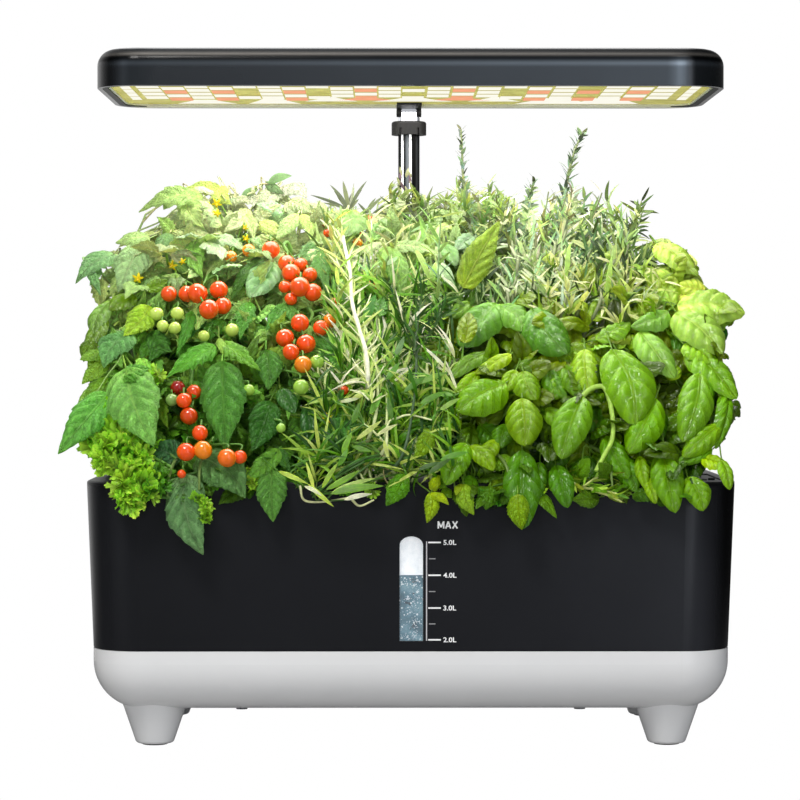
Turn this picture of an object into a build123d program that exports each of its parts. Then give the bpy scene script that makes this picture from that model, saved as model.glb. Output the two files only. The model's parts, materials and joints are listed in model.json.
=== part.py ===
from build123d import *
import math
import os

os.makedirs("parts", exist_ok=True)

# Countertop hydroponic garden: a rounded reservoir on four cone legs, a planting deck with twelve pods, and a lamp
# panel on a telescopic mast. Millimetres, +Z up, front towards -Y, origin on the ground under the middle.

# ---- driving dimensions ----
TANK_TOP = (350.0, 194.0, 29.0)  # width, depth and corner radius at the rim
TANK_LOW = (343.2, 188.0, 27.0)  # the same at the seam with the tray
Z_SEAM = 53.4
Z_RIM = 141.3
Z_DECK = 143.6
WALL = 2.5
TANK_WELL = (336.4, 181.2, 23.5)  # the part of the tank that sits down in the tray
TANK_FLOOR = 25.5

TRAY_BOTTOM = 20.4
TRAY_WALL = 2.6
TRAY_ROUND = 26.0

LEG_XY = (139.0, 62.0)
LEG_R0 = 9.8  # radius at the ground
LEG_TAN = math.tan(math.radians(19))
PAD_R, PAD_H = 7.2, 3.0

POD_X = (-118.0, -42.0, 42.0, 118.0)
POD_Y = (-58.0, -4.0, 50.0)
POD_HOLE_R = 15.2
POT_RIM_R = 19.0
POT_TOP_R, POT_LOW_R, POT_LOW_Z, POT_WALL = 14.6, 11.0, 97.0, 1.2
PLUG_R = 9.4

MAST_XY = (0.0, 66.0)
OUTER_R, OUTER_BORE = 6.25, 4.25
INNER_R, INNER_BORE = 4.2, 3.2
OUTER_LOW, OUTER_TOP = 121.0, 344.0
INNER_LOW = 190.0
COLLAR_R, COLLAR_LOW, COLLAR_TOP = 10.15, 339.5, 347.4
TILT_Z = 352.6
TILT_PIN_R = 1.2

LAMP = (341.0, 152.0, 24.0)
LAMP_LOW, LAMP_TOP = 356.0, 377.0
LAMP_EDGE = 9.0
LAMP_WALL = 2.6
LED_MIDDLE = 1.8  # x of column 0; columns run from -11 to 10 and alternate rows are staggered
LED_PITCH_LEFT, LED_PITCH_RIGHT = 13.2, 13.9
LED_ROWS_EVEN = (-55.0, -32.0, -9.0, 14.0)
LED_ROWS_ODD = (-43.5, -20.5, 2.5, 25.5)
LED_W, LED_D = 12.3, 17.6
LED_EDGE_X, LED_EDGE_W, LED_EDGE_D = 155.5, 5.4, 20.0

WINDOW_HALF, WINDOW_LOW, WINDOW_SHOULDER, WINDOW_RISE = 6.3, 59.0, 110.0, 4.9

PANEL = (141.0, 169.0, -72.0, 14.0)  # control panel: x from, x to, y from, y to
PORT = (146.0, 166.0, 34.0, 64.0)  # water filling port
HATCH_PIN = (71.4, 146.2)  # y and z of the hatch's hinge pin

PUMP = (120.0, 40.0)


# ---- helpers ----
def write(name, shapes):
    solids = []
    for s in shapes if isinstance(shapes, (list, tuple)) else [shapes]:
        solids += list(s.solids())
    export_step(solids[0] if len(solids) == 1 else Compound(solids), f"parts/{name}.step")


def slab(w, d, r, z0, z1, x=0.0, y=0.0):
    return Pos(x, y, z0) * extrude(RectangleRounded(w, d, r), z1 - z0)


def block(x0, x1, y0, y1, z0, z1):
    return Pos((x0 + x1) / 2, (y0 + y1) / 2, (z0 + z1) / 2) * Box(x1 - x0, y1 - y0, z1 - z0)


def disc(x, y, z0, z1, r):
    return Pos(x, y, (z0 + z1) / 2) * Cylinder(r, z1 - z0)


def rod_x(x0, x1, y, z, r):
    return Pos((x0 + x1) / 2, y, z) * Rot(0, 90, 0) * Cylinder(r, x1 - x0)


def rod_y(x, y0, y1, z, r):
    return Pos(x, (y0 + y1) / 2, z) * Rot(90, 0, 0) * Cylinder(r, y1 - y0)


def lofted(low, z0, top, z1):
    a = Pos(0, 0, z0) * RectangleRounded(*low)
    b = Pos(0, 0, z1) * RectangleRounded(*top)
    return loft([a.face(), b.face()])


def section_at(z, inset):
    t = (z - Z_SEAM) / (143.0 - Z_SEAM)
    w = TANK_LOW[0] + (TANK_TOP[0] - TANK_LOW[0]) * t
    d = TANK_LOW[1] + (TANK_TOP[1] - TANK_LOW[1]) * t
    r = TANK_LOW[2] + (TANK_TOP[2] - TANK_LOW[2]) * t
    return (w - 2 * inset, d - 2 * inset, r - inset)


def tank_body(inset, z0=Z_SEAM, z1=Z_RIM):
    return lofted(section_at(z0, inset), z0, section_at(z1, inset), z1)


def low_edges(part, z):
    return [e for e in part.edges() if abs(e.center().Z - z) < 0.01]


def cushion(x0, x1, y0, y1, z0, z1, r):
    b = block(x0, x1, y0, y1, z0, z1)
    return fillet(b.edges(), r)


# ---- tray, legs and feet ----
tray_outer = slab(TANK_LOW[0], TANK_LOW[1], TANK_LOW[2], TRAY_BOTTOM, Z_SEAM)
tray_outer = fillet(low_edges(tray_outer, TRAY_BOTTOM), TRAY_ROUND)
tray_inner = slab(
    TANK_LOW[0] - 2 * TRAY_WALL,
    TANK_LOW[1] - 2 * TRAY_WALL,
    TANK_LOW[2] - TRAY_WALL,
    TRAY_BOTTOM + TRAY_WALL,
    Z_SEAM + 5,
)
tray_inner = fillet(low_edges(tray_inner, TRAY_BOTTOM + TRAY_WALL), TRAY_ROUND - TRAY_WALL)

leg_spots = [(sx * LEG_XY[0], sy * LEG_XY[1]) for sx in (-1, 1) for sy in (-1, 1)]
TANK_SCREWS = [(sx * 92.0, sy * 58.0) for sx in (-1, 1) for sy in (-1, 1)]

leg_top = 34.0
leg_low = 0.8
cone = Pos(0, 0, (leg_low + leg_top) / 2) * Cone(
    LEG_R0 + leg_low * LEG_TAN, LEG_R0 + leg_top * LEG_TAN, leg_top - leg_low
)
cone = fillet(low_edges(cone, leg_low), 2.2)
legs, pads, leg_screws = [], [], []
tray = tray_outer - tray_inner
for x, y in leg_spots:
    leg = Pos(x, y, 0) * cone - tray_outer
    leg = max(leg.solids(), key=lambda s: s.volume)
    leg = leg - disc(x, y, leg_low - 1, PAD_H, PAD_R + 0.05) - disc(x, y, 8.0, 30.0, 1.65)
    legs.append(leg)
    pad = disc(x, y, 0.0, PAD_H, PAD_R)
    pads.append(fillet(low_edges(pad, 0.0), 0.6))
    tray = tray - disc(x, y, 15.0, 30.0, 1.8)
    screw = disc(x, y, 9.0, TRAY_BOTTOM + TRAY_WALL, 1.6) + disc(
        x, y, TRAY_BOTTOM + TRAY_WALL, TRAY_BOTTOM + TRAY_WALL + 1.8, 3.1
    )
    screw = screw - block(x - 2.2, x + 2.2, y - 0.4, y + 0.4, 24.0, 26.0)
    leg_screws.append(screw)
tank_screws = []
for x, y in TANK_SCREWS:
    tray = tray - disc(x, y, 15.0, 30.0, 1.8)
    screw = disc(x, y, TRAY_BOTTOM, 31.0, 1.5) + disc(x, y, TRAY_BOTTOM - 1.9, TRAY_BOTTOM, 3.1)
    screw = screw - block(x - 2.2, x + 2.2, y - 0.4, y + 0.4, 17.0, TRAY_BOTTOM - 1.0)
    tank_screws.append(screw)
write("lower_tray", tray)
write("legs", legs)
write("foot_pads", pads)
write("leg_screws", leg_screws)
write("tank_screws", tank_screws)

# ---- reservoir tank ----
upper = tank_body(0.0)
well = slab(*TANK_WELL, TANK_FLOOR, Z_SEAM)
well = fillet(low_edges(well, TANK_FLOOR), 21.0)
upper_in = lofted(section_at(Z_SEAM + 2.5, WALL), Z_SEAM + 2.5, section_at(Z_RIM + 6, WALL), Z_RIM + 6)
well_in = slab(
    TANK_WELL[0] - 2 * WALL, TANK_WELL[1] - 2 * WALL, TANK_WELL[2] - WALL, TANK_FLOOR + WALL, Z_SEAM + 2.5
)
well_in = fillet(low_edges(well_in, TANK_FLOOR + WALL), 18.5)
seam_cut = lofted(section_at(Z_SEAM, -3.0), Z_SEAM - 0.01, section_at(Z_SEAM, -3.0), Z_SEAM + 0.55) - lofted(
    section_at(Z_SEAM, 0.8), Z_SEAM - 0.01, section_at(Z_SEAM, 0.8), Z_SEAM + 0.55
)
tank = upper + well - upper_in - well_in - seam_cut
for x, y in TANK_SCREWS:
    tank = tank + disc(x, y, TANK_FLOOR + 0.5, 36.0, 4.2) - disc(x, y, TANK_FLOOR - 1, 32.5, 1.55)

tall = WINDOW_SHOULDER - WINDOW_LOW


def window_prism(grow, y0, y1):
    face = Pos(0, (WINDOW_LOW + WINDOW_SHOULDER) / 2 + 0.5 * (-grow)) * Rectangle(
        2 * (WINDOW_HALF + grow), tall + grow
    ) + Pos(0, WINDOW_SHOULDER) * Ellipse(WINDOW_HALF + grow, WINDOW_RISE + grow)
    # sketched in X-Z: local y is the height
    plane = Plane(origin=(0, y1, 0), x_dir=(1, 0, 0), z_dir=(0, -1, 0))
    return extrude(plane * face, y1 - y0)


front_zone = window_prism(0.0, -110.0, -80.0)
wall_zone = upper - upper_in
lens = window_prism(-0.05, -110.0, -80.0) & wall_zone
lens = max(lens.solids(), key=lambda s: s.volume)
tank = tank - front_zone
seal_layer = lofted(section_at(Z_SEAM + 2.6, WALL), Z_SEAM + 2.6, section_at(Z_RIM, WALL), Z_RIM) - lofted(
    section_at(Z_SEAM + 2.6, WALL + 1.6), Z_SEAM + 2.5, section_at(Z_RIM, WALL + 1.6), Z_RIM + 1
)
seal = (window_prism(2.6, -100.0, -80.0) - window_prism(-1.0, -110.0, -70.0)) & seal_layer
seal = max(seal.solids(), key=lambda s: s.volume)

# power inlet in the back wall, above the water
INLET = (150.0, 123.5)
tank = tank - rod_y(INLET[0], 80.0, 110.0, INLET[1], 5.5)
inlet = rod_y(INLET[0], 84.0, 98.4, INLET[1], 5.4) + rod_y(INLET[0], 96.8, 98.4, INLET[1], 7.2)
inlet = inlet - rod_y(INLET[0], 88.0, 99.0, INLET[1], 2.75)
inlet_pin = rod_y(INLET[0], 88.0, 97.0, INLET[1], 1.05)
inlet = inlet + inlet_pin
inlet_nut = rod_y(INLET[0], 88.0, 90.6, INLET[1], 8.0) - rod_y(INLET[0], 87.0, 92.0, INLET[1], 5.45)
write("reservoir_tank", tank)
write("level_window", lens)
write("window_seal", seal)
write("power_inlet", inlet)
write("inlet_nut", inlet_nut)

# ---- planting deck ----
deck = slab(TANK_TOP[0] - 0.2, TANK_TOP[1] - 0.2, TANK_TOP[2], Z_RIM, Z_DECK)
deck = chamfer([e for e in deck.edges() if abs(e.center().Z - Z_DECK) < 0.01], 0.7)
skirt = slab(343.2, 187.2, 26.0, 133.0, Z_RIM) - slab(339.2, 183.2, 24.0, 132.0, Z_RIM + 1)
deck = deck + skirt
pods = [(x, y) for x in POD_X for y in POD_Y]
for x, y in pods:
    deck = deck - disc(x, y, 130.0, 150.0, POD_HOLE_R)
px0, px1, py0, py1 = PANEL
panel_cx, panel_cy = (px0 + px1) / 2, (py0 + py1) / 2
deck = deck - slab(px1 - px0, py1 - py0, 4.0, 139.0, 146.0, panel_cx, panel_cy)
fx0, fx1, fy0, fy1 = PORT
deck = deck - slab(fx1 - fx0, fy1 - fy0, 3.0, 139.0, 146.0, (fx0 + fx1) / 2, (fy0 + fy1) / 2)
# mast socket under the deck, and the hatch's two hinge lugs on it
mx, my = MAST_XY
deck = deck + disc(mx, my, 116.0, Z_RIM + 0.5, 9.5)
deck = deck - disc(mx, my, OUTER_LOW, 150.0, OUTER_R + 0.03)
hy, hz = HATCH_PIN
for x0, x1 in ((143.6, 148.6), (163.4, 168.4)):
    lug = rod_x(x0, x1, hy, hz, 1.9) + block(x0, x1, hy - 1.9, hy + 1.9, Z_DECK - 0.5, hz)
    deck = deck + lug
deck = deck - rod_x(140.0, 172.0, hy, hz, 1.0)
write("planting_deck", deck)

socket = disc(mx, my, Z_DECK, 151.0, 10.5) + disc(mx, my, Z_DECK, 146.0, 15.0)
socket = fillet([e for e in socket.edges() if abs(e.center().Z - 151.0) < 0.01], 1.5)
socket = socket - disc(mx, my, 140.0, 155.0, OUTER_R + 0.03)
socket_screws = []
for a in (0, 120, 240):
    sx = mx + 12.6 * math.sin(math.radians(a))
    sy = my + 12.6 * math.cos(math.radians(a))
    socket = socket - disc(sx, sy, 140.0, 150.0, 1.1)
    screw = disc(sx, sy, Z_DECK, 146.0, 1.05) + disc(sx, sy, 146.0, 147.2, 1.9)
    socket_screws.append(screw)
write("mast_socket", socket)
write("socket_screws", socket_screws)

# ---- net pots and growing plugs ----
pot_profile = Polyline(
    (POT_LOW_R - 3.0, POT_LOW_Z),
    (POT_LOW_R, POT_LOW_Z),
    (POT_TOP_R, Z_DECK),
    (POT_RIM_R, Z_DECK),
    (POT_RIM_R, Z_DECK + 1.5),
    (POT_TOP_R - POT_WALL, Z_DECK + 1.5),
    (POT_LOW_R - POT_WALL, POT_LOW_Z + POT_WALL),
    (POT_LOW_R - 3.0, POT_LOW_Z + POT_WALL),
    (POT_LOW_R - 3.0, POT_LOW_Z),
)
pot = revolve(Plane.XZ * make_face(pot_profile), Axis.Z, 360)
for a in (0, 60, 120):
    pot = pot - Rot(0, 0, a) * block(-20, 20, -1.6, 1.6, 103.0, 134.0)
plug = disc(0, 0, POT_LOW_Z + POT_WALL + 0.1, 146.4, PLUG_R)
plug = fillet([e for e in plug.edges() if abs(e.center().Z - 146.4) < 0.01], 1.2)
write("net_pots", [Pos(x, y, 0) * pot for x, y in pods])
write("growing_plugs", [Pos(x, y, 0) * plug for x, y in pods])

# ---- mast ----
outer = disc(mx, my, OUTER_LOW, OUTER_TOP, OUTER_R) - disc(mx, my, OUTER_LOW - 1, OUTER_TOP + 1, OUTER_BORE)
SLOT_ANGLES = ((-38.5, 1.8), (10.0, 1.6))
for a, w in SLOT_ANGLES:
    cutter = Pos(mx, my, 0) * Rot(0, 0, a) * block(-w / 2, w / 2, -8.0, -2.0, 158.0, 336.0)
    outer = outer - cutter
    cutter = Pos(mx, my, 0) * Rot(0, 0, a + 180) * block(-w / 2, w / 2, -8.0, -2.0, 158.0, 336.0)
    outer = outer - cutter
write("mast_outer_tube", outer)

bush = disc(mx, my, OUTER_TOP, 346.3, 6.0) - disc(mx, my, 340.0, 350.0, OUTER_BORE)
bush = bush - block(mx - 0.5, mx + 0.5, my + 3.0, my + 7.0, 343.0, 350.0)
write("clamp_bush", bush)

collar = disc(mx, my, COLLAR_LOW, COLLAR_TOP, COLLAR_R)
collar = fillet([e for e in collar.edges() if abs(e.center().Z - COLLAR_TOP) < 0.01], 1.4)
collar = collar - disc(mx, my, COLLAR_LOW - 1, 346.4, OUTER_R + 0.06) - disc(mx, my, 340.0, 350.0, INNER_R + 0.1)
for k in range(6):
    a = -29 + 60 * k
    collar = collar - Pos(mx, my, 0) * Rot(0, 0, a) * block(-0.8, 0.8, -11.0, -COLLAR_R + 0.9, 339.0, 343.4)
write("lock_collar", collar)

# telescopic inner tube with the tilt joint's tongue on top
inner = disc(mx, my, INNER_LOW, 348.0, INNER_R) - disc(mx, my, INNER_LOW - 1, 347.0, INNER_BORE)
write("mast_inner_tube", inner)
head = disc(mx, my, 347.6, 350.0, OUTER_R)
head = fillet([e for e in head.edges() if abs(e.center().Z - 350.0) < 0.01], 0.5)
neck = block(-4.2, 4.2, my - 3.0, my + 3.0, 349.5, TILT_Z) + rod_x(-4.2, 4.2, my, TILT_Z, 3.0)
head = head + neck - disc(mx, my, 345.0, 348.0, INNER_R) - rod_x(-6, 6, my, TILT_Z, TILT_PIN_R)
write("tilt_tongue", head)
write("tilt_pin", rod_x(-7.3, 7.3, my, TILT_Z, TILT_PIN_R))

# ---- lamp ----
housing = slab(*LAMP, LAMP_LOW, LAMP_TOP)
housing = fillet([e for e in housing.edges() if abs(e.center().Z - LAMP_TOP) < 0.01], LAMP_EDGE)
hollow = slab(LAMP[0] - 2 * LAMP_WALL, LAMP[1] - 2 * LAMP_WALL, LAMP[2] - LAMP_WALL, LAMP_LOW - 1, LAMP_TOP - LAMP_WALL)
hollow = fillet([e for e in hollow.edges() if abs(e.center().Z - (LAMP_TOP - LAMP_WALL)) < 0.01], LAMP_EDGE - 2.0)
housing = housing - hollow
BEZEL_IN = (329.0, 136.0, 15.0)
BEZEL_Y = -2.0
bezel = slab(LAMP[0] - 2 * LAMP_WALL - 0.1, LAMP[1] - 2 * LAMP_WALL - 0.1, LAMP[2] - LAMP_WALL, LAMP_LOW, LAMP_LOW + 1.6)
bezel = bezel - slab(*BEZEL_IN, LAMP_LOW - 1, LAMP_LOW + 3, 0, BEZEL_Y)
border = slab(BEZEL_IN[0] - 0.1, BEZEL_IN[1] - 0.1, BEZEL_IN[2], LAMP_LOW + 0.5, LAMP_LOW + 1.6, 0, BEZEL_Y)
border = border - slab(BEZEL_IN[0] - 2.6, BEZEL_IN[1] - 2.6, BEZEL_IN[2] - 1.2, LAMP_LOW - 1, LAMP_LOW + 3, 0, BEZEL_Y)
board = slab(LAMP[0] - 2 * LAMP_WALL - 1, LAMP[1] - 2 * LAMP_WALL - 1, LAMP[2] - LAMP_WALL - 1, LAMP_LOW + 1.7, LAMP_LOW + 3.3)
spreader = slab(300.0, 110.0, 10.0, LAMP_LOW + 3.4, LAMP_LOW + 5.0)
driver = block(-45, 45, -18, 18, LAMP_LOW + 5.1, LAMP_LOW + 14.5)
driver = fillet(driver.edges(), 1.5)

white_leds, red_leds = [], []


def chip(x, y, w, d):
    return block(x - w / 2, x + w / 2, y - d / 2, y + d / 2, LAMP_LOW + 1.0, LAMP_LOW + 1.7)


# columns whose rows sit half a pitch further back, columns with deep-red chips, and places left empty
STAGGERED = (-10, -8, -5, -3, -1, 1, 3, 5, 7, 9)
RED_COLUMNS = (-10, -8, -5, -2, 2, 5, 7, 9)
EMPTY = {-7: (1, 2), -4: (1, 2), 0: (0, 2), 4: (1, 2), 7: (0, 2), -3: (3,), -1: (3,), 1: (3,), 3: (3,)}
for k in range(-11, 11):
    x = LED_MIDDLE + k * (LED_PITCH_LEFT if k < 0 else LED_PITCH_RIGHT)
    for j, y in enumerate(LED_ROWS_ODD if k in STAGGERED else LED_ROWS_EVEN):
        if j in EMPTY.get(k, ()):
            continue
        red = k in RED_COLUMNS and j in (1, 3)
        (red_leds if red else white_leds).append(chip(x, y, LED_W, LED_D))
    if k in (-8, -5, 5):
        red_leds.append(chip(x, -63.0, 6.6, 5.0))
for side in (-1, 1):
    for y in (-50.0, -27.0, -4.0, 19.0):
        white_leds.append(chip(side * LED_EDGE_X, y, LED_EDGE_W, LED_EDGE_D))

# tilt bracket under the back of the lamp: a plate with two rounded cheeks round the tongue
bracket = block(-7.2, 7.2, 34.0, 75.0, LAMP_LOW - 1.2, LAMP_LOW)
for s in (-1, 1):
    x0, x1 = (4.5, 7.2) if s > 0 else (-7.2, -4.5)
    cheek = rod_x(x0, x1, my, TILT_Z, 2.5) + block(x0, x1, my - 2.5, my + 2.5, TILT_Z, LAMP_LOW - 1.0)
    bracket = bracket + cheek
# the tongue's round top turns in a pocket of the plate
bracket = bracket - rod_x(-4.5, 4.5, my, TILT_Z, 3.35) - rod_x(-8, 8, my, TILT_Z, TILT_PIN_R + 0.05)
bezel = bezel - rod_x(-4.8, 4.8, my, TILT_Z, 3.6)
bracket_screw = []
for x, y in ((0.0, 71.5),):
    bracket = bracket - disc(x, y, 350.0, 360.0, 1.3)
    bezel = bezel - disc(x, y, 350.0, 360.0, 1.3)
    board = board - disc(x, y, 350.0, 362.0, 1.3)
    bracket_screw.append(disc(x, y, LAMP_LOW - 1.2, LAMP_LOW + 3.0, 1.25) + disc(x, y, LAMP_LOW - 2.3, LAMP_LOW - 1.2, 2.3))

lamp_screws = []
for x, y in ((-140.0, 69.8), (-50.0, 69.8), (50.0, 69.8), (140.0, 69.8)):
    lamp_screws.append(disc(x, y, LAMP_LOW, LAMP_LOW + 1.0, 1.3))
for s in lamp_screws:
    bezel = bezel - s
write("lamp_housing", housing)
write("lamp_bezel", bezel)
write("light_border", border)
write("led_board", board)
write("heat_spreader", spreader)
write("led_driver", driver)
write("led_chips_white", white_leds)
write("led_chips_red", red_leds)
write("tilt_bracket", bracket)
write("bracket_screw", bracket_screw)
write("bezel_screws", lamp_screws)

# ---- control panel and its box ----
cw, cd = px1 - px0 - 0.4, py1 - py0 - 0.4
box_c = slab(cw, cd, 3.8, 117.0, 141.4, panel_cx, panel_cy) - slab(cw - 3.2, cd - 3.2, 2.4, 118.6, 142.0, panel_cx, panel_cy)
panel = slab(cw, cd, 3.8, 141.4, 142.9, panel_cx, panel_cy)
RECT = (158.5, -46.0, 4.4, 42.0)
ROUND = (164.6, -50.0, 2.2)
panel = panel - slab(RECT[2], RECT[3], 1.5, 140.0, 145.0, RECT[0], RECT[1]) - disc(ROUND[0], ROUND[1], 140.0, 145.0, ROUND[2])
rect_button = slab(RECT[2] - 0.6, RECT[3] - 0.6, 1.2, 139.4, 143.9, RECT[0], RECT[1]) + slab(
    RECT[2] + 1.4, RECT[3] + 1.4, 1.2, 139.4, 141.1, RECT[0], RECT[1]
)
round_button = disc(ROUND[0], ROUND[1], 139.4, 143.9, ROUND[2] - 0.3)
round_button = fillet([e for e in round_button.edges() if abs(e.center().Z - 143.9) < 0.01], 0.5)
# the two caps' flanges are kept apart
round_button = round_button + (disc(ROUND[0], ROUND[1], 139.4, 141.1, ROUND[2] + 0.4))
pcb = block(143.6, 166.4, -69.4, 11.0, 130.0, 131.6)
switches = [
    block(RECT[0] - 2, RECT[0] + 2, RECT[1] - 3, RECT[1] + 3, 131.6, 137.8),
    block(ROUND[0] - 1.7, ROUND[0] + 1.7, ROUND[1] - 3, ROUND[1] + 3, 131.6, 137.8),
    block(146.0, 153.0, -20.0, 2.0, 131.6, 135.0),
]
write("control_box", box_c)
write("control_panel", panel)
write("light_button", rect_button)
write("pump_button", round_button)
write("control_board", pcb)
write("board_switches", switches)

# ---- filling hatch ----
hatch = slab(24.6, 36.4, 3.0, Z_DECK + 0.4, Z_DECK + 2.0, 156.0, 50.8)
hatch = chamfer([e for e in hatch.edges() if abs(e.center().Z - (Z_DECK + 2.0)) < 0.01], 0.5)
arm = block(149.2, 162.8, 66.0, hy, Z_DECK + 0.5, Z_DECK + 2.0) + rod_x(149.2, 162.8, hy, hz, 1.9)
arm = arm - block(140, 170, hy - 3, hy + 3, Z_DECK - 1, Z_DECK + 0.45)
hatch = hatch + arm - rod_x(140, 170, hy, hz, 1.05)
lip = block(151.0, 161.0, 32.0, 34.6, Z_DECK + 1.6, Z_DECK + 3.0)
hatch = hatch + fillet(lip.edges().filter_by(Axis.X), 0.5)
write("fill_hatch", hatch)
write("hatch_pin", rod_x(143.6, 168.4, hy, hz, 1.0))

# ---- circulation pump in the reservoir ----
ux, uy = PUMP
floor_z = TANK_FLOOR + WALL
pump = block(ux - 17, ux + 17, uy - 14, uy + 14, floor_z + 3.5, floor_z + 29)
pump = fillet(pump.edges().filter_by(Axis.Z), 4.0)
pump_z = floor_z + 16.0
pump = pump - rod_x(ux + 5, ux + 18, uy, pump_z, 9.5)
pump = pump - disc(ux + 11, uy, pump_z, floor_z + 30, 3.0)
pump = pump + (disc(ux + 11, uy, floor_z + 28.5, floor_z + 36.0, 4.4) - disc(ux + 11, uy, floor_z + 20.0, floor_z + 40.0, 3.0))
pump = pump - rod_x(ux - 8, ux + 6, uy, pump_z, 1.0)
shaft = rod_x(ux - 7, ux + 16.6, uy, pump_z, 1.0)
hub = rod_x(ux + 6, ux + 15.5, uy, pump_z, 3.0)
wheel = hub
for k in range(6):
    blade = Pos(ux + 10.75, uy, pump_z) * Rot(60 * k, 0, 0) * Pos(0, 5.4, 0) * Box(8.0, 6.0, 1.0)
    wheel = wheel + blade
wheel = wheel - rod_x(ux, ux + 20, uy, pump_z, 1.05)
cover = block(ux + 17, ux + 20, uy - 14, uy + 14, floor_z + 3.5, floor_z + 29)
cover = fillet(cover.edges().filter_by(Axis.X), 3.0)
cover = cover - rod_x(ux + 16, ux + 21, uy, pump_z, 4.5)
cover = cover + (block(ux + 17.6, ux + 20, uy - 0.8, uy + 0.8, pump_z - 5.5, pump_z + 5.5))
cups = []
for sx in (-1, 1):
    for sy in (-1, 1):
        cup = Pos(ux + sx * 11, uy + sy * 8, floor_z + 1.0) * Cone(4.6, 2.6, 2.0) + disc(
            ux + sx * 11, uy + sy * 8, floor_z + 1.9, floor_z + 3.5, 2.0
        )
        cups.append(cup)
hose = disc(ux + 11, uy, floor_z + 29.0 + 1.5, 88.0, 6.2) - disc(ux + 11, uy, 40.0, 90.0, 4.43)
foam = block(ux + 20, ux + 27, uy - 12, uy + 12, floor_z + 4.5, floor_z + 28)
write("pump_body", pump)
write("pump_shaft", shaft)
write("pump_impeller", wheel)
write("pump_cover", cover)
write("pump_feet", cups)
write("pump_hose", hose)
write("pump_filter", foam)

# pump lead: from the pump's top up to the control box
route = [(112.0, 34.0, floor_z + 29.0), (112.0, 34.0, 68.0), (126.0, 22.0, 84.0), (142.0, 6.0, 98.0), (150.0, -4.0, 108.0), (150.0, -4.0, 117.0)]
radii = []
for a, b, c in zip(route, route[1:], route[2:]):
    v1, v2 = Vector(*b) - Vector(*a), Vector(*c) - Vector(*b)
    half = math.radians(v1.get_angle(v2)) / 2
    radii.append(0.45 * min(v1.length, v2.length) / math.tan(half))
print("pump lead radii", [round(r, 1) for r in radii])
path = FilletPolyline(*route, radius=radii)
lead = sweep(Plane(origin=route[0], z_dir=(0, 0, 1)) * Circle(1.3), path=path)
print("pump lead volume ratio", lead.volume / (math.pi * 1.3**2 * path.length))
write("pump_lead", lead)

# ---- plants: plain closed masses that carry the leaves ----
write("tomato_plant", cushion(-190, -64, -58, 122, 150, 312, 26))
write("parsley_plant", cushion(-184, -72, -122, -62, 148, 194, 14))
write("tarragon_plant", cushion(-60, 36, -100, 44, 148, 300, 24))
write("rosemary_plant", cushion(40, 112, -44, 46, 232, 338, 24))
basil_low = cushion(40, 190, -122, 122, 148, 230, 24) - block(134, 200, 20, 130, 140, 186)
basil_low = max(basil_low.solids(), key=lambda s: s.volume)
basil_top = cushion(116, 188, -70, 60, 232, 268, 14)
write("basil_plant", [basil_low, basil_top])
write("trailing_leaves", [cushion(-176, -84, -121, -100, 108, 146, 7), cushion(-60, 176, -121, -100, 120, 146, 7)])
print("done")
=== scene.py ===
import json
import math

import bpy
import numpy as np
from mathutils import Matrix, Vector


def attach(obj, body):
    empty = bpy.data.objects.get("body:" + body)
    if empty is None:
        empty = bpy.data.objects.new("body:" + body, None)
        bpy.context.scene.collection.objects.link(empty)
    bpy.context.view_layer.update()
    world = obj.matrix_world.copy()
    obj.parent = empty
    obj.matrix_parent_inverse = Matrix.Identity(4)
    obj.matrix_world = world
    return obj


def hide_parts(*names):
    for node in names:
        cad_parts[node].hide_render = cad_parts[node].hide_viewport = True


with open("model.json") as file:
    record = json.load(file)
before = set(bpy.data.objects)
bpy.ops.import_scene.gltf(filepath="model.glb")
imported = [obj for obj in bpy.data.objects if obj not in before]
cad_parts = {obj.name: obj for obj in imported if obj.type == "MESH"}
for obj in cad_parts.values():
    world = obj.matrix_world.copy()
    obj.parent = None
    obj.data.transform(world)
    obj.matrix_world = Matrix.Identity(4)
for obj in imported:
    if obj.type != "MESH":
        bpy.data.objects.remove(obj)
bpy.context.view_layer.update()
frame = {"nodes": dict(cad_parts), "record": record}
MM = 0.001
RNG = np.random.default_rng(20)


# ------------------------------------------------------------------ camera, stage and light
CAM = (-14.0, -1647.0, 215.0)
AIM = Vector((15 / 2922, 1.0, -52 / 2922)).normalized()
cam_data = bpy.data.cameras.new("camera")
cam_data.sensor_width = 36.0
cam_data.lens = 2922.0 / 800.0 * 36.0
cam_data.clip_start, cam_data.clip_end = 0.05, 60.0
camera = bpy.data.objects.new("camera", cam_data)
bpy.context.scene.collection.objects.link(camera)
camera.location = Vector(CAM) * MM
camera.rotation_euler = AIM.to_track_quat("-Z", "Y").to_euler()
bpy.context.scene.camera = camera
bpy.context.scene.view_settings.view_transform = "Standard"


def spot(u, v, y):
    """The point at depth y (mm) that lies u, v units across and down from the camera's line."""
    d = (y - CAM[1]) / 2922.0
    return np.array([(u - 385.0) * d + CAM[0], y, CAM[2] + (348.0 - v) * d])


def srgb(r, g, b):
    out = []
    for c in (r, g, b):
        c = c / 255.0
        out.append(c / 12.92 if c <= 0.04045 else ((c + 0.055) / 1.055) ** 2.4)
    return tuple(out)


# ------------------------------------------------------------------ materials
def new_mat(name):
    m = bpy.data.materials.new(name)
    m.use_nodes = True
    nt = m.node_tree
    return m, nt, nt.nodes["Principled BSDF"]


def node(nt, kind, **values):
    n = nt.nodes.new(kind)
    for k, v in values.items():
        setattr(n, k, v)
    return n


def math_node(nt, op, a, b=None, clamp=False):
    n = node(nt, "ShaderNodeMath", operation=op, use_clamp=clamp)
    for i, x in enumerate((a, b)):
        if x is None:
            continue
        if isinstance(x, (int, float)):
            n.inputs[i].default_value = x
        else:
            nt.links.new(x, n.inputs[i])
    return n.outputs[0]


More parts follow.
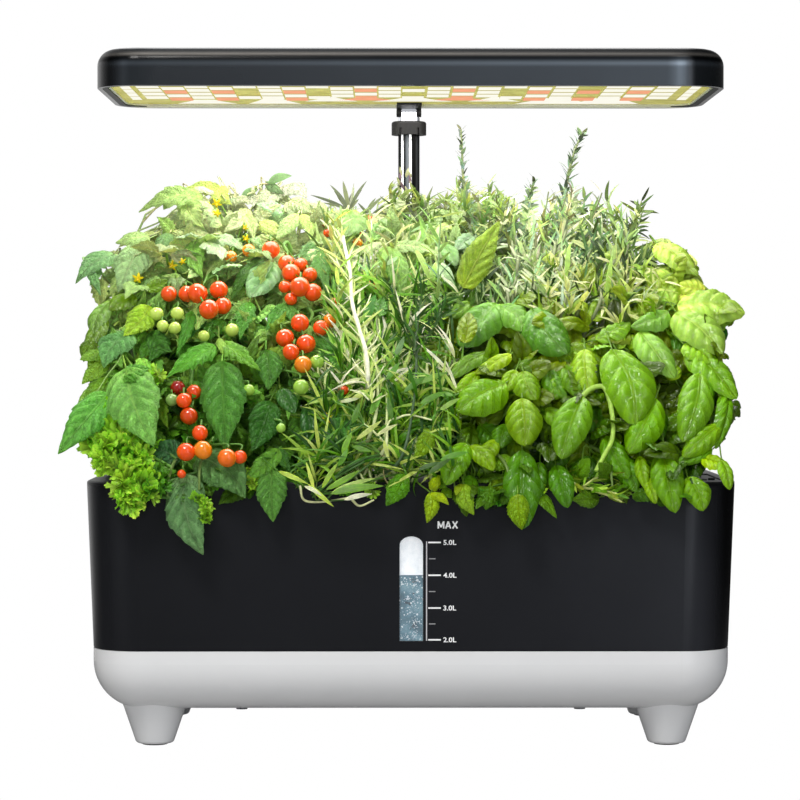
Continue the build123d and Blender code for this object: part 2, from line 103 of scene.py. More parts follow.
def mix_colour(nt, fac, a, b, mode="MIX"):
    n = node(nt, "ShaderNodeMix", data_type="RGBA", blend_type=mode)
    for i, x in ((0, fac), (6, a), (7, b)):
        if isinstance(x, (int, float)):
            n.inputs[i].default_value = x
        elif isinstance(x, tuple):
            n.inputs[i].default_value = (*x, 1.0) if len(x) == 3 else x
        else:
            nt.links.new(x, n.inputs[i])
    return n.outputs[2]


def coords(nt):
    return node(nt, "ShaderNodeTexCoord").outputs["Object"]


def noise(nt, scale, detail=3.0, rough=0.5, vec=None):
    n = node(nt, "ShaderNodeTexNoise")
    n.inputs["Scale"].default_value = scale
    n.inputs["Detail"].default_value = detail
    n.inputs["Roughness"].default_value = rough
    nt.links.new(vec if vec is not None else coords(nt), n.inputs["Vector"])
    return n.outputs["Fac"]


def ramp(nt, fac, *stops):
    n = node(nt, "ShaderNodeValToRGB")
    els = n.color_ramp.elements
    els[0].position, els[1].position = stops[0][0], stops[-1][0]
    for p, _ in stops[1:-1]:
        els.new(p)
    for e, (p, c) in zip(els, stops):
        e.color = (*c, 1.0) if isinstance(c, tuple) else (c, c, c, 1.0)
    nt.links.new(fac, n.inputs[0])
    return n.outputs[0]


def plastic(name, colour, rough=0.4, grain=2500.0, bump=0.15, vary=0.06, spec=0.5, coat=0.0, metal=0.0, rough_vary=0.06):
    """Moulded or painted finish: fine grain in the relief, slow drift in colour and gloss."""
    m, nt, b = new_mat(name)
    slow = noise(nt, 18.0, 4.0)
    lo = tuple(c * (1 - vary) for c in colour)
    hi = tuple(min(1.0, c * (1 + vary)) for c in colour)
    nt.links.new(ramp(nt, slow, (0.3, lo), (0.7, hi)), b.inputs["Base Color"])
    fine = noise(nt, grain, 2.0)
    r = math_node(nt, "MULTIPLY_ADD", slow, rough_vary * 2)
    r.node.inputs[2].default_value = rough - rough_vary
    nt.links.new(r, b.inputs["Roughness"])
    bu = node(nt, "ShaderNodeBump")
    bu.inputs["Strength"].default_value = bump
    bu.inputs["Distance"].default_value = 0.00006
    nt.links.new(fine, bu.inputs["Height"])
    nt.links.new(bu.outputs[0], b.inputs["Normal"])
    b.inputs["Specular IOR Level"].default_value = spec
    b.inputs["Metallic"].default_value = metal
    b.inputs["Coat Weight"].default_value = coat
    b.inputs["Coat Roughness"].default_value = 0.08
    return m


MAT = {
    "tank": plastic("tank_black", srgb(26, 27, 30), 0.25, 3000, 0.12, 0.05, 0.3, 0.0, 0.0, 0.03),
    "deck": plastic("deck_black", srgb(14, 15, 18), 0.38, 3000, 0.25, 0.05, 0.4),
    "tray": plastic("tray_grey", srgb(232, 232, 232), 0.2, 900, 0.05, 0.01, 0.5, 0.35),
    "dark_plastic": plastic("dark_plastic", srgb(20, 20, 22), 0.42, 2500, 0.2, 0.05, 0.3),
    "grey_plastic": plastic("grey_plastic", srgb(88, 89, 92), 0.42, 2500, 0.2, 0.04),
    "white_plastic": plastic("white_plastic", srgb(235, 235, 232), 0.3, 1500, 0.1, 0.02),
    "rubber": plastic("rubber_black", srgb(22, 22, 22), 0.75, 1800, 0.5, 0.08, 0.3),
    "steel": plastic("steel", srgb(168, 168, 170), 0.28, 4000, 0.2, 0.05, 0.5, 0.0, 1.0),
    "chrome": plastic("chrome", srgb(236, 236, 240), 0.09, 4000, 0.03, 0.01, 0.5, 0.0, 1.0, 0.02),
    "black_tube": plastic("black_tube", srgb(8, 8, 10), 0.3, 3500, 0.05, 0.05, 0.07, 0.0, 0.0, 0.03),
    "black_metal": plastic("black_metal", srgb(16, 16, 18), 0.35, 3000, 0.2, 0.05, 0.4),
    "lamp": plastic("lamp_black", srgb(44, 49, 54), 0.18, 3000, 0.12, 0.05, 0.8),
    "board": plastic("led_board", srgb(205, 200, 128), 0.35, 700, 0.1, 0.07),
    "alu": plastic("aluminium", srgb(190, 190, 194), 0.35, 4000, 0.2, 0.05, 0.5, 0.0, 1.0),
    "circuit": plastic("circuit_board", srgb(24, 84, 48), 0.4, 500, 0.3, 0.2),
    "foam": plastic("growing_foam", srgb(62, 44, 30), 0.9, 900, 1.0, 0.35, 0.2),
    "hose": plastic("hose", srgb(150, 155, 158), 0.3, 1500, 0.1, 0.04),
}


def emitter(name, colour, strength, vary=0.1, rim=None):
    """A glowing face; rim is the dimmer tone of a chip's edges, above its underside."""
    m, nt, b = new_mat(name)
    f = noise(nt, 160.0, 2.0)
    lo = tuple(c * (1 - vary) for c in colour)
    col = ramp(nt, f, (0.3, lo), (0.7, colour))
    if rim is not None:
        at = node(nt, "ShaderNodeSeparateXYZ")
        nt.links.new(coords(nt), at.inputs[0])
        col = mix_colour(nt, math_node(nt, "GREATER_THAN", at.outputs[2], 0.35708), col, rim)
    nt.links.new(ramp(nt, f, (0.3, 0.05), (0.7, 0.09)), b.inputs["Base Color"])
    nt.links.new(col, b.inputs["Emission Color"])
    b.inputs["Emission Strength"].default_value = strength
    b.inputs["Roughness"].default_value = 0.5
    b.inputs["Specular IOR Level"].default_value = 0.0
    return m


MAT["led_white"] = emitter("led_white", (1.0, 0.975, 0.86), 0.98, 0.04, srgb(180, 172, 96))
MAT["led_red"] = emitter("led_red", srgb(255, 172, 134), 0.95, 0.1, srgb(206, 160, 96))
MAT["fan_white"] = emitter("light_fan_white", (1.0, 0.975, 0.86), 0.98, 0.04)
MAT["fan_red"] = emitter("light_fan_red", srgb(255, 172, 134), 0.95)

# the board glows a little from the chips around it
m, nt, b = new_mat("led_board_lit")
f = noise(nt, 90.0, 3.0)
col = ramp(nt, f, (0.25, srgb(168, 160, 78)), (0.75, srgb(204, 196, 118)))
nt.links.new(col, b.inputs["Base Color"])
nt.links.new(col, b.inputs["Emission Color"])
b.inputs["Emission Strength"].default_value = 0.62
b.inputs["Roughness"].default_value = 0.5
b.inputs["Specular IOR Level"].default_value = 0.15
MAT["board"] = m

# the lamp's paint carries painted reflections: lighter to the right, painted highlights near the front corners, and a
# painted dark band and a fine painted light line round the upper edge
m = MAT["lamp"]
nt = m.node_tree
b = nt.nodes["Principled BSDF"]
was = b.inputs["Base Color"].links[0].from_socket
place = node(nt, "ShaderNodeSeparateXYZ")
nt.links.new(coords(nt), place.inputs[0])
along = ramp(
    nt, math_node(nt, "MULTIPLY_ADD", place.outputs[0], 2.5),
    (0.0, 0.2), (0.095, 0.1), (0.105, 0.35), (0.1137, 0.75), (0.122, 0.56), (0.16, 0.62), (0.284, 0.74), (0.485, 1.15), (0.753, 1.7), (0.845, 2.0), (0.855, 3.6),
    (0.8605, 5.4), (0.866, 4.6), (0.871, 2.2), (0.8765, 0.5), (0.882, 0.26), (1.0, 0.06),
)
along.node.inputs[0].links[0].from_node.inputs[2].default_value = 0.5
high = math_node(nt, "MULTIPLY_ADD", place.outputs[2], 45.4545)
high.node.inputs[2].default_value = -16.1818
# painted reflection by height: a light band, a dark band and a warm light line round the upper edge
over = ramp(
    nt, high, (0.0, 0.75), (0.03, 1.0), (0.43, 1.02), (0.46, 1.15), (0.49, 1.6), (0.51, 2.1), (0.536, 2.4), (0.56, 2.2), (0.586, 1.6), (0.612, 0.95), (0.637, 0.45), (0.66, 0.25),
    (0.69, 0.2), (0.714, (0.6, 0.5, 0.4)), (0.737, (2.4, 1.8, 1.4)), (0.76, (5.0, 3.9, 3.0)), (0.78, (6.2, 4.7, 3.6)), (0.80, (4.6, 3.6, 2.7)), (0.814, (3.2, 2.5, 2.0)), (0.842, (1.3, 1.1, 0.9)), (0.87, 0.3), (1.0, 0.3),
)
across = along.node.inputs[0].links[0].from_socket
# on the upper edge a softer painted tone across, darker at the ends
thin = ramp(nt, across, (0.0, 0.3), (0.1, 0.35), (0.14, 1.25), (0.5, 1.0), (0.85, 0.7), (0.88, 0.3), (1.0, 0.3))
along = mix_colour(nt, ramp(nt, high, (0.7, 0.0), (0.74, 1.0)), along, thin)
along = mix_colour(nt, math_node(nt, "GREATER_THAN", place.outputs[1], -0.03), along, (1.0, 1.0, 1.0))
gloss = math_node(
    nt, "MULTIPLY", ramp(nt, high, (0.0, 0.8), (0.6, 0.8), (0.64, 0.2), (1.0, 0.2)),
    ramp(nt, across, (0.0, 1.0), (0.085, 1.0), (0.095, 0.4), (0.14, 0.5), (0.16, 1.0), (0.866, 1.0), (0.88, 0.2), (1.0, 0.2)),
)
nt.links.new(gloss, b.inputs["Specular IOR Level"])
nt.links.new(mix_colour(nt, 1.0, mix_colour(nt, 1.0, was, along, "MULTIPLY"), over, "MULTIPLY"), b.inputs["Base Color"])

# painted light: the inner mast tube glows on its front, so that it is bright in its slots; round the back and right its
# colour is painted darker as shade
m = MAT["chrome"]
b = m.node_tree.nodes["Principled BSDF"]
b.inputs["Emission Color"].default_value = (0.9, 0.93, 1.0, 1.0)
nt = m.node_tree
place = node(nt, "ShaderNodeSeparateXYZ")
nt.links.new(coords(nt), place.inputs[0])
limb = math_node(nt, "ARCTAN2", place.outputs[0], math_node(nt, "SUBTRACT", 0.066, place.outputs[1]))
limb = math_node(nt, "MULTIPLY_ADD", limb, 57.29578 / 360.0)
limb.node.inputs[2].default_value = 0.5
nt.links.new(ramp(nt, limb, (0.0, 0.1), (0.5 - 84 / 360, 0.1), (0.5 - 72 / 360, 0.5), (0.5 + 58 / 360, 0.5), (0.5 + 66 / 360, 0.02), (1.0, 0.02)), b.inputs["Emission Strength"])
was = b.inputs["Base Color"].links[0].from_socket
nt.links.new(mix_colour(nt, 1.0, was, ramp(nt, limb, (0.0, 0.4), (0.5 - 84 / 360, 0.4), (0.5 - 72 / 360, 1.0), (0.5 + 58 / 360, 1.0), (0.5 + 66 / 360, 0.06), (0.5 + 100 / 360, 0.06), (0.5 + 110 / 360, 0.4), (1.0, 0.4)), "MULTIPLY"), b.inputs["Base Color"])

# painted reflection and shade on the tank's front: a little lighter to the right, a painted highlight just before the
# right corner and painted shade round it
m = MAT["tank"]
nt = m.node_tree
b = nt.nodes["Principled BSDF"]
was = b.inputs["Base Color"].links[0].from_socket
place = node(nt, "ShaderNodeSeparateXYZ")
nt.links.new(coords(nt), place.inputs[0])
along = ramp(
    nt, math_node(nt, "MULTIPLY_ADD", place.outputs[0], 2.5),
    (0.0, 1.0), (0.1, 0.9), (0.5, 1.05), (0.8, 1.45), (0.87, 1.6), (0.885, 2.1), (0.9, 1.5), (0.92, 0.15), (1.0, 0.15),
)
along.node.inputs[0].links[0].from_node.inputs[2].default_value = 0.5
nt.links.new(mix_colour(nt, 1.0, was, along, "MULTIPLY"), b.inputs["Base Color"])

# painted reflections: the outer mast tube shows two soft grey-blue streaks along its length
m = MAT["black_tube"]
nt = m.node_tree
b = nt.nodes["Principled BSDF"]
place = node(nt, "ShaderNodeSeparateXYZ")
nt.links.new(coords(nt), place.inputs[0])
round_ = math_node(nt, "ARCTAN2", place.outputs[0], math_node(nt, "SUBTRACT", 0.066, place.outputs[1]))
round_ = math_node(nt, "MULTIPLY_ADD", round_, 57.29578 / 360.0)
round_.node.inputs[2].default_value = 0.5
painted_streaks = ramp(
    nt, round_, (0.0, srgb(8, 8, 9)), (0.5 - 70 / 360, srgb(5, 5, 6)), (0.5 - 36 / 360, srgb(8, 8, 9)), (0.5 - 27 / 360, srgb(31, 32, 34)), (0.5 - 21 / 360, srgb(42, 45, 48)), (0.5 - 15.5 / 360, srgb(73, 77, 82)),
    (0.5 - 9.5 / 360, srgb(104, 108, 115)), (0.5 - 4 / 360, srgb(93, 97, 102)), (0.5 + 2 / 360, srgb(60, 64, 68)), (0.5 + 16 / 360, srgb(10, 10, 11)), (0.5 + 30 / 360, srgb(10, 10, 11)), (0.5 + 36 / 360, srgb(16, 17, 18)),
    (0.5 + 42 / 360, srgb(38, 39, 41)), (0.5 + 49 / 360, srgb(45, 47, 50)), (0.5 + 58 / 360, srgb(30, 32, 34)), (0.5 + 66 / 360, srgb(9, 9, 10)), (1.0, srgb(8, 8, 9)),
)
nt.links.new(painted_streaks, b.inputs["Base Color"])

# the bezel's back rim catches the light of the chips
m, nt, b = new_mat("bezel_black")
place = node(nt, "ShaderNodeSeparateXYZ")
nt.links.new(coords(nt), place.inputs[0])
lit = math_node(nt, "GREATER_THAN", place.outputs[1], 0.0655)
f = noise(nt, 900.0, 2.0)
dark = ramp(nt, f, (0.3, srgb(20, 21, 23)), (0.7, srgb(26, 27, 29)))
nt.links.new(mix_colour(nt, lit, dark, srgb(196, 195, 176)), b.inputs["Base Color"])
b.inputs["Emission Color"].default_value = (*srgb(206, 204, 182), 1.0)
nt.links.new(math_node(nt, "MULTIPLY", lit, 0.35), b.inputs["Emission Strength"])
b.inputs["Roughness"].default_value = 0.45
b.inputs["Specular IOR Level"].default_value = 0.3
MAT["bezel"] = m
MAT["collar"] = plastic("collar_black", srgb(26, 26, 27), 0.5, 2500, 0.25, 0.05, 0.25)

# clear window
m, nt, b = new_mat("window_clear")
f = noise(nt, 300.0, 2.0)
nt.links.new(ramp(nt, f, (0.3, 0.03), (0.7, 0.07)), b.inputs["Roughness"])
b.inputs["Base Color"].default_value = (0.9, 0.95, 1.0, 1.0)
b.inputs["Alpha"].default_value = 0.12
b.inputs["Specular IOR Level"].default_value = 0.5
MAT["clear"] = m

slots = {s["node"]: s["material_slot"] for s in frame["record"]["subparts"]}
for name, ob in frame["nodes"].items():
    m = MAT.get(slots[name])
    if m is None:
        continue
    if name == "led_board":
        m = MAT["board"]
    if name == "lamp_bezel":
        m = MAT["bezel"]
    if name in ("lock_collar", "tilt_bracket"):
        m = MAT["collar"]
    for k in range(max(1, len(ob.material_slots))):
        if len(ob.material_slots) == 0:
            ob.data.materials.append(m)
        else:
            ob.material_slots[k].material = m


# ------------------------------------------------------------------ mesh helpers
def build(name, verts, faces, mat, body="garden", smooth=True, uv=None, tint=None, slot=None):
    """A mesh from arrays: verts in mm (N,3), faces (M,4) or (M,3), uv (N,2), tint (N,3) per vertex."""
    verts = np.asarray(verts, float).reshape(-1, 3) * MM
    faces = np.asarray(faces, int)
    k = faces.shape[1]
    me = bpy.data.meshes.new(name)
    me.vertices.add(len(verts))
    me.vertices.foreach_set("co", verts.ravel())
    me.loops.add(faces.size)
    me.loops.foreach_set("vertex_index", faces.ravel())
    me.polygons.add(len(faces))
    me.polygons.foreach_set("loop_start", np.arange(0, faces.size, k))
    me.polygons.foreach_set("loop_total", np.full(len(faces), k))
    me.polygons.foreach_set("use_smooth", np.full(len(faces), smooth))
    if uv is not None:
        layer = me.uv_layers.new(name="UVMap")
        layer.data.foreach_set("uv", np.asarray(uv, float)[faces.ravel()].ravel())
    if tint is not None:
        a = me.attributes.new("tint", "FLOAT_COLOR", "POINT")
        t = np.ones((len(verts), 4))
        t[:, :3] = tint
        a.data.foreach_set("color", t.ravel())
    me.update()
    me.validate()
    ob = bpy.data.objects.new(name, me)
    bpy.context.scene.collection.objects.link(ob)
    me.materials.append(mat)
    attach(ob, body)
    return ob


def unit(v):
    v = np.asarray(v, float)
    return v / np.maximum(np.linalg.norm(v, axis=-1, keepdims=True), 1e-9)


class Pile:
    """Many small surfaces gathered into one mesh."""

    def __init__(self):
        self.v, self.f, self.uv, self.t, self.n = [], [], [], [], 0

    def add(self, verts, faces, uv, tint):
        verts = verts.reshape(-1, 3)
        self.v.append(verts)
        self.f.append(faces + self.n)
        self.uv.append(uv.reshape(-1, 2))
        self.t.append(np.clip(tint.reshape(-1, 3), 0, 1))
        self.n += len(verts)

    def done(self, name, mat, **kw):
        return build(
            name, np.concatenate(self.v), np.concatenate(self.f), mat,
            uv=np.concatenate(self.uv), tint=np.concatenate(self.t), **kw,
        )


def grid_faces(count, nu, nv):
    i = np.arange(nu - 1)[:, None] * nv + np.arange(nv - 1)[None, :]
    q = np.stack([i, i + nv, i + nv + 1, i + 1], -1).reshape(-1, 4)
    return (q[None] + (np.arange(count) * nu * nv)[:, None, None]).reshape(-1, 4)


# ------------------------------------------------------------------ leaf shapes
def outline(kind, s):
    """Half width of the blade along its length, at most 1."""
    if kind == "basil":
        w = np.sin(np.pi * s**0.8) ** 0.56 * (1 - 0.16 * s)
    elif kind == "tomato":
        w = np.sin(np.pi * s**0.66) ** 0.8 * (1 - 0.42 * s)
    elif kind == "broad":
        w = np.sin(np.pi * s**0.62) ** 0.72 * (1 - 0.34 * s)
    elif kind == "mint":
        w = np.sin(np.pi * s**0.72) ** 0.75 * (1 - 0.2 * s)
    elif kind == "lobe":
        w = np.sin(np.pi * np.clip(s, 0, 1) ** 0.9) ** 0.55
    elif kind == "needle":
        w = np.sin(np.pi * np.clip(s, 0.0, 1.0) ** 0.6) ** 0.5
    else:
        w = np.sin(np.pi * s**0.8) ** 0.8
    w = w / w.max()
    return np.maximum(w, 0.02)


SHAPES = {
    #          nu  nv  teeth depth forward veins pucker crease
    "basil": dict(nu=23, nv=13, teeth=0, depth=0.0, forward=0.10, veins=5.0, pucker=0.20, crease=0.14),
    "tomato": dict(nu=31, nv=13, teeth=5, depth=0.24, forward=0.18, veins=6.0, pucker=0.13, crease=0.10),
    "broad": dict(nu=35, nv=15, teeth=7, depth=0.09, forward=0.20, veins=6.0, pucker=0.16, crease=0.12),
    "mint": dict(nu=27, nv=9, teeth=9, depth=0.12, forward=0.12, veins=7.0, pucker=0.09, crease=0.06),
    "lobe": dict(nu=11, nv=11, teeth=0, depth=0.0, forward=0.0, veins=3.0, pucker=0.0, crease=0.0),
    "needle": dict(nu=6, nv=3, teeth=0, depth=0.0, forward=0.0, veins=1.0, pucker=0.0, crease=0.18),
    "blade": dict(nu=10, nv=5, teeth=0, depth=0.0, forward=0.0, veins=1.0, pucker=0.0, crease=0.14),
}


def leaves(pile, kind, base, tip, normal, width, arch=0.1, cup=0.12, wave=0.02, roll=0.0, tint=(0.2, 0.4, 0.05), tipdrop=0.0, rng=RNG):
    """Adds blades from base to tip points (N,3), facing normal, width across. arch lifts the middle off the chord as
    a share of the length; cup bends the edges away from the normal as a share of the width."""
    base, tip, normal = (np.atleast_2d(np.asarray(a, float)) for a in (base, tip, normal))
    N = len(base)
    sh = SHAPES[kind]
    nu, nv = sh["nu"], sh["nv"]
    full = lambda a: np.broadcast_to(np.asarray(a, float), (N,)).copy()[:, None, None]
    width, arch, cup, wave, roll, tipdrop = map(full, (width, arch, cup, wave, roll, tipdrop))
    d = tip - base
    L = np.linalg.norm(d, axis=1)[:, None, None]
    d = unit(d)
    n = normal - (normal * d).sum(1, keepdims=True) * d
    n = unit(n)
    side = np.cross(d, n)
    s = np.linspace(0, 1, nu)[None, :, None]
    t = np.linspace(-1, 1, nv)[None, None, :]
    w = outline(kind, np.linspace(0, 1, nu))[None, :, None]
    ph = rng.uniform(0, 1, (N, 1, 1))
    ph2 = rng.uniform(0, 2 * np.pi, (N, 1, 1))
    if sh["teeth"]:
        k = s * sh["teeth"] + 0.35 * ph + 0.12 * np.sign(t)
        saw = k - np.floor(k)
        tooth = 1 - sh["depth"] * np.where(saw < 0.78, 1 - saw / 0.78, (saw - 0.78) / 0.22) ** 0.9
        big = 1 - sh["depth"] * 0.45 * (0.5 + 0.5 * np.cos(2 * np.pi * (s * sh["teeth"] / 2.3 + ph)))
        edge = np.abs(t) ** 2.2
        w = w * (1 + (tooth * big - 1) * edge * np.minimum(1.0, s * 6))
    half = 0.5 * width * w
    # slight asymmetry and a sideways sweep of the midrib
    sweep = width * rng.normal(0, 0.10, (N, 1, 1)) * 4 * s * (1 - s)
    X = L * s + L * sh["forward"] * (np.abs(t) ** 1.3) * w * (1 - s) * np.minimum(1, s * 5) * 0.9
    Y = half * t + sweep
    mid = arch * L * 4 * s * (1 - s) * (1 - 0.25 * s) - tipdrop * L * s**3
    q = s * sh["veins"] - 1.1 * np.abs(t)
    bulge = sh["pucker"] * width * w * np.abs(np.sin(np.pi * q)) ** 0.9 * (4 * np.abs(t) * (1 - np.abs(t) * 0.85)) * 0.5
    rel = (
        -cup * width * w * t**2
        + bulge
        - sh["crease"] * width * w * (1 - np.abs(t)) ** 2.2
        + (0.028 * width * w * np.sin(2 * np.pi * 5.3 * s + ph2 + 2.0 * t) * np.sin(2 * np.pi * 1.9 * t + ph2) if kind in ("broad", "tomato") else 0.0)
        + wave * width * np.sin(2 * np.pi * (2.2 * s + 0.2 * np.sign(t)) + ph2) * t**2 * np.minimum(1, s * 3)
    )
    Z = mid + rel
    a = roll * (s - 0.3)
    Y, Z = Y * np.cos(a) - (Z - mid) * np.sin(a), mid + (Z - mid) * np.cos(a) + Y * np.sin(a)
    V = base[:, None, None, :] + X[..., None] * d[:, None, None, :] + Y[..., None] * side[:, None, None, :] + Z[..., None] * n[:, None, None, :]
    uv = np.zeros((N, nu, nv, 2))
    uv[..., 0] = s
    uv[..., 1] = 0.5 + 0.5 * t
    tint = np.broadcast_to(np.atleast_2d(np.asarray(tint, float)), (N, 3)).copy()
    if kind in ("basil", "mint", "tomato", "broad"):  # broad leaves stay green, never brown
        tint[:, 0] = np.minimum(tint[:, 0], tint[:, 2] + 0.66 * np.maximum(tint[:, 1] - tint[:, 2], 0.0))
    tint = np.clip(tint - np.array([0.008, 0.006, 0.018]), 0.003, 0.95)[:, None, None, :]
    shade = (1.06 - 0.16 * np.abs(t) + 0.10 * (1 - s) * (1 - np.abs(t)))[..., None]
    shade = shade * (1 + 0.05 * np.sin(7 * s + ph2))[..., None]
    if kind in ("basil", "broad"):  # lighter on the raised quilting between the veins
        # painted light and shade: lighter on the raised quilting, darker in the creases at the veins
        quilt = np.abs(np.sin(np.pi * q)) ** 0.8 * (4 * np.abs(t) * (1 - np.abs(t) * 0.85)) * 0.75
        shade = shade * (0.74 + 0.46 * quilt)[..., None]
    if kind == "basil":  # lighter towards the stalk and on the lit side
        # painted light and shade: lighter towards the stalk and on the lit side, darker towards the tip and the other
        # side
        shade = shade * ((1.14 - 0.32 * s) * (1 + 0.10 * t))[..., None]
    if kind == "blade":  # pale edges
        shade = shade * (0.84 + 0.5 * np.abs(t) ** 2)[..., None]
    # painted shade: the shoots right under the lamp are darkened against its strong light
    near = 1.0 / (1.0 + np.maximum(0.0, base[:, 2] - 290.0) / 45.0)
    shade = shade * near[:, None, None, None]
    col = np.broadcast_to(tint * shade, (N, nu, nv, 3)).copy()
    # the base of a blade and its tip turn a little yellow
    yel = np.clip(1 - 5 * s, 0, 1) * 0.25 + np.clip(s * 4 - 3.2, 0, 1) * 0.12
    yel = np.broadcast_to(yel, (N, nu, nv)) * (0.3 if kind in ("blade", "needle") else 1.0)
    col[..., 0] *= 1 + 0.9 * yel
    col[..., 1] *= 1 + 0.35 * yel
    pile.add(V, grid_faces(N, nu, nv), uv, col)


def frill(pile, base, d, n, size, tint, rng=RNG, ruffle=0.5, spread=1.25):
    """Curled fans for parsley: wedges that open from base along d and ruffle at the rim."""
    base, d, n = (np.atleast_2d(np.asarray(a, float)) for a in (base, d, n))
    N = len(base)
    nu, nv = 8, 47
    d = unit(d)
    n = unit(n - (n * d).sum(1, keepdims=True) * d)
    side = np.cross(d, n)
    size = np.broadcast_to(np.asarray(size, float), (N,))[:, None, None]
    s = np.linspace(0.06, 1, nu)[None, :, None]
    t = np.linspace(-1, 1, nv)[None, None, :]
    ph = rng.uniform(0, 2 * np.pi, (N, 1, 1))
    big = np.abs(np.cos(2.6 * np.pi * t + 0.5 * np.sin(ph))) ** 0.55
    fine = np.abs(np.cos(7.3 * np.pi * t + ph)) ** 0.7
    lobes = 1.0 - 0.36 * (1 - big) - 0.13 * (1 - fine)
    ang = spread * t * (0.8 + 0.2 * s)
    R = size * s * (1 + (lobes - 1) * s**1.3) * (1.0 - 0.12 * t**2)
    X = R * np.cos(ang)
    Y = R * np.sin(ang)
    Z = size * ruffle * s**1.8 * (0.30 * np.sin(6.5 * t + ph) + 0.34 * (big - 0.5)) - size * 0.30 * s**2 * (0.3 + t**2 * 0.4)
    V = base[:, None, None, :] + X[..., None] * d[:, None, None, :] + Y[..., None] * side[:, None, None, :] + Z[..., None] * n[:, None, None, :]
    uv = np.zeros((N, nu, nv, 2))
    uv[..., 0] = s
    uv[..., 1] = 0.5 + 0.5 * t
    tint = np.broadcast_to(np.atleast_2d(np.asarray(tint, float)), (N, 3))[:, None, None, :]
    shade = (0.36 + 0.82 * s**1.2) * (0.6 + 0.5 * big)
    col = tint * shade[..., None]
    pile.add(V, grid_faces(N, nu, nv), uv, np.broadcast_to(col, V.shape))


def smooth_path(points, per=5):
    """Catmull-Rom through the points."""
    p = np.asarray(points, float)
    if len(p) < 3:
        return np.linspace(p[0], p[-1], per + 1)
    e = np.vstack([2 * p[0] - p[1], p, 2 * p[-1] - p[-2]])
    out = []
    for i in range(1, len(e) - 2):
        a, b, c, d = e[i - 1], e[i], e[i + 1], e[i + 2]
        for k in range(per):
            u = k / per
            out.append(0.5 * (2 * b + (c - a) * u + (2 * a - 5 * b + 4 * c - d) * u**2 + (3 * b - 3 * c + d - a) * u**3))
    out.append(p[-1])
    return np.array(out)


def tube(pile, points, r0, r1, tint, sides=7, per=5, knots=0.0):
    path = smooth_path(points, per)
    m = len(path)
    tan = unit(np.gradient(path, axis=0))
    up = np.array([0.31, 0.83, 0.47])
    a = unit(np.cross(tan, up))
    b = np.cross(tan, a)
    ang = np.linspace(0, 2 * np.pi, sides, endpoint=False)
    r = np.linspace(r0, r1, m) * (1 + knots * (np.sin(np.arange(m) * 1.9) > 0.8))
    V = path[:, None, :] + r[:, None, None] * (np.cos(ang)[None, :, None] * a[:, None, :] + np.sin(ang)[None, :, None] * b[:, None, :])
    V = np.concatenate([V, V[:, :1]], 1)
    uv = np.zeros((m, sides + 1, 2))
    uv[..., 0] = np.linspace(0, 1, m)[:, None]
    uv[..., 1] = 0.5
    V2 = V.reshape(-1, 3)
    col = np.broadcast_to(np.asarray(tint, float), (m, sides + 1, 3)) * (0.9 + 0.2 * np.linspace(0, 1, m))[:, None, None]
    pile.add(V2, grid_faces(1, m, sides + 1), uv, col)


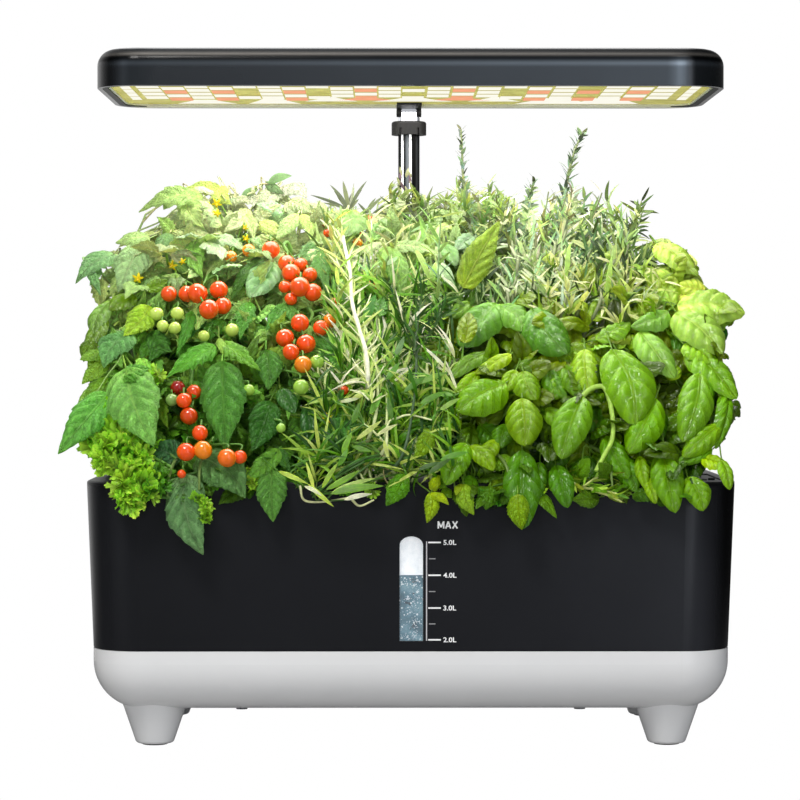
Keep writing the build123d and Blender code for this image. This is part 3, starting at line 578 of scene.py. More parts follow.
# ------------------------------------------------------------------ leaf materials
def leaf_material(name, rough, spec, veins, forward, vein_gain, bump, through=0.28, mottle=240.0, sheen=0.0, coat=0.0, net_gain=0.22, relief=0.0005, cloud=0.27, painted_lamp_glow=0.0):
    m, nt, b = new_mat(name)
    base = node(nt, "ShaderNodeAttribute", attribute_name="tint").outputs["Color"]
    uv = node(nt, "ShaderNodeUVMap", uv_map="UVMap").outputs[0]
    sep = node(nt, "ShaderNodeSeparateXYZ")
    nt.links.new(uv, sep.inputs[0])
    s = sep.outputs[0]
    t = math_node(nt, "ABSOLUTE", math_node(nt, "MULTIPLY_ADD", sep.outputs[1], 2.0))
    t.node.inputs[0].links[0].from_node.inputs[2].default_value = -1.0
    # side veins: lines that leave the midrib and run forward to the edge
    q = math_node(nt, "SUBTRACT", math_node(nt, "MULTIPLY", s, veins), math_node(nt, "MULTIPLY", t, forward))
    wob = noise(nt, 500.0, 2.0)
    q = math_node(nt, "ADD", q, math_node(nt, "MULTIPLY", wob, 0.35))
    fr = math_node(nt, "FRACT", q)
    tri = math_node(nt, "ABSOLUTE", math_node(nt, "SUBTRACT", fr, 0.5))
    side_vein = math_node(nt, "SUBTRACT", 1.0, math_node(nt, "MULTIPLY", tri, 9.0), clamp=True)
    mid = math_node(nt, "SUBTRACT", 1.0, math_node(nt, "MULTIPLY", t, 13.0), clamp=True)
    vein = math_node(nt, "MAXIMUM", math_node(nt, "MULTIPLY", side_vein, 0.55), mid)
    net = node(nt, "ShaderNodeTexVoronoi", feature="DISTANCE_TO_EDGE")
    net.inputs["Scale"].default_value = 520.0
    nt.links.new(coords(nt), net.inputs["Vector"])
    fine = math_node(nt, "SUBTRACT", 1.0, math_node(nt, "MULTIPLY", net.outputs["Distance"], 7.0), clamp=True)
    vein_all = math_node(nt, "MAXIMUM", vein, math_node(nt, "MULTIPLY", fine, net_gain))
    mott = noise(nt, mottle, 4.0, 0.6)
    tone = ramp(nt, mott, (0.28, 0.98 - cloud), (0.72, 0.98 + cloud))
    col = mix_colour(nt, 1.0, base, tone, "MULTIPLY")
    light = mix_colour(nt, 1.0, col, (2.2, 1.6, 2.0), "MULTIPLY")
    col = mix_colour(nt, math_node(nt, "MULTIPLY", vein_all, vein_gain), col, light)
    nt.links.new(col, b.inputs["Base Color"])
    height = math_node(nt, "SUBTRACT", math_node(nt, "MULTIPLY", mott, 0.6), vein_all)
    bu = node(nt, "ShaderNodeBump")
    bu.inputs["Strength"].default_value = bump
    bu.inputs["Distance"].default_value = relief
    nt.links.new(height, bu.inputs["Height"])
    nt.links.new(bu.outputs[0], b.inputs["Normal"])
    rr = math_node(nt, "MULTIPLY_ADD", mott, 0.2)
    rr.node.inputs[2].default_value = rough - 0.1
    nt.links.new(rr, b.inputs["Roughness"])
    b.inputs["Specular IOR Level"].default_value = spec
    b.inputs["Coat Weight"].default_value = coat
    b.inputs["Coat Roughness"].default_value = 0.25
    b.inputs["Sheen Weight"].default_value = sheen
    # painted light: leaves glow more the higher they sit, close under the lamp
    if painted_lamp_glow:  # bleached by the light close under the lamp
        at = node(nt, "ShaderNodeSeparateXYZ")
        nt.links.new(coords(nt), at.inputs[0])
        nt.links.new(mix_colour(nt, 0.4, col, (0.8, 0.78, 0.62)), b.inputs["Emission Color"])
        lift = math_node(nt, "MULTIPLY_ADD", at.outputs[2], 20.0)
        lift.node.inputs[2].default_value = -5.0
        nt.links.new(ramp(nt, lift, (0.0, 0.0), (1.0, painted_lamp_glow)), b.inputs["Emission Strength"])
    tr = node(nt, "ShaderNodeBsdfTranslucent")
    glow = mix_colour(nt, 1.0, col, (1.35, 1.3, 0.6), "MULTIPLY")
    nt.links.new(glow, tr.inputs["Color"])
    mix = node(nt, "ShaderNodeMixShader")
    mix.inputs[0].default_value = through
    nt.links.new(b.outputs[0], mix.inputs[1])
    nt.links.new(tr.outputs[0], mix.inputs[2])
    nt.links.new(mix.outputs[0], nt.nodes["Material Output"].inputs["Surface"])
    return m


LEAF_TOMATO = leaf_material("leaf_tomato", 0.42, 0.36, 6.0, 1.1, 0.6, 1.0, 0.18, 300.0, net_gain=0.42, relief=0.0009, painted_lamp_glow=0.15)
LEAF_BASIL = leaf_material("leaf_basil", 0.2, 0.5, 5.0, 1.1, 0.42, 0.8, 0.14, 180.0, coat=0.12, relief=0.0007, cloud=0.12)
LEAF_FRILL = leaf_material("leaf_parsley", 0.34, 0.5, 3.0, 0.2, 0.3, 0.6, 0.26, 300.0, cloud=0.15)
LEAF_NARROW = leaf_material("leaf_narrow", 0.42, 0.45, 0.0, 0.0, 0.55, 0.3, 0.25, 300.0, painted_lamp_glow=0.08)
STEM = leaf_material("stem_green", 0.45, 0.4, 0.0, 0.0, 0.0, 0.5, 0.0, 400.0)


def vary(colour, n, spread=0.16, rng=RNG, warm=0.10):
    c = np.broadcast_to(np.asarray(colour, float), (n, 3)).copy()
    k = np.exp(rng.normal(0, spread, (n, 1)))
    c = c * k
    c[:, 0] *= np.exp(rng.normal(0, warm, n) * 1.4)
    c[:, 2] *= np.exp(rng.normal(0, warm, n) * 1.6)
    return c


# colours by plant, from light to deep
C = {
    "tom_mid": srgb(92, 150, 52),
    "tom_deep": srgb(52, 104, 40),
    "tom_painted_shade": srgb(28, 66, 26),
    "tom_grey": srgb(84, 124, 78),
    "tom_pale": srgb(158, 196, 118),
    "tom_white": srgb(206, 224, 178),
    "lime": srgb(168, 206, 60),
    "lime2": srgb(150, 186, 34),
    "bas_light": srgb(160, 205, 56),
    "bas_mid": srgb(116, 172, 34),
    "bas_deep": srgb(70, 128, 18),
    "bas_painted_shade": srgb(40, 88, 10),
    "par_light": srgb(186, 226, 70),
    "par_mid": srgb(146, 200, 48),
    "par_dark": srgb(92, 152, 34),
    "tar_light": srgb(196, 222, 112),
    "tar_pale": srgb(226, 234, 178),
    "tar_mid": srgb(128, 172, 60),
    "tar_deep": srgb(66, 112, 36),
    "ros_grey": srgb(190, 208, 176),
    "ros_blue": srgb(124, 148, 130),
    "ros_mid": srgb(164, 192, 132),
    "ros_dark": srgb(104, 136, 92),
    "olive": srgb(142, 164, 98),
    "olive_dark": srgb(88, 112, 58),
    "tan": srgb(182, 200, 144),
    "stem": srgb(150, 186, 90),
    "stem_pale": srgb(216, 228, 158),
}


# ------------------------------------------------------------------ window, scale and lamp details
def front_y(z):
    return -(94.0 + 3.0 * (z - 53.4) / 89.6)


def ink(name, colour, rough):
    m, nt, b = new_mat(name)
    f = noise(nt, 900.0, 3.0)
    lo = tuple(c * 0.9 for c in colour)
    nt.links.new(ramp(nt, f, (0.35, lo), (0.6, colour)), b.inputs["Base Color"])
    nt.links.new(ramp(nt, f, (0.2, rough), (0.8, rough + 0.12)), b.inputs["Roughness"])
    bu = node(nt, "ShaderNodeBump")
    bu.inputs["Strength"].default_value = 0.12
    bu.inputs["Distance"].default_value = 0.00005
    nt.links.new(f, bu.inputs["Height"])
    nt.links.new(bu.outputs[0], b.inputs["Normal"])
    # painted light: the print glows a little
    b.inputs["Emission Color"].default_value = (*colour, 1.0)
    b.inputs["Emission Strength"].default_value = 0.12
    return m


INK_WHITE = ink("print_white", srgb(240, 240, 240), 0.35)
INK_RULE = ink("print_rule", srgb(196, 196, 198), 0.35)
INK_GREY = ink("print_grey", srgb(150, 150, 152), 0.35)


def bars(name, spans, mat, lift=0.16, sink=0.3):
    """Raised print on the tank's front: one thin closed bar for each (x0, x1, z0, z1)."""
    V, F = [], []
    for x0, x1, z0, z1 in spans:
        k = len(V)
        for z in (z0, z1):
            for x, dy in ((x0, -lift), (x1, -lift), (x1, sink), (x0, sink)):
                V.append((x, front_y(z) + dy, z))
        F += [(k, k + 1, k + 5, k + 4), (k + 1, k + 2, k + 6, k + 5), (k + 2, k + 3, k + 7, k + 6), (k + 3, k, k + 4, k + 7)]
        F += [(k + 3, k + 2, k + 1, k), (k + 4, k + 5, k + 6, k + 7)]
    return build(name, V, F, mat, smooth=False, slot="white_plastic")


bars("scale_rule", [(7.8, 8.4, 59.2, 112.2)], INK_RULE)
bars("scale_major_ticks", [(9.0, 15.7, z - 0.4, z + 0.4) for z in (111.7, 94.2, 76.7, 59.7)], INK_WHITE)
bars("scale_minor_ticks", [(9.4, 12.8, z - 0.26, z + 0.26) for z in (103.0, 85.5, 68.2)], INK_GREY)


def words(name, text, x, z, height, stretch=1.0, bold=0.0):
    cu = bpy.data.curves.new(name + "_curve", "FONT")
    cu.body = text
    cu.size = 1.0
    cu.offset = bold
    cu.extrude = 0.02
    cu.resolution_u = 4
    tmp = bpy.data.objects.new(name + "_tmp", cu)
    bpy.context.scene.collection.objects.link(tmp)
    bpy.context.view_layer.update()
    me = bpy.data.meshes.new_from_object(tmp.evaluated_get(bpy.context.evaluated_depsgraph_get()))
    bpy.data.objects.remove(tmp)
    bpy.data.curves.remove(cu)
    co = np.zeros(len(me.vertices) * 3)
    me.vertices.foreach_get("co", co)
    co = co.reshape(-1, 3)
    lo, hi = co.min(0), co.max(0)
    k = height / (hi[1] - lo[1])
    X = x + (co[:, 0] - lo[0]) * k * stretch
    Z = z + (co[:, 1] - lo[1]) * k
    d = np.where(co[:, 2] > 0, -0.16, 0.25)
    P = np.stack([X, front_y(Z) + d, Z], 1) * MM
    me.vertices.foreach_set("co", P.ravel())
    me.materials.clear()
    me.materials.append(INK_WHITE)
    me.update()
    ob = bpy.data.objects.new(name, me)
    bpy.context.scene.collection.objects.link(ob)
    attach(ob, "garden")
    return ob


for label, z in (("5.0L", 111.7), ("4.0L", 94.2), ("3.0L", 76.7), ("2.0L", 59.7)):
    words("scale_" + label.replace(".", "_"), label, 17.0, z - 1.35, 2.7, 1.12, 0.02)


def letters(name, glyphs, x, z, height, stroke):
    """Letters of straight strokes: for each glyph its width and its strokes (x0, z0, x1, z1) as shares of the height."""
    V, F = [], []
    k = 0
    for wide, strokes in glyphs:
        for x0, z0, x1, z1 in strokes:
            a, b_ = np.array([x + x0 * height, z + z0 * height]), np.array([x + x1 * height, z + z1 * height])
            t = unit(b_ - a)
            q = np.array([-t[1], t[0]]) * stroke / 2
            k += 1
            base_i = len(V)
            for p in (a - q, b_ - q, b_ + q, a + q):
                V.append((p[0], front_y(p[1]) - 0.16 - 0.004 * k, p[1]))
            for p in (a - q, b_ - q, b_ + q, a + q):
                V.append((p[0], front_y(p[1]) + 0.3, p[1]))
            i = base_i
            F += [(i, i + 1, i + 2, i + 3), (i + 7, i + 6, i + 5, i + 4), (i, i + 4, i + 5, i + 1), (i + 1, i + 5, i + 6, i + 2), (i + 2, i + 6, i + 7, i + 3), (i + 3, i + 7, i + 4, i)]
        x += (wide + 0.29) * height
    return build(name, V, F, INK_WHITE, smooth=False, slot="white_plastic")


letters("scale_max", [
    (0.78, [(0.0, -0.02, 0.0, 1.02), (0.02, 0.98, 0.39, 0.16), (0.76, 0.98, 0.39, 0.16), (0.78, -0.02, 0.78, 1.02)]),
    (0.70, [(0.0, -0.02, 0.35, 1.0), (0.70, -0.02, 0.35, 1.0), (0.15, 0.3, 0.55, 0.3)]),
    (0.68, [(0.0, -0.02, 0.68, 1.02), (0.68, -0.02, 0.0, 1.02)]),
], 14.3, 119.2, 3.7, 0.8)


# the level tube behind the window: a white channel with water up to the fourth litre
def window_ring(grow, n=24):
    pts = [(-6.2 - grow, 59.1 - grow), (6.2 + grow, 59.1 - grow)]
    for k in range(n + 1):
        a = math.pi * k / n
        pts.append(((6.2 + grow) * math.cos(a), 110.0 + (4.8 + grow) * math.sin(a)))
    return pts


def window_plate(name, ring, depth, thick, mat):
    n = len(ring)
    V = [(x, front_y(z) + depth, z) for x, z in ring] + [(x, front_y(z) + depth + thick, z) for x, z in ring]
    me = bpy.data.meshes.new(name)
    faces = [tuple(range(n))[::-1], tuple(range(n, 2 * n))] + [(k, (k + 1) % n, n + (k + 1) % n, n + k) for k in range(n)]
    me.from_pydata([tuple(c * MM for c in v) for v in V], [], faces)
    me.materials.append(mat)
    me.update()
    ob = bpy.data.objects.new(name, me)
    bpy.context.scene.collection.objects.link(ob)
    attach(ob, "garden")
    return ob


m, nt, b = new_mat("channel_white")
f = noise(nt, 220.0, 3.0)
col = ramp(nt, f, (0.3, srgb(225, 230, 234)), (0.7, srgb(250, 251, 252)))
nt.links.new(col, b.inputs["Base Color"])
# painted light: the white channel glows a little, so that it stays bright behind the lens
nt.links.new(col, b.inputs["Emission Color"])
b.inputs["Emission Strength"].default_value = 0.33
b.inputs["Roughness"].default_value = 0.3
window_plate("level_channel", window_ring(0.0), 1.9, 0.4, m)

m, nt, b = new_mat("level_water")
co = coords(nt)
sep = node(nt, "ShaderNodeSeparateXYZ")
nt.links.new(co, sep.inputs[0])
drift = noise(nt, 120.0, 4.0, 0.6)
deep = ramp(nt, drift, (0.25, srgb(46, 82, 96)), (0.5, srgb(80, 122, 138)), (0.78, srgb(134, 174, 184)))
cell = node(nt, "ShaderNodeTexVoronoi", feature="F1")
cell.inputs["Scale"].default_value = 620.0
nt.links.new(co, cell.inputs["Vector"])
size = node(nt, "ShaderNodeSeparateColor")
nt.links.new(cell.outputs["Color"], size.inputs[0])
edge = math_node(nt, "MULTIPLY", size.outputs[0], 0.42)
bub = math_node(nt, "LESS_THAN", cell.outputs["Distance"], edge)
pick = math_node(nt, "GREATER_THAN", size.outputs[1], 0.45)
bub = math_node(nt, "MULTIPLY", bub, pick)
col = mix_colour(nt, math_node(nt, "MULTIPLY", bub, 0.85), deep, srgb(226, 236, 240))
speck = math_node(nt, "LESS_THAN", noise(nt, 420.0, 1.0), 0.27)
col = mix_colour(nt, math_node(nt, "MULTIPLY", speck, 0.8), col, srgb(30, 42, 52))
nt.links.new(col, b.inputs["Base Color"])
# painted light: the water glows a little
nt.links.new(col, b.inputs["Emission Color"])
b.inputs["Emission Strength"].default_value = 0.12
b.inputs["Roughness"].default_value = 0.12
b.inputs["Coat Weight"].default_value = 0.6
window_plate("level_water", [(-6.2, 59.1), (6.2, 59.1), (6.2, 94.2), (-6.2, 94.2)], 1.2, 0.5, m)
bub_pile = Pile()


def ball(pile, centre, r, tint, nu=9, nv=13, squash=(1, 1, 1)):
    th = np.linspace(0, np.pi, nu)[:, None]
    ph = np.linspace(0, 2 * np.pi, nv)[None, :]
    P = np.stack([np.sin(th) * np.cos(ph) * squash[0], np.sin(th) * np.sin(ph) * squash[1], np.cos(th) * squash[2] + 0 * ph], -1)
    uv = np.zeros((nu, nv, 2))
    pile.add(np.asarray(centre) + P * r, grid_faces(1, nu, nv), uv, np.broadcast_to(np.asarray(tint, float), (nu, nv, 3)))


for _ in range(210):
    if RNG.uniform() < 0.4:
        x, z = RNG.normal(1.8, 1.2), RNG.uniform(60.5, 91)
    else:
        x, z = RNG.uniform(-5.6, 5.6), 60.0 + 33 * RNG.uniform(0, 1) ** 1.8
    if abs(x) < 5.8:
        ball(bub_pile, (x, front_y(z) + 1.1, z), RNG.uniform(0.08, 0.26), (0.9, 0.94, 0.96), 5, 7)
grit = Pile()
for cx, cz, n_ in ((1.4, 91.2, 26), (1.4, 67.6, 18)):
    for _ in range(n_):
        ball(grit, (cx + RNG.normal(0, 0.9), front_y(cz) + 1.05, cz + RNG.normal(0, 1.0)), RNG.uniform(0.12, 0.34), (0.05, 0.08, 0.1), 5, 7)
m, nt, b = new_mat("water_bubble")
f = noise(nt, 1500.0, 2.0)
nt.links.new(ramp(nt, f, (0.3, srgb(206, 220, 228)), (0.7, srgb(246, 250, 252))), b.inputs["Base Color"])
b.inputs["Roughness"].default_value = 0.1
# painted light: the bubbles glow a little
b.inputs["Emission Color"].default_value = (0.8, 0.9, 1.0, 1.0)
b.inputs["Emission Strength"].default_value = 0.15
bub_pile.done("level_bubbles", m, slot="clear")
m, nt, b = new_mat("water_grit")
f = noise(nt, 1500.0, 2.0)
nt.links.new(ramp(nt, f, (0.3, srgb(22, 34, 44)), (0.7, srgb(48, 66, 78))), b.inputs["Base Color"])
b.inputs["Roughness"].default_value = 0.4
grit.done("level_grit", m, slot="clear")

# light that spreads over the board behind the last rows of chips: a fan for each of these columns
FANS = [  # x at its narrow end, half width there, half width at the back, front y, back y, red
    (-117.6, 6.0, 17.0, 36.0, 62.0, 0), (-78.4, 6.0, 15.0, 30.0, 62.0, 0), (-45.0, 2.0, 15.0, 16.0, 46.0, 0),
    (-25.0, 6.5, 19.0, 24.0, 40.0, 1), (1.8, 7.0, 23.0, 24.0, 47.0, 0), (28.7, 6.5, 19.0, 24.0, 40.0, 1),
    (49.0, 2.0, 15.0, 16.0, 46.0, 0), (84.0, 8.5, 22.0, 24.0, 63.0, 0), (114.0, 8.5, 20.0, 24.0, 63.0, 0),
]
for k, (x, h0, h1, y0, y1, red) in enumerate(FANS):
    n = 9
    V = []
    for i in range(n):
        t = i / (n - 1)
        h = h0 + (h1 - h0) * t**1.35
        y = y0 + (y1 - y0) * t
        V += [(x - h, y, 357.62), (x + h, y, 357.62)]
    for i in range(n):
        V += [(V[2 * i][0], V[2 * i][1], 357.72), (V[2 * i + 1][0], V[2 * i + 1][1], 357.72)]
    F = []
    for i in range(n - 1):
        a, c = 2 * i, 2 * n + 2 * i
        F += [(a, a + 2, a + 3, a + 1), (c, c + 1, c + 3, c + 2), (a, c, c + 2, a + 2), (a + 1, a + 3, c + 3, c + 1)]
    F += [(0, 1, 2 * n + 1, 2 * n), (2 * n - 2, 4 * n - 2, 4 * n - 1, 2 * n - 1)]
    build(f"light_fan_{k}", V, F, MAT["fan_red"] if red else MAT["fan_white"], body="lamp", smooth=False, slot="led_red" if red else "led_white")

# white glide strips that fill the outer mast tube's two slots; they glow, painted light
m, nt, b = new_mat("glide_white")
f = noise(nt, 700.0, 2.0)
col = ramp(nt, f, (0.3, srgb(236, 238, 242)), (0.7, srgb(252, 252, 254)))
nt.links.new(col, b.inputs["Base Color"])
nt.links.new(col, b.inputs["Emission Color"])
b.inputs["Emission Strength"].default_value = 0.7
b.inputs["Roughness"].default_value = 0.35
for label, a0, a1 in (("left", -45.8, -33.0), ("right", 0.8, 13.0)):
    n = 7
    ring = []
    for k in range(n):
        a = math.radians(a0 + (a1 - a0) * k / (n - 1))
        ring.append((math.sin(a), -math.cos(a)))
    V, F = [], []
    for z in (157.6, 339.5):
        V += [(6.3 * c, 66.0 + 6.3 * s_, z) for c, s_ in ring] + [(5.5 * c, 66.0 + 5.5 * s_, z) for c, s_ in ring[::-1]]
    for k in range(2 * n):
        q = (k + 1) % (2 * n)
        F.append((k, q, 2 * n + q, 2 * n + k))
    for k in range(n - 1):
        F += [(k, 2 * n - 1 - k, 2 * n - 2 - k, k + 1), (2 * n + k, 2 * n + k + 1, 4 * n - 2 - k, 4 * n - 1 - k)]
    build("mast_glide_" + label, V, F, m, smooth=False, slot="white_plastic")

# ------------------------------------------------------------------ plants: shared helpers
def rgb(*c):
    return srgb(*c)


PODS = [(x, y) for x in (-118.0, -42.0, 42.0, 118.0) for y in (-58.0, -4.0, 50.0)]


def surf(v):
    """Depth of the crowns' front face at a height of v in the picture."""
    return np.interp(v, [150, 190, 230, 300, 350, 400, 450, 482, 500, 560], [50, 32, 8, -32, -58, -78, -92, -101, -106, -109])


# the crowns' outline as the camera sees it; filling leaves stay inside it
EDGE = np.array([
    (122, 514), (113, 500), (112, 486), (98, 478), (88, 464), (84, 446), (80, 420), (88, 380), (90, 350), (92, 330), (95, 312), (104, 298), (92, 286), (80, 274), (84, 262),
    (100, 251), (118, 241), (134, 231), (152, 228), (164, 217), (174, 222), (180, 218), (172, 209), (158, 206), (140, 210), (138, 206), (152, 199), (168, 195), (186, 194), (188, 183), (222, 181), (262, 182), (280, 181), (294, 180), (302, 190),
    (314, 198), (330, 205), (350, 207), (372, 206), (386, 194), (390, 182), (396, 170), (404, 162), (411, 176), (420, 190), (434, 192), (454, 180), (457, 134), (466, 134),
    (474, 176), (490, 178), (508, 196), (524, 186), (532, 178), (542, 192), (560, 182), (574, 140), (588, 140), (594, 184), (606, 200),
    (642, 200), (640, 222), (650, 243), (684, 245), (696, 262), (700, 285), (738, 296), (742, 312), (722, 326), (724, 348), (737, 372),
    (737, 400), (731, 425), (722, 440), (710, 450), (696, 460), (688, 470), (688, 490), (698, 506), (660, 508), (600, 500), (524, 524), (432, 518), (390, 503), (334, 506),
    (262, 518), (205, 540), (158, 504), (138, 504), (133, 515),
], float)


def inside(p):
    """True for points (N,3) that the camera sees within the outline."""
    p = np.atleast_2d(p)
    k = 2922.0 / (p[:, 1] + 1647.0)
    u, v = 385.0 + k * (p[:, 0] + 14.0), 348.0 - k * (p[:, 2] - 215.0)
    a, b = EDGE, np.roll(EDGE, -1, axis=0)
    hit = np.zeros(len(p), bool)
    for (x0, y0), (x1, y1) in zip(a, b):
        if y0 == y1:
            continue
        cross = (v > min(y0, y1)) & (v <= max(y0, y1)) & (u < x0 + (v - y0) * (x1 - x0) / (y1 - y0))
        hit ^= cross
    return hit


def tone(kind, v, rng, n=1):
    """Leaf colours by height in the picture, with painted light and shade: bleached pale near the lamp, deep and darker
    low down.
    """
    table = {
        "tomato": ([180, 230, 290, 350, 420, 500], [(196, 210, 168), (178, 202, 140), (160, 198, 110), (132, 186, 76), (94, 150, 56), (76, 124, 46)]),
        "basil": ([240, 300, 350, 400, 450, 510], [(198, 218, 110), (178, 208, 70), (152, 192, 42), (134, 176, 26), (100, 148, 18), (80, 126, 12)]),
        "tarragon": ([180, 230, 300, 360, 420, 500], [(172, 190, 132), (170, 196, 130), (134, 178, 86), (104, 160, 52), (88, 146, 38), (70, 122, 28)]),
        "rosemary": ([130, 200, 260, 320, 420, 500], [(160, 180, 158), (190, 208, 172), (190, 210, 158), (160, 190, 116), (96, 136, 64), (66, 104, 44)]),
    }[kind]
    stops = np.array([rgb(*c) for c in table[1]])
    v = np.full(n, v, float)
    c = np.stack([np.interp(v, table[0], stops[:, k]) for k in range(3)], 1)
    c *= np.exp(rng.normal(0.0 if v[0] < 250 else -0.03, 0.17 if v[0] < 250 else 0.28, (n, 1)))
    c[:, 0] *= np.exp(rng.normal(0, 0.12, n))
    return c


def seen_v(p):
    return 348.0 - 2922.0 * (p[2] - 215.0) / (p[1] + 1647.0)


def over_port(points):
    """True where a stalk would cross the swing of the filling hatch."""
    q = smooth_path(np.array(points, float), 8)
    return bool(((q[:, 0] > 134) & (q[:, 0] < 180) & (q[:, 1] > 24) & (q[:, 1] < 84) & (q[:, 2] > 140) & (q[:, 2] < 192)).any())


class Plant:
    def __init__(self, pods, seed):
        self.pods = np.array(pods, float)
        self.leaf, self.stem = {}, Pile()
        self.rng = np.random.default_rng(seed)
        self.mains = []
        self.hue = np.array([1.0, 1.0, 1.0])
        self.twig = None

    def pile(self, key):
        return self.leaf.setdefault(key, Pile())

    def main(self, points, r0=1.9, r1=0.8, tint=None, sides=7):
        points = np.array(points, float)
        for p in points:  # keep the stem inside the crown
            if p[2] > 160:
                p[1] = max(p[1], float(surf(seen_v(p))) + 22)
        path = smooth_path(points, 6)
        self.mains.append(path)
        tube(self.stem, points, r0, r1, np.asarray(C["stem"]) * 0.45 if tint is None else tint, sides, 6, knots=0.18)
        return path

    def anchor(self, p):
        """The nearest point of a main stem that lies below p."""
        best, bd = None, 1e9
        for path in self.mains:
            d = np.linalg.norm((path - p) * (1, 1, 0.7), axis=1) + np.where(path[:, 2] > p[2] - 3, 40, 0)
            i = int(np.argmin(d))
            if d[i] < bd:
                best, bd = path[i], d[i]
        return best

    def petiole(self, p, d=None, r=0.55, tint=None, sag=0.0):
        a = self.anchor(p)
        gap = np.linalg.norm(p - a)
        if gap < 1:
            return
        m = 0.5 * (a + p) + (0, 3.0, gap * 0.10 - sag)
        q = p + (0, min(14.0, 0.3 * gap), 0.06 * gap)
        if d is not None:
            q = q - unit(d) * min(9.0, gap * 0.25)
        if tint is None:
            tint = self.twig if self.twig is not None else tone("tomato", seen_v(p), self.rng)[0] * (0.95, 0.85, 0.8)
        c = tint
        if over_port([a, m, q, p]):
            m = m + (0, 0, max(0.0, 202.0 - m[2]))
            q = q + (0, 0, 6)
            if over_port([a, m, q, p]):
                return False
        tube(self.stem, [a, m, q, p], r * 1.2, r * 0.75, c, 5, 4)
        return True


def hero(plant, kind, u0, v0, u1, v1, w, colour, dy=0.0, face=(0, -0.9, 0.4), arch=0.10, cup=0.14, wave=0.02, lean=6.0, key=None, stalk=True, roll=0.0, drop=0.0):
    """One leaf from picture place (u0, v0) to (u1, v1), w units wide there, lean mm nearer at its tip."""
    y0 = float(surf(v0)) + dy
    y1 = float(surf(v1)) + dy - lean * 0.3
    y1 = min(max(y1, y0 - 26), y0 + 14)
    a, b = spot(u0, v0, y0), spot(u1, v1, y1)
    d = unit(b - a)
    n = unit(np.asarray(face, float))
    n = unit(n - (n @ d) * d)
    side = np.cross(d, n)
    flat = max(0.5, math.hypot(side[0], side[2]))
    width = w * (0.5 * (y0 + y1) + 1647.0) / 2922.0 / flat
    c = np.clip(np.asarray(colour, float) * plant.rng.uniform(0.93, 1.07) * plant.hue, 0, 1)
    leaves(plant.pile(key or kind), kind, a, b, n, width, arch, cup, wave, roll, c, drop, plant.rng)
    if stalk:
        plant.petiole(a, d)


def uvpath(*pts, dy=0.0, own=None):
    return [spot(u, v, (own if own is not None else float(surf(v))) + dy) for u, v in pts]


# ------------------------------------------------------------------ tomato
tom = Plant([p for p in PODS if p[0] == -118.0], 3)
tom.hue = np.array([1.0, 0.99, 1.04])
tom.main([(-118, -58, 140), (-122, -62, 175), (-116, -52, 215), (-104, -40, 258), (-92, -28, 286)])
tom.main([(-118, -4, 140), (-112, -2, 190), (-98, 6, 245), (-88, 10, 300)])
tom.main([(-118, 50, 140), (-124, 58, 185), (-132, 60, 235), (-126, 58, 286)])
tom.main([(-120, -60, 168), (-142, -66, 190), (-158, -62, 226), (-166, -48, 258)], 1.4, 0.6)
tom.main([(-112, -2, 180), (-84, -46, 205), (-70, -50, 240), (-64, -40, 268)], 1.4, 0.6)
tom.main([(-120, -6, 190), (-150, 6, 226), (-160, 14, 262), (-152, 18, 292)], 1.4, 0.6)

T = []
A = T.append
# kind, base u v, tip u v, width, colour, options
# the listed colours carry painted light and shade: pale near the lamp, darker low down
A(("tomato", 222, 190, 184, 189, 19, rgb(190, 222, 104), dict(face=(0, -0.65, 0.75), arch=0.16, dy=8)))
A(("mint", 222, 186, 232, 205, 19, rgb(196, 226, 100), dict(arch=0.14)))
A(("tomato", 203, 197, 139, 207, 27, rgb(160, 202, 108), dict(face=(0.1, -0.75, 0.65), arch=0.22, drop=0.12)))
A(("tomato", 186, 198, 204, 228, 30, rgb(178, 212, 118), dict(dy=2)))
A(("mint", 172, 199, 164, 210, 12, rgb(156, 200, 98), dict()))
A(("tomato", 173, 232, 157, 217, 16, rgb(146, 190, 90), dict(dy=4)))
A(("mint", 150, 236, 116, 243, 20, rgb(150, 188, 108), dict(face=(0, -0.6, 0.8), arch=0.15)))
A(("broad", 140, 244, 119, 292, 36, rgb(150, 190, 124), dict(dy=-3, arch=0.08, wave=0.05)))
A(("mint", 148, 249, 140, 276, 20, rgb(166, 200, 132), dict(dy=4)))
A(("broad", 114, 254, 76, 280, 25, rgb(128, 180, 114), dict(dy=-2, face=(-0.1, -0.9, 0.5), arch=0.2, drop=0.1)))
A(("mint", 86, 266, 101, 296, 11, rgb(116, 170, 100), dict(arch=0.12)))
A(("mint", 98, 264, 90, 286, 12, rgb(118, 172, 100), dict(dy=1)))
A(("mint", 170, 233, 158, 254, 18, rgb(104, 148, 84), dict(dy=2)))
A(("tomato", 196, 240, 203, 278, 28, rgb(134, 190, 84), dict(arch=0.1)))
A(("tomato", 205, 241, 245, 251, 18, rgb(172, 206, 150), dict(face=(0, -0.55, 0.8), arch=0.2)))
A(("basil", 136, 296, 109, 310, 20, rgb(112, 152, 42), dict(face=(-0.2, -0.8, 0.5))))
A(("basil", 146, 290, 168, 280, 14, rgb(116, 158, 48), dict()))
A(("broad", 150, 306, 124, 336, 31, rgb(172, 222, 66), dict(dy=-5, arch=0.06, face=(-0.1, -1, 0.25))))
A(("broad", 130, 333, 104, 368, 34, rgb(112, 174, 96), dict(dy=-4, face=(0, -0.85, 0.6), arch=0.14)))
A(("basil", 121, 330, 104, 341, 14, rgb(96, 136, 66), dict(face=(-0.2, -0.6, 0.8))))
A(("tomato", 114, 326, 93, 338, 17, rgb(60, 100, 40), dict(dy=6)))
A(("mint", 97, 338, 84, 362, 18, rgb(96, 136, 34), dict(dy=3)))
A(("broad", 150, 332, 172, 352, 24, rgb(78, 134, 56), dict(dy=3)))
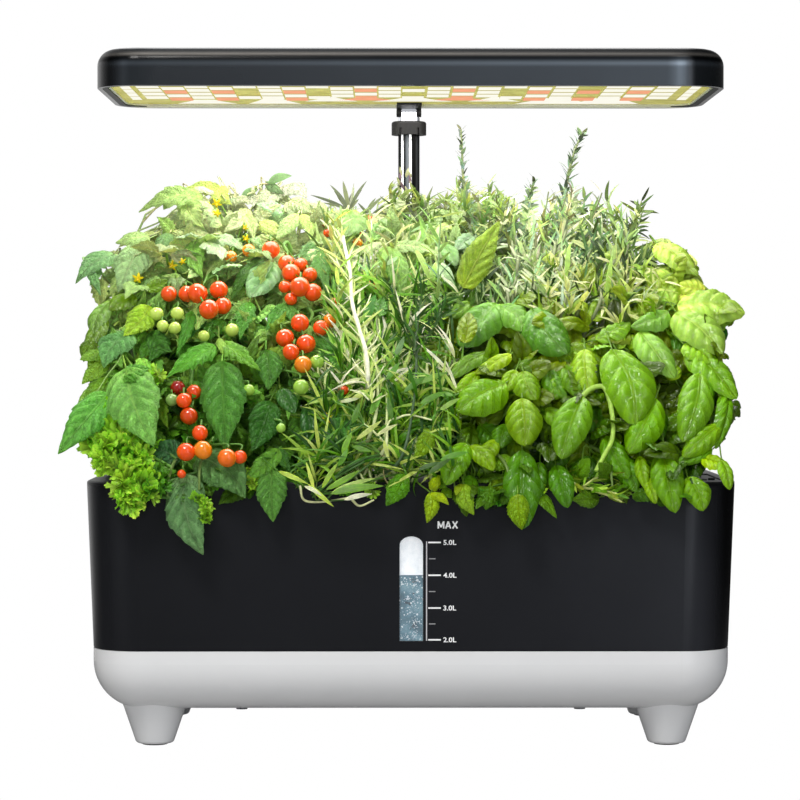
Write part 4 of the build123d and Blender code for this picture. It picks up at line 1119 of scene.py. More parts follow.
A(("tomato", 166, 336, 148, 362, 22, rgb(66, 120, 48), dict(dy=4)))
A(("tomato", 192, 311, 176, 356, 17, rgb(86, 158, 56), dict(dy=-1)))
A(("tomato", 205, 311, 191, 338, 18, rgb(64, 124, 52), dict(dy=4)))
A(("mint", 152, 340, 140, 358, 18, rgb(70, 124, 44), dict(dy=5)))
A(("tomato", 180, 345, 200, 366, 22, rgb(72, 130, 48), dict(dy=8)))
# the large front leaves
A(("broad", 126, 368, 154, 446, 60, rgb(132, 200, 92), dict(dy=-10, face=(0.05, -1, 0.35), arch=0.12, cup=0.18)))
A(("broad", 120, 376, 150, 368, 18, rgb(98, 166, 62), dict(dy=-8, face=(0, -0.5, 0.9))))
A(("broad", 109, 393, 58, 454, 38, rgb(112, 190, 80), dict(dy=-6, face=(0.25, -1, 0.4), arch=0.14, cup=0.2)))
A(("broad", 222, 361, 225, 449, 50, rgb(86, 150, 60), dict(dy=-12, face=(0, -1, 0.12), arch=0.08, cup=0.18)))
A(("broad", 270, 401, 252, 451, 35, rgb(60, 116, 48), dict(dy=-6, face=(0, -1, 0.15), arch=0.07)))
A(("broad", 184, 474, 203, 555, 46, rgb(108, 156, 96), dict(dy=-4, face=(0, -1, 0.1), arch=0.04)))
A(("broad", 198, 456, 245, 498, 46, rgb(100, 150, 82), dict(dy=-3, face=(0.1, -1, 0.2), arch=0.07)))
A(("broad", 272, 470, 273, 522, 34, rgb(94, 152, 66), dict(dy=-3, face=(0, -1, 0.15), arch=0.07)))
A(("broad", 266, 350, 268, 390, 31, rgb(86, 148, 60), dict(dy=-4, face=(0, -0.9, 0.4))))
A(("tomato", 222, 342, 261, 371, 23, rgb(120, 186, 64), dict(dy=-8, face=(0, -0.6, 0.8), arch=0.14)))
A(("tomato", 215, 345, 166, 378, 27, rgb(98, 174, 58), dict(dy=-8, face=(0, -0.7, 0.7), arch=0.12)))
A(("mint", 219, 338, 224, 355, 10, rgb(150, 200, 80), dict(dy=-9)))
A(("basil", 280, 389, 295, 413, 19, rgb(64, 114, 54), dict(dy=-3)))
A(("basil", 308, 404, 310, 444, 18, rgb(56, 102, 52), dict(dy=2)))
A(("broad", 352, 412, 328, 446, 34, rgb(80, 146, 62), dict(dy=-2, face=(0, -0.9, 0.45))))
A(("broad", 279, 449, 243, 482, 22, rgb(108, 170, 64), dict(dy=0, face=(0, -0.7, 0.7))))
A(("tomato", 276, 447, 291, 472, 18, rgb(64, 114, 50), dict(dy=1)))
A(("mint", 314, 336, 338, 350, 16, rgb(92, 158, 68), dict(dy=-2)))
A(("tomato", 332, 342, 320, 368, 20, rgb(86, 156, 62), dict(dy=0)))
A(("tomato", 334, 346, 340, 372, 18, rgb(104, 174, 72), dict(dy=-1)))
A(("tomato", 322, 372, 330, 394, 18, rgb(80, 142, 56), dict(dy=1)))
A(("mint", 306, 400, 341, 405, 8, rgb(126, 186, 62), dict(dy=-2, face=(0, -0.5, 0.9))))
A(("broad", 182, 458, 150, 443, 32, rgb(66, 114, 70), dict(dy=2, face=(0.1, -1, 0.2))))
A(("tomato", 160, 462, 148, 482, 17, rgb(84, 144, 52), dict(dy=-2)))
A(("mint", 150, 436, 126, 418, 14, rgb(120, 180, 60), dict(dy=4)))
A(("tomato", 176, 384, 170, 412, 22, rgb(50, 92, 40), dict(dy=10)))
A(("tomato", 290, 378, 312, 402, 20, rgb(58, 106, 44), dict(dy=4)))
A(("tomato", 240, 392, 246, 420, 20, rgb(62, 108, 44), dict(dy=12)))
A(("tomato", 246, 398, 258, 384, 14, rgb(108, 166, 60), dict(dy=0)))
# upper right of the tomato
A(("basil", 272, 262, 250, 298, 32, rgb(134, 184, 116), dict(dy=-4, face=(-0.15, -0.95, 0.35), wave=0.04)))
A(("tomato", 262, 256, 230, 303, 20, rgb(74, 120, 52), dict(dy=2, face=(-0.4, -0.8, 0.5))))
A(("tomato", 250, 302, 240, 340, 24, rgb(92, 162, 62), dict(dy=-2)))
A(("tomato", 286, 304, 266, 331, 20, rgb(94, 160, 68), dict(dy=-1)))
A(("mint", 286, 304, 296, 326, 14, rgb(104, 168, 74), dict(dy=-1)))
A(("tomato", 320, 244, 297, 266, 24, rgb(118, 168, 98), dict(dy=3)))
A(("tomato", 322, 250, 330, 290, 26, rgb(96, 150, 74), dict(dy=2)))
A(("mint", 298, 214, 276, 240, 18, rgb(170, 206, 124), dict(dy=2)))
A(("mint", 302, 214, 311, 240, 15, rgb(176, 212, 112), dict(dy=2)))
A(("broad", 352, 210, 344, 240, 38, rgb(182, 218, 116), dict(dy=-2, face=(0, -0.9, 0.45), arch=0.06)))
A(("blade", 268, 184, 292, 176, 9, rgb(112, 156, 92), dict(dy=0, arch=0.2)))
A(("mint", 266, 182, 284, 194, 11, rgb(106, 146, 86), dict(dy=2)))
A(("blade", 257, 189, 241, 197, 8, rgb(92, 134, 72), dict(dy=3)))
A(("tomato", 280, 188, 307, 198, 24, rgb(208, 224, 186), dict(dy=6, face=(0, -0.6, 0.8))))
A(("tomato", 278, 188, 260, 212, 25, rgb(200, 220, 168), dict(dy=5)))
A(("tomato", 262, 198, 232, 204, 16, rgb(212, 226, 188), dict(dy=6, face=(0, -0.5, 0.85))))
A(("tomato", 250, 210, 224, 232, 26, rgb(196, 218, 152), dict(dy=4)))
A(("tomato", 244, 214, 254, 240, 20, rgb(184, 212, 132), dict(dy=4)))
A(("mint", 260, 222, 284, 234, 18, rgb(188, 212, 116), dict(dy=4)))
A(("tomato", 290, 200, 316, 214, 20, rgb(188, 212, 148), dict(dy=5)))
A(("tomato", 236, 258, 206, 275, 14, rgb(150, 180, 104), dict(dy=0, face=(0, -0.5, 0.9))))
A(("tomato", 176, 254, 190, 278, 20, rgb(124, 168, 82), dict(dy=6)))
A(("mint", 158, 262, 170, 282, 14, rgb(96, 140, 62), dict(dy=8)))
A(("tomato", 240, 318, 224, 338, 18, rgb(96, 160, 58), dict(dy=2)))
A(("tomato", 224, 320, 204, 344, 22, rgb(84, 150, 54), dict(dy=2)))
A(("tomato", 344, 262, 330, 292, 22, rgb(84, 140, 66), dict(dy=6)))
A(("basil", 112, 300, 94, 334, 22, rgb(118, 164, 66), dict(dy=2, face=(-0.3, -0.8, 0.4), cup=0.25)))
A(("basil", 104, 316, 84, 350, 20, rgb(112, 152, 50), dict(dy=4, face=(-0.3, -0.8, 0.4), cup=0.3)))
A(("mint", 112, 344, 88, 372, 22, rgb(108, 150, 44), dict(dy=3, face=(-0.2, -0.9, 0.4))))
A(("mint", 104, 352, 80, 360, 15, rgb(130, 184, 66), dict(dy=1, face=(-0.1, -0.7, 0.7))))
A(("mint", 108, 360, 82, 384, 20, rgb(130, 180, 62), dict(dy=2, face=(-0.2, -0.9, 0.4))))
A(("mint", 110, 376, 84, 406, 24, rgb(118, 172, 54), dict(dy=2, face=(-0.2, -0.9, 0.4))))
A(("basil", 100, 384, 80, 412, 18, rgb(140, 190, 74), dict(dy=4, face=(-0.3, -0.8, 0.4))))
A(("mint", 116, 386, 98, 420, 22, rgb(112, 164, 44), dict(dy=3, face=(-0.1, -0.9, 0.4))))
A(("tomato", 156, 396, 168, 428, 18, rgb(120, 166, 52), dict(dy=6)))
for t in T:
    hero(tom, *t[:7], **t[7])
tube(tom.stem, uvpath((124, 350), (118, 362), (107, 376), (98, 390), (88, 398), dy=-5), 0.45, 0.35, rgb(140, 178, 92), 6, 6)


# compound leaves fill the rest of the plant, on every side
def spray(plant, base, d, length, colour, kind="tomato", size=17.0, droop=0.35, pairs=2):
    """A compound leaf: a curved midrib with pairs of leaflets and one at the end."""
    rng = plant.rng
    d = unit(np.asarray(d, float))
    side = unit(np.cross(d, (0, 0, 1)))
    n = unit(np.cross(side, d))
    s = np.linspace(0, 1, 5)[:, None]
    path = base + d * length * s + np.array([0, 0, -1.0]) * droop * length * s**2
    B, Tp, Nn, W = [], [], [], []
    for k in range(pairs):
        p = path[1 + k * 3 // max(1, pairs)] if pairs > 1 else path[2]
        for q in (-1, 1):
            dd = unit(d * 0.35 + side * q + np.array([0, 0, rng.uniform(-0.5, 0.1)]))
            B.append(p + dd * 2.5)
            L = size * rng.uniform(0.7, 1.0)
            Tp.append(B[-1] + dd * L)
            Nn.append(n + rng.normal(0, 0.25, 3))
            W.append(L * rng.uniform(0.62, 0.8))
    end = unit(path[-1] - path[-2])
    B.append(path[-1])
    L = size * rng.uniform(1.1, 1.4)
    Tp.append(path[-1] + end * L)
    Nn.append(n + rng.normal(0, 0.2, 3))
    W.append(L * rng.uniform(0.6, 0.75))
    ok = inside(np.array(Tp)) & inside(np.array(B))
    if ok[-1]:
        tube(plant.stem, path, 0.9, 0.45, C["stem"] * np.array([0.8, 0.9, 0.6]), 5, 3)
    elif ok.any() and inside(path[:4]).all():
        tube(plant.stem, path[:4], 0.9, 0.5, C["stem"] * np.array([0.8, 0.9, 0.6]), 5, 3)
    else:
        return
    B, Tp, Nn, W = (np.array(a)[ok] for a in (B, Tp, Nn, W))
    k = len(B)
    leaves(
        plant.pile(kind), kind, B, Tp, Nn, W, rng.uniform(0.06, 0.2, k), rng.uniform(0.08, 0.3, k),
        rng.uniform(0.01, 0.06, k), rng.normal(0, 0.3, k), vary(colour, k, 0.16, rng), rng.uniform(0, 0.2, k), rng,
    )


def shell_points(rng, n, box, power=2.6):
    """Places and outward directions near the surface of a rounded box."""
    lo, hi = np.array(box[0], float), np.array(box[1], float)
    c, h = (lo + hi) / 2, (hi - lo) / 2
    out = []
    while len(out) < n:
        q = rng.uniform(-1, 1, 3)
        r = (np.abs(q) ** power).sum() ** (1 / power)
        if r > 1 or r < 0.25:
            continue
        q = q / r * rng.uniform(0.55, 0.93)
        g = np.sign(q) * np.abs(q) ** (power - 1) / h
        out.append((c + q * h, unit(g)))
    return out


def clear_of_front(p, gap):
    """True where p lies at least gap mm behind the leaves that are placed by the picture."""
    v = 348.0 - 2922.0 * (p[2] - 215.0) / (p[1] + 1647.0)
    return p[1] > surf(v) + gap


def band(z, low, high, deep=0.0):
    """Colour between two by height, darker towards the inside as painted shade."""
    t = np.clip((z - 150.0) / 150.0, 0, 1)
    c = np.asarray(low) * (1 - t) + np.asarray(high) * t
    return c * (1 - deep)


rng = tom.rng
for p, g in shell_points(rng, 230, ((-186, -70, 150), (-62, 118, 312))):
    gap = 12 + 10 * rng.uniform()
    if not clear_of_front(p, gap):
        p = p + (0, 34, 0)
    if p[1] > 112 or (abs(p[0]) < 14 and p[1] > 44):
        continue
    d = unit(g + np.array([0, 0, 0.25]) + rng.normal(0, 0.3, 3))
    base = p - d * 18
    if not inside(base)[0]:
        continue
    tom.petiole(base, d, 0.6)
    c = tone("tomato", seen_v(p), rng)[0]
    spray(tom, base, d, rng.uniform(16, 26), c, droop=rng.uniform(0.25, 0.6), size=rng.uniform(14, 22))
# leaves inside, painted dark as shade
for _ in range(70):
    p = np.array([rng.uniform(-172, -76), rng.uniform(-60, 100), rng.uniform(150, 226)])
    if not clear_of_front(p, 26):
        p = p + (0, 30, 0)
    d = unit(rng.normal(0, 1, 3) + (0, -0.3, 0.1))
    spray(tom, p - d * 10, d, 18, C["tom_painted_shade"], size=22)


def front_fill(plant, kind, spans, n, wide, tall, key=None, deep=(4, 16), shade="tomato", aim=(0, -0.35, -0.35), dark=1.0, jitter=0.7):
    """Single leaves just behind the ones placed by the picture, over the spans (u0, v0, u1, v1); dark scales their
    colour down as painted shade between and behind the front leaves.
    """
    rng = plant.rng
    area_ = np.array([(c - a) * (d - b) for a, b, c, d in spans], float)
    for _ in range(n):
        u0, v0, u1, v1 = spans[int(rng.choice(len(spans), p=area_ / area_.sum()))]
        u, v = rng.uniform(u0, u1), rng.uniform(v0, v1)
        p = spot(u, v, float(surf(v)) + rng.uniform(*deep))
        d = unit(np.asarray(aim, float) + rng.normal(0, jitter, 3) * (1, 0.6, 1))
        L = rng.uniform(*tall)
        tip = p + d * L
        if not (inside(p)[0] and inside(tip)[0]):
            continue
        nrm = np.array([rng.normal(0, 0.35), -0.75, 0.6 + rng.normal(0, 0.25)])
        leaves(
            plant.pile(key or kind), kind, p, tip, nrm, rng.uniform(*wide), rng.uniform(0.06, 0.2), rng.uniform(0.12, 0.34), rng.uniform(0.0, 0.05),
            rng.normal(0, 0.3), tone(shade, v, rng)[0] * dark, rng.uniform(0, 0.2), rng,
        )
        plant.petiole(p, d, 0.45)


front_fill(tom, "tomato", [(150, 188, 350, 245)], 80, (9, 15), (12, 22), aim=(-0.1, -0.3, -0.1))
front_fill(tom, "tomato", [(95, 240, 345, 300)], 80, (10, 16), (14, 24), aim=(-0.1, -0.3, -0.4))
front_fill(tom, "tomato", [(95, 300, 345, 400)], 80, (10, 17), (15, 26))
front_fill(tom, "broad", [(95, 300, 345, 400)], 60, (12, 18), (16, 26), deep=(8, 20))
front_fill(tom, "broad", [(120, 400, 345, 484)], 90, (11, 18), (15, 26), deep=(6, 20))
front_fill(tom, "broad", [(274, 436, 322, 476)], 26, (13, 18), (18, 26), deep=(16, 34), dark=0.45)
front_fill(tom, "broad", [(294, 268, 332, 344)], 30, (13, 18), (17, 25), deep=(20, 40), dark=0.55)
front_fill(tom, "broad", [(120, 340, 345, 484)], 90, (14, 20), (20, 28), deep=(18, 34), dark=0.35)

# fruit
fruit = Pile()
calyx = Pile()


def tomato(u, v, r, colour, dy=0.0, truss=None):
    y = float(surf(v)) - 9 + dy
    k = (y + 1647.0) / 2922.0
    c = spot(u, v, y)
    R = r * k
    a = unit(np.array([tom.rng.normal(0, 0.35), 0.45 + tom.rng.uniform(0, 0.5), 0.8]))
    b1 = unit(np.cross(a, (0.3, 1, 0.1)))
    b2 = np.cross(a, b1)
    nu, nv = 15, 23
    th = np.linspace(0, np.pi, nu)[:, None]
    ph = np.linspace(0, 2 * np.pi, nv)[None, :]
    rad = 1.0 - 0.13 * np.exp(-((th / 0.42) ** 2)) + 0.012 * np.cos(5 * ph) * np.exp(-((th / 0.9) ** 2))
    P = (rad * np.cos(th) * 0.96)[..., None] * a + (rad * np.sin(th) * np.cos(ph))[..., None] * b1 + (rad * np.sin(th) * np.sin(ph))[..., None] * b2
    uv = np.zeros((nu, nv, 2))
    uv[..., 0] = th / np.pi
    col = np.broadcast_to(np.asarray(colour, float), (nu, nv, 3)) * (1 + 0.05 * np.cos(th))[..., None]
    col = col.copy()
    top = np.exp(-((th / 0.6) ** 2))[..., None] * np.ones((nu, nv, 1))
    col = col * (1 - 0.25 * top) + np.array([0.55, 0.35, 0.04]) * 0.25 * top
    fruit.add(c + P * R, grid_faces(1, nu, nv), uv, col)
    top_pt = c + a * R * 0.86
    S = []
    for i in range(5):
        t = 2 * np.pi * i / 5 + tom.rng.uniform(0, 0.5)
        out_ = b1 * math.cos(t) + b2 * math.sin(t)
        S.append(unit(out_ + a * tom.rng.uniform(-0.1, 0.5)))
    S = np.array(S)
    leaves(calyx, "blade", np.repeat(top_pt[None], 5, 0), top_pt + S * R * 0.85, np.repeat(a[None], 5, 0), R * 0.2, 0.12, 0.05, 0.0, 0.0, rgb(84, 136, 52), 0.1, tom.rng)
    knee = top_pt + a * R * 0.7 + np.array([0, 2.0, 1.5])
    if truss is not None:
        tube(calyx, [top_pt - a * R * 0.1, knee, truss], 0.5, 0.6, rgb(110, 158, 70), 5, 4)
    else:
        an = tom.anchor(knee)
        tube(calyx, [top_pt - a * R * 0.1, knee, 0.5 * (knee + an) + (0, 6, 4), an], 0.5, 0.9, rgb(110, 158, 70), 5, 4)


RED, ORANGE, DEEP, GREEN, PALE = rgb(250, 84, 16), rgb(252, 140, 22), rgb(160, 20, 12), rgb(160, 206, 76), rgb(202, 228, 100)


def truss(u, v, dy, chain):
    """A fruiting stem from a main stem to picture place (u, v), then down the chain of places."""
    pts = [spot(a, b, float(surf(b)) + dy) for a, b in chain]
    start = tom.anchor(pts[0] + (0, 0, 10))
    tube(calyx, [start, 0.5 * (start + pts[0]) + (0, 0, 8)] + pts, 1.3, 0.6, rgb(122, 168, 78), 6, 5, 0.2)
    return pts


def nearest(pts, p):
    pts = np.array(pts)
    return pts[int(np.argmin(np.linalg.norm(pts - p, axis=1)))]


tr1 = truss(205, 280, 2, [(206, 281), (204, 292), (208, 301), (214, 312)])
tr2 = truss(290, 250, 2, [(284, 246), (292, 258), (298, 272), (300, 288), (296, 296)])
tr3 = truss(310, 320, 2, [(312, 312), (308, 324), (300, 338), (300, 352)])
tr4 = truss(190, 380, 4, [(192, 378), (188, 394), (190, 410), (198, 440), (204, 446)])
tr5 = truss(160, 300, 4, [(166, 300), (166, 318), (168, 322)])
for u, v, r, c, dy, tr in [
    (169, 294, 8.2, RED, 0, tr5), (187, 294, 8.6, RED, 2, tr1), (197.5, 293.5, 10.4, RED, -4, tr1), (219, 290, 9.4, RED, 0, tr1),
    (209, 309.5, 10.2, RED, -6, tr1), (223, 306, 8.8, RED, 2, tr1),
    (271, 250, 9.2, RED, 0, tr2), (287, 264, 9.2, RED, 4, tr2), (291, 273, 9.4, RED, -2, tr2), (301, 265, 7.2, RED, 8, tr2),
    (310, 275, 7.6, RED, 5, tr2), (285, 287, 6.6, RED, 2, tr2), (300, 287, 10.3, RED, -5, tr2), (313, 292.5, 9.2, RED, 0, tr2),
    (291, 299, 6.6, RED, 4, tr2), (300, 323, 9.4, RED, -2, tr3), (321, 328, 8.2, RED, 0, tr3), (330, 321, 7.6, ORANGE, 4, tr3),
    (285, 338, 9.5, RED, 0, tr3), (306, 344, 10.0, RED, 1, tr3), (291, 352, 8.6, RED, -3, tr3), (303, 364.5, 9.0, ORANGE, -4, tr3),
    (178, 388, 7.7, DEEP, 6, tr4), (194, 392, 7.7, tuple(c * 0.8 for c in RED), 3, tr4),
    (184, 400.5, 8.0, RED, -2, tr4), (189, 416, 9.2, tuple(c * 0.72 for c in RED), 2, tr4), (200, 433, 8.2, RED, -4, tr4),
    (186, 452, 9.6, RED, -4, tr4), (203, 450, 9.7, ORANGE, -5, tr4), (227, 458, 9.7, tuple(0.5 * (a + b_) for a, b_ in zip(RED, ORANGE)), -7, tr4),
    (240, 457, 7.2, RED, -3, tr4), (181.5, 474, 4.6, RED, 0, None), (358, 231, 5.2, RED, 8, None), (372, 287, 7.2, RED, 4, None),
    (335, 302, 4.4, RED, 4, None), (343.5, 390, 5.2, RED, 2, None), (324, 223, 4.6, DEEP, 10, None), (328, 233, 4.8, RED, 10, None),
    (369, 220, 4.4, RED, 12, None), (231, 257, 6.4, ORANGE, 6, None), (249, 250.5, 6.8, ORANGE, 6, None), (357.6, 243, 5.2, ORANGE, 6, None),
    (157, 314, 7.2, PALE, 2, tr5), (177.5, 313.5, 6.9, PALE, 0, tr5), (163, 326, 6.2, PALE, 2, tr5), (175, 328, 6.4, PALE, 0, tr5),
    (232, 330, 7.0, PALE, 2, None), (204, 336, 6.0, PALE, 4, None), (301, 387, 8.2, GREEN, -2, None), (317, 362, 7.4, GREEN, 0, None),
    (281, 428, 5.0, GREEN, -2, None), (249, 390, 6.0, GREEN, 2, None), (172, 400, 6.6, rgb(140, 178, 90), 4, tr4),
]:
    tomato(u, v, r, c, dy, nearest(tr, spot(u, v - 10, float(surf(v)))) if tr is not None else None)
# a few trusses at the back and left side
for x, y, z in ((-150, 92, 230), (-120, 108, 262), (-160, 84, 204), (-90, 100, 214)):
    base = np.array([x, y, z], float)
    an = tom.anchor(base + (0, 0, 12))
    tube(calyx, [an, 0.5 * (an + base) + (0, 0, 10), base], 1.2, 0.7, rgb(122, 168, 78), 6, 5)
    for k in range(6):
        q = base + np.array([rng.uniform(-11, 11), rng.uniform(-6, 6), -7.0 - 5.5 * k * 0.8])
        ball(fruit, q, rng.uniform(4.2, 5.6), (RED, RED, ORANGE, GREEN)[int(rng.integers(0, 4))], 13, 19, (1, 1, 0.95))
        tube(calyx, [q + (0, 0, 4.4), q + (1, 1, 7.5), base + (0, 0, -4.0 * k * 0.8)], 0.5, 0.5, rgb(110, 158, 70), 5, 3)

# flowers
petal = Pile()
for u, v, r in [(208, 208, 5), (217, 204, 5), (217, 214, 4.4), (172, 266, 5.2), (138, 279, 5.4), (246, 239, 4), (328, 420, 6.5), (183, 262, 3.6), (347, 258, 3), (245, 228, 3.4)]:
    y = float(surf(v)) - 5
    c = spot(u, v, y)
    R = r * (y + 1647) / 2922 * 1.25
    a = unit(np.array([rng.normal(0, 0.3), -0.8, -0.35]))
    b1 = unit(np.cross(a, (0.2, 0.1, 1)))
    b2 = np.cross(a, b1)
    S = np.array([unit(b1 * math.cos(t) + b2 * math.sin(t) - a * 0.25) for t in np.arange(5) * 2 * np.pi / 5 + rng.uniform(0, 1)])
    leaves(petal, "blade", np.repeat(c[None], 5, 0), c + S * R, np.repeat(a[None], 5, 0), R * 0.42, 0.1, 0.2, 0.0, 0.0, rgb(250, 220, 40), 0.15, rng)
    tube(petal, [c - a * 0.2, c + a * R * 0.5, c + a * R * 0.8], R * 0.16, R * 0.05, rgb(236, 190, 20), 6, 3)
    an = tom.anchor(c)
    tube(calyx, [c, c + (0, 3, 3), 0.5 * (c + an) + (0, 3, 5), an], 0.35, 0.6, rgb(140, 180, 80), 5, 4)

m, nt, b = new_mat("tomato_skin")
base = node(nt, "ShaderNodeAttribute", attribute_name="tint").outputs["Color"]
f = noise(nt, 260.0, 3.0)
col = mix_colour(nt, 1.0, base, ramp(nt, f, (0.3, 0.9), (0.7, 1.1)), "MULTIPLY")
nt.links.new(col, b.inputs["Base Color"])
nt.links.new(ramp(nt, f, (0.2, 0.14), (0.8, 0.24)), b.inputs["Roughness"])
bu = node(nt, "ShaderNodeBump")
bu.inputs["Strength"].default_value = 0.05
bu.inputs["Distance"].default_value = 0.0002
nt.links.new(f, bu.inputs["Height"])
nt.links.new(bu.outputs[0], b.inputs["Normal"])
b.inputs["Coat Weight"].default_value = 1.0
b.inputs["Coat Roughness"].default_value = 0.03
FRUIT = m
m, nt, b = new_mat("petal_yellow")
base = node(nt, "ShaderNodeAttribute", attribute_name="tint").outputs["Color"]
f = noise(nt, 700.0, 3.0)
col = mix_colour(nt, 1.0, base, ramp(nt, f, (0.3, 0.85), (0.7, 1.1)), "MULTIPLY")
nt.links.new(col, b.inputs["Base Color"])
b.inputs["Roughness"].default_value = 0.5
PETAL = m

# ------------------------------------------------------------------ parsley, front left
par = Plant([(-118, -58)], 5)
par.main([(-118, -58, 142), (-124, -74, 160), (-134, -88, 174), (-142, -96, 186)], 1.5, 0.8)
par.main([(-118, -58, 142), (-108, -80, 158), (-98, -92, 172)], 1.4, 0.7)
par.main([(-120, -58, 142), (-146, -72, 164), (-166, -78, 184), (-176, -80, 204)], 1.4, 0.7)
par.main([(-118, -60, 142), (-124, -90, 156), (-128, -101, 148), (-129, -106, 136)], 1.3, 0.6)
rng = par.rng


def curl_at(u, v, size, colour, dy=0.0, n=7, spread=0.8):
    """A tuft of curled fans about a picture place."""
    c = spot(u, v, float(surf(v)) + dy)
    par.petiole(c, (0, -1, 0.3), 0.7)
    R = size * (c[1] + 1647) / 2922
    D = unit(np.stack([rng.normal(0, spread, n), -0.7 + rng.normal(0, 0.35, n), rng.normal(0.1, spread, n)], 1))
    Nn = unit(np.stack([rng.normal(0, 0.6, n), -0.6 + rng.normal(0, 0.4, n), 0.6 + rng.normal(0, 0.4, n)], 1))
    frill(par.pile("parsley"), np.repeat(c[None], n, 0) + rng.normal(0, 1.2, (n, 3)), D, Nn, R * rng.uniform(0.75, 1.15, n), vary(colour, n, 0.14, rng, 0.04) * (0.94, 1.03, 1.1), rng, 0.55, 1.2)


for u, v, s, c in [
    (96, 412, 12, "par_light"), (110, 412, 12, "par_mid"), (94, 428, 13, "par_light"), (108, 432, 15, "par_light"), (122, 430, 14, "par_light"), (136, 440, 14, "par_light"),
    (92, 442, 13, "par_mid"), (102, 450, 15, "par_light"), (116, 448, 16, "par_light"), (130, 456, 15, "par_mid"),
    (144, 462, 13, "par_light"), (106, 464, 14, "par_light"), (120, 468, 16, "par_light"), (134, 474, 15, "par_light"),
    (124, 486, 14, "par_light"), (140, 488, 14, "par_mid"), (116, 456, 12, "par_dark"), (100, 438, 12, "par_dark"),
    (152, 478, 12, "par_light"), (126, 500, 11, "par_mid"), (130, 506, 9, "par_light"), (146, 496, 11, "par_light"),
    (158, 490, 10, "par_dark"), (164, 480, 10, "par_dark"), (148, 446, 11, "par_mid"), (128, 440, 12, "par_mid"), (132, 462, 11, "par_dark"),
    (150, 384, 9, "par_mid"), (158, 376, 8, "par_light"), (202, 500, 8, "par_mid"), (204, 516, 7, "par_mid"), (207, 508, 7, "par_light"),
    (254, 482, 9, "par_light"), (248, 474, 8, "par_light"),
]:
    curl_at(u, v, s * 1.5, C[c], -2 if v > 484 else 2, n=7)
for _ in range(46):  # behind the front tufts, and round the left end
    p = np.array([rng.uniform(-180, -76), rng.uniform(-96, -62), rng.uniform(150, 192)])
    if not clear_of_front(p, 8):
        continue
    n = 6
    par.petiole(p, (0, 0, 1), 0.6)
    D = unit(rng.normal(0, 1, (n, 3)) + (0, -0.2, 0.3))
    frill(par.pile("parsley"), np.repeat(p[None], n, 0), D, unit(rng.normal(0, 0.5, (n, 3)) + (0, 0, 1)), rng.uniform(9, 14, n), vary(C["par_dark"], n, 0.25, rng), rng)

# ------------------------------------------------------------------ tarragon and rosemary, centre
cen = Plant([(-42, -58), (-42, -4), (-42, 50)], 7)
rng = cen.rng


def needles(plant, path, count, length, width, colour, key="needle", kind="needle", up=0.75, spread=0.12, whorl=2, start=0.12, curve=0.06, clip=True, deep=0.0):
    """Narrow leaves in whorls along a stem."""
    rng = plant.rng
    path = np.asarray(path)
    seg = np.linalg.norm(np.diff(path, axis=0), axis=1)
    s = np.concatenate([[0], np.cumsum(seg)])
    at = np.linspace(start * s[-1], s[-1], count)
    B, Tp, Nn, Ln = [], [], [], []
    for i, a in enumerate(at):
        p = np.array([np.interp(a, s, path[:, k]) for k in range(3)])
        q = np.array([np.interp(min(a + 1.0, s[-1]), s, path[:, k]) - np.interp(max(a - 1.0, 0), s, path[:, k]) for k in range(3)])
        ax = unit(q)
        e1 = unit(np.cross(ax, (0.3, 0.9, 0.2)))
        e2 = np.cross(ax, e1)
        for w in range(whorl):
            t = i * 2.4 + w * 2 * np.pi / whorl + rng.normal(0, 0.25)
            out_ = e1 * math.cos(t) + e2 * math.sin(t)
            d = unit(out_ + ax * up * rng.uniform(0.6, 1.5) + rng.normal(0, spread, 3))
            B.append(p)
            L = length * rng.uniform(0.65, 1.1) * (1.0 - 0.35 * (a / s[-1]) ** 3)
            Tp.append(p + d * L)
            Nn.append(ax + rng.normal(0, 0.2, 3) - d * 0.2)
            Ln.append(L)
    B, Tp, Nn = np.array(B), np.array(Tp), np.array(Nn)
    if clip:
        ok = inside(Tp)
        B, Tp, Nn = B[ok], Tp[ok], Nn[ok]
    n = len(B)
    if n == 0:
        return
    # painted light and shade: a share deep of the needles is darkened as shade, the others are lightened
    tones = vary(colour, n, 0.2, rng) * np.where(rng.uniform(size=n) < deep, 0.36, 1.0 + 0.3 * (deep > 0))[:, None]
    leaves(
        plant.pile(key), kind, B, Tp, Nn, np.full(n, width) * rng.uniform(0.8, 1.2, n), rng.normal(curve, 0.05, n), 0.12, 0.0, 0.0,
        tones, rng.uniform(0, 0.12, n), rng,
    )


def sprig(plant, pts, count, length, width, colour, stem_tint, r0=1.0, r1=0.4, **kw):
    tube(plant.stem, pts, r0, r1, stem_tint, 6, 6)
    needles(plant, smooth_path(pts, 6), count, length, width, colour, **kw)


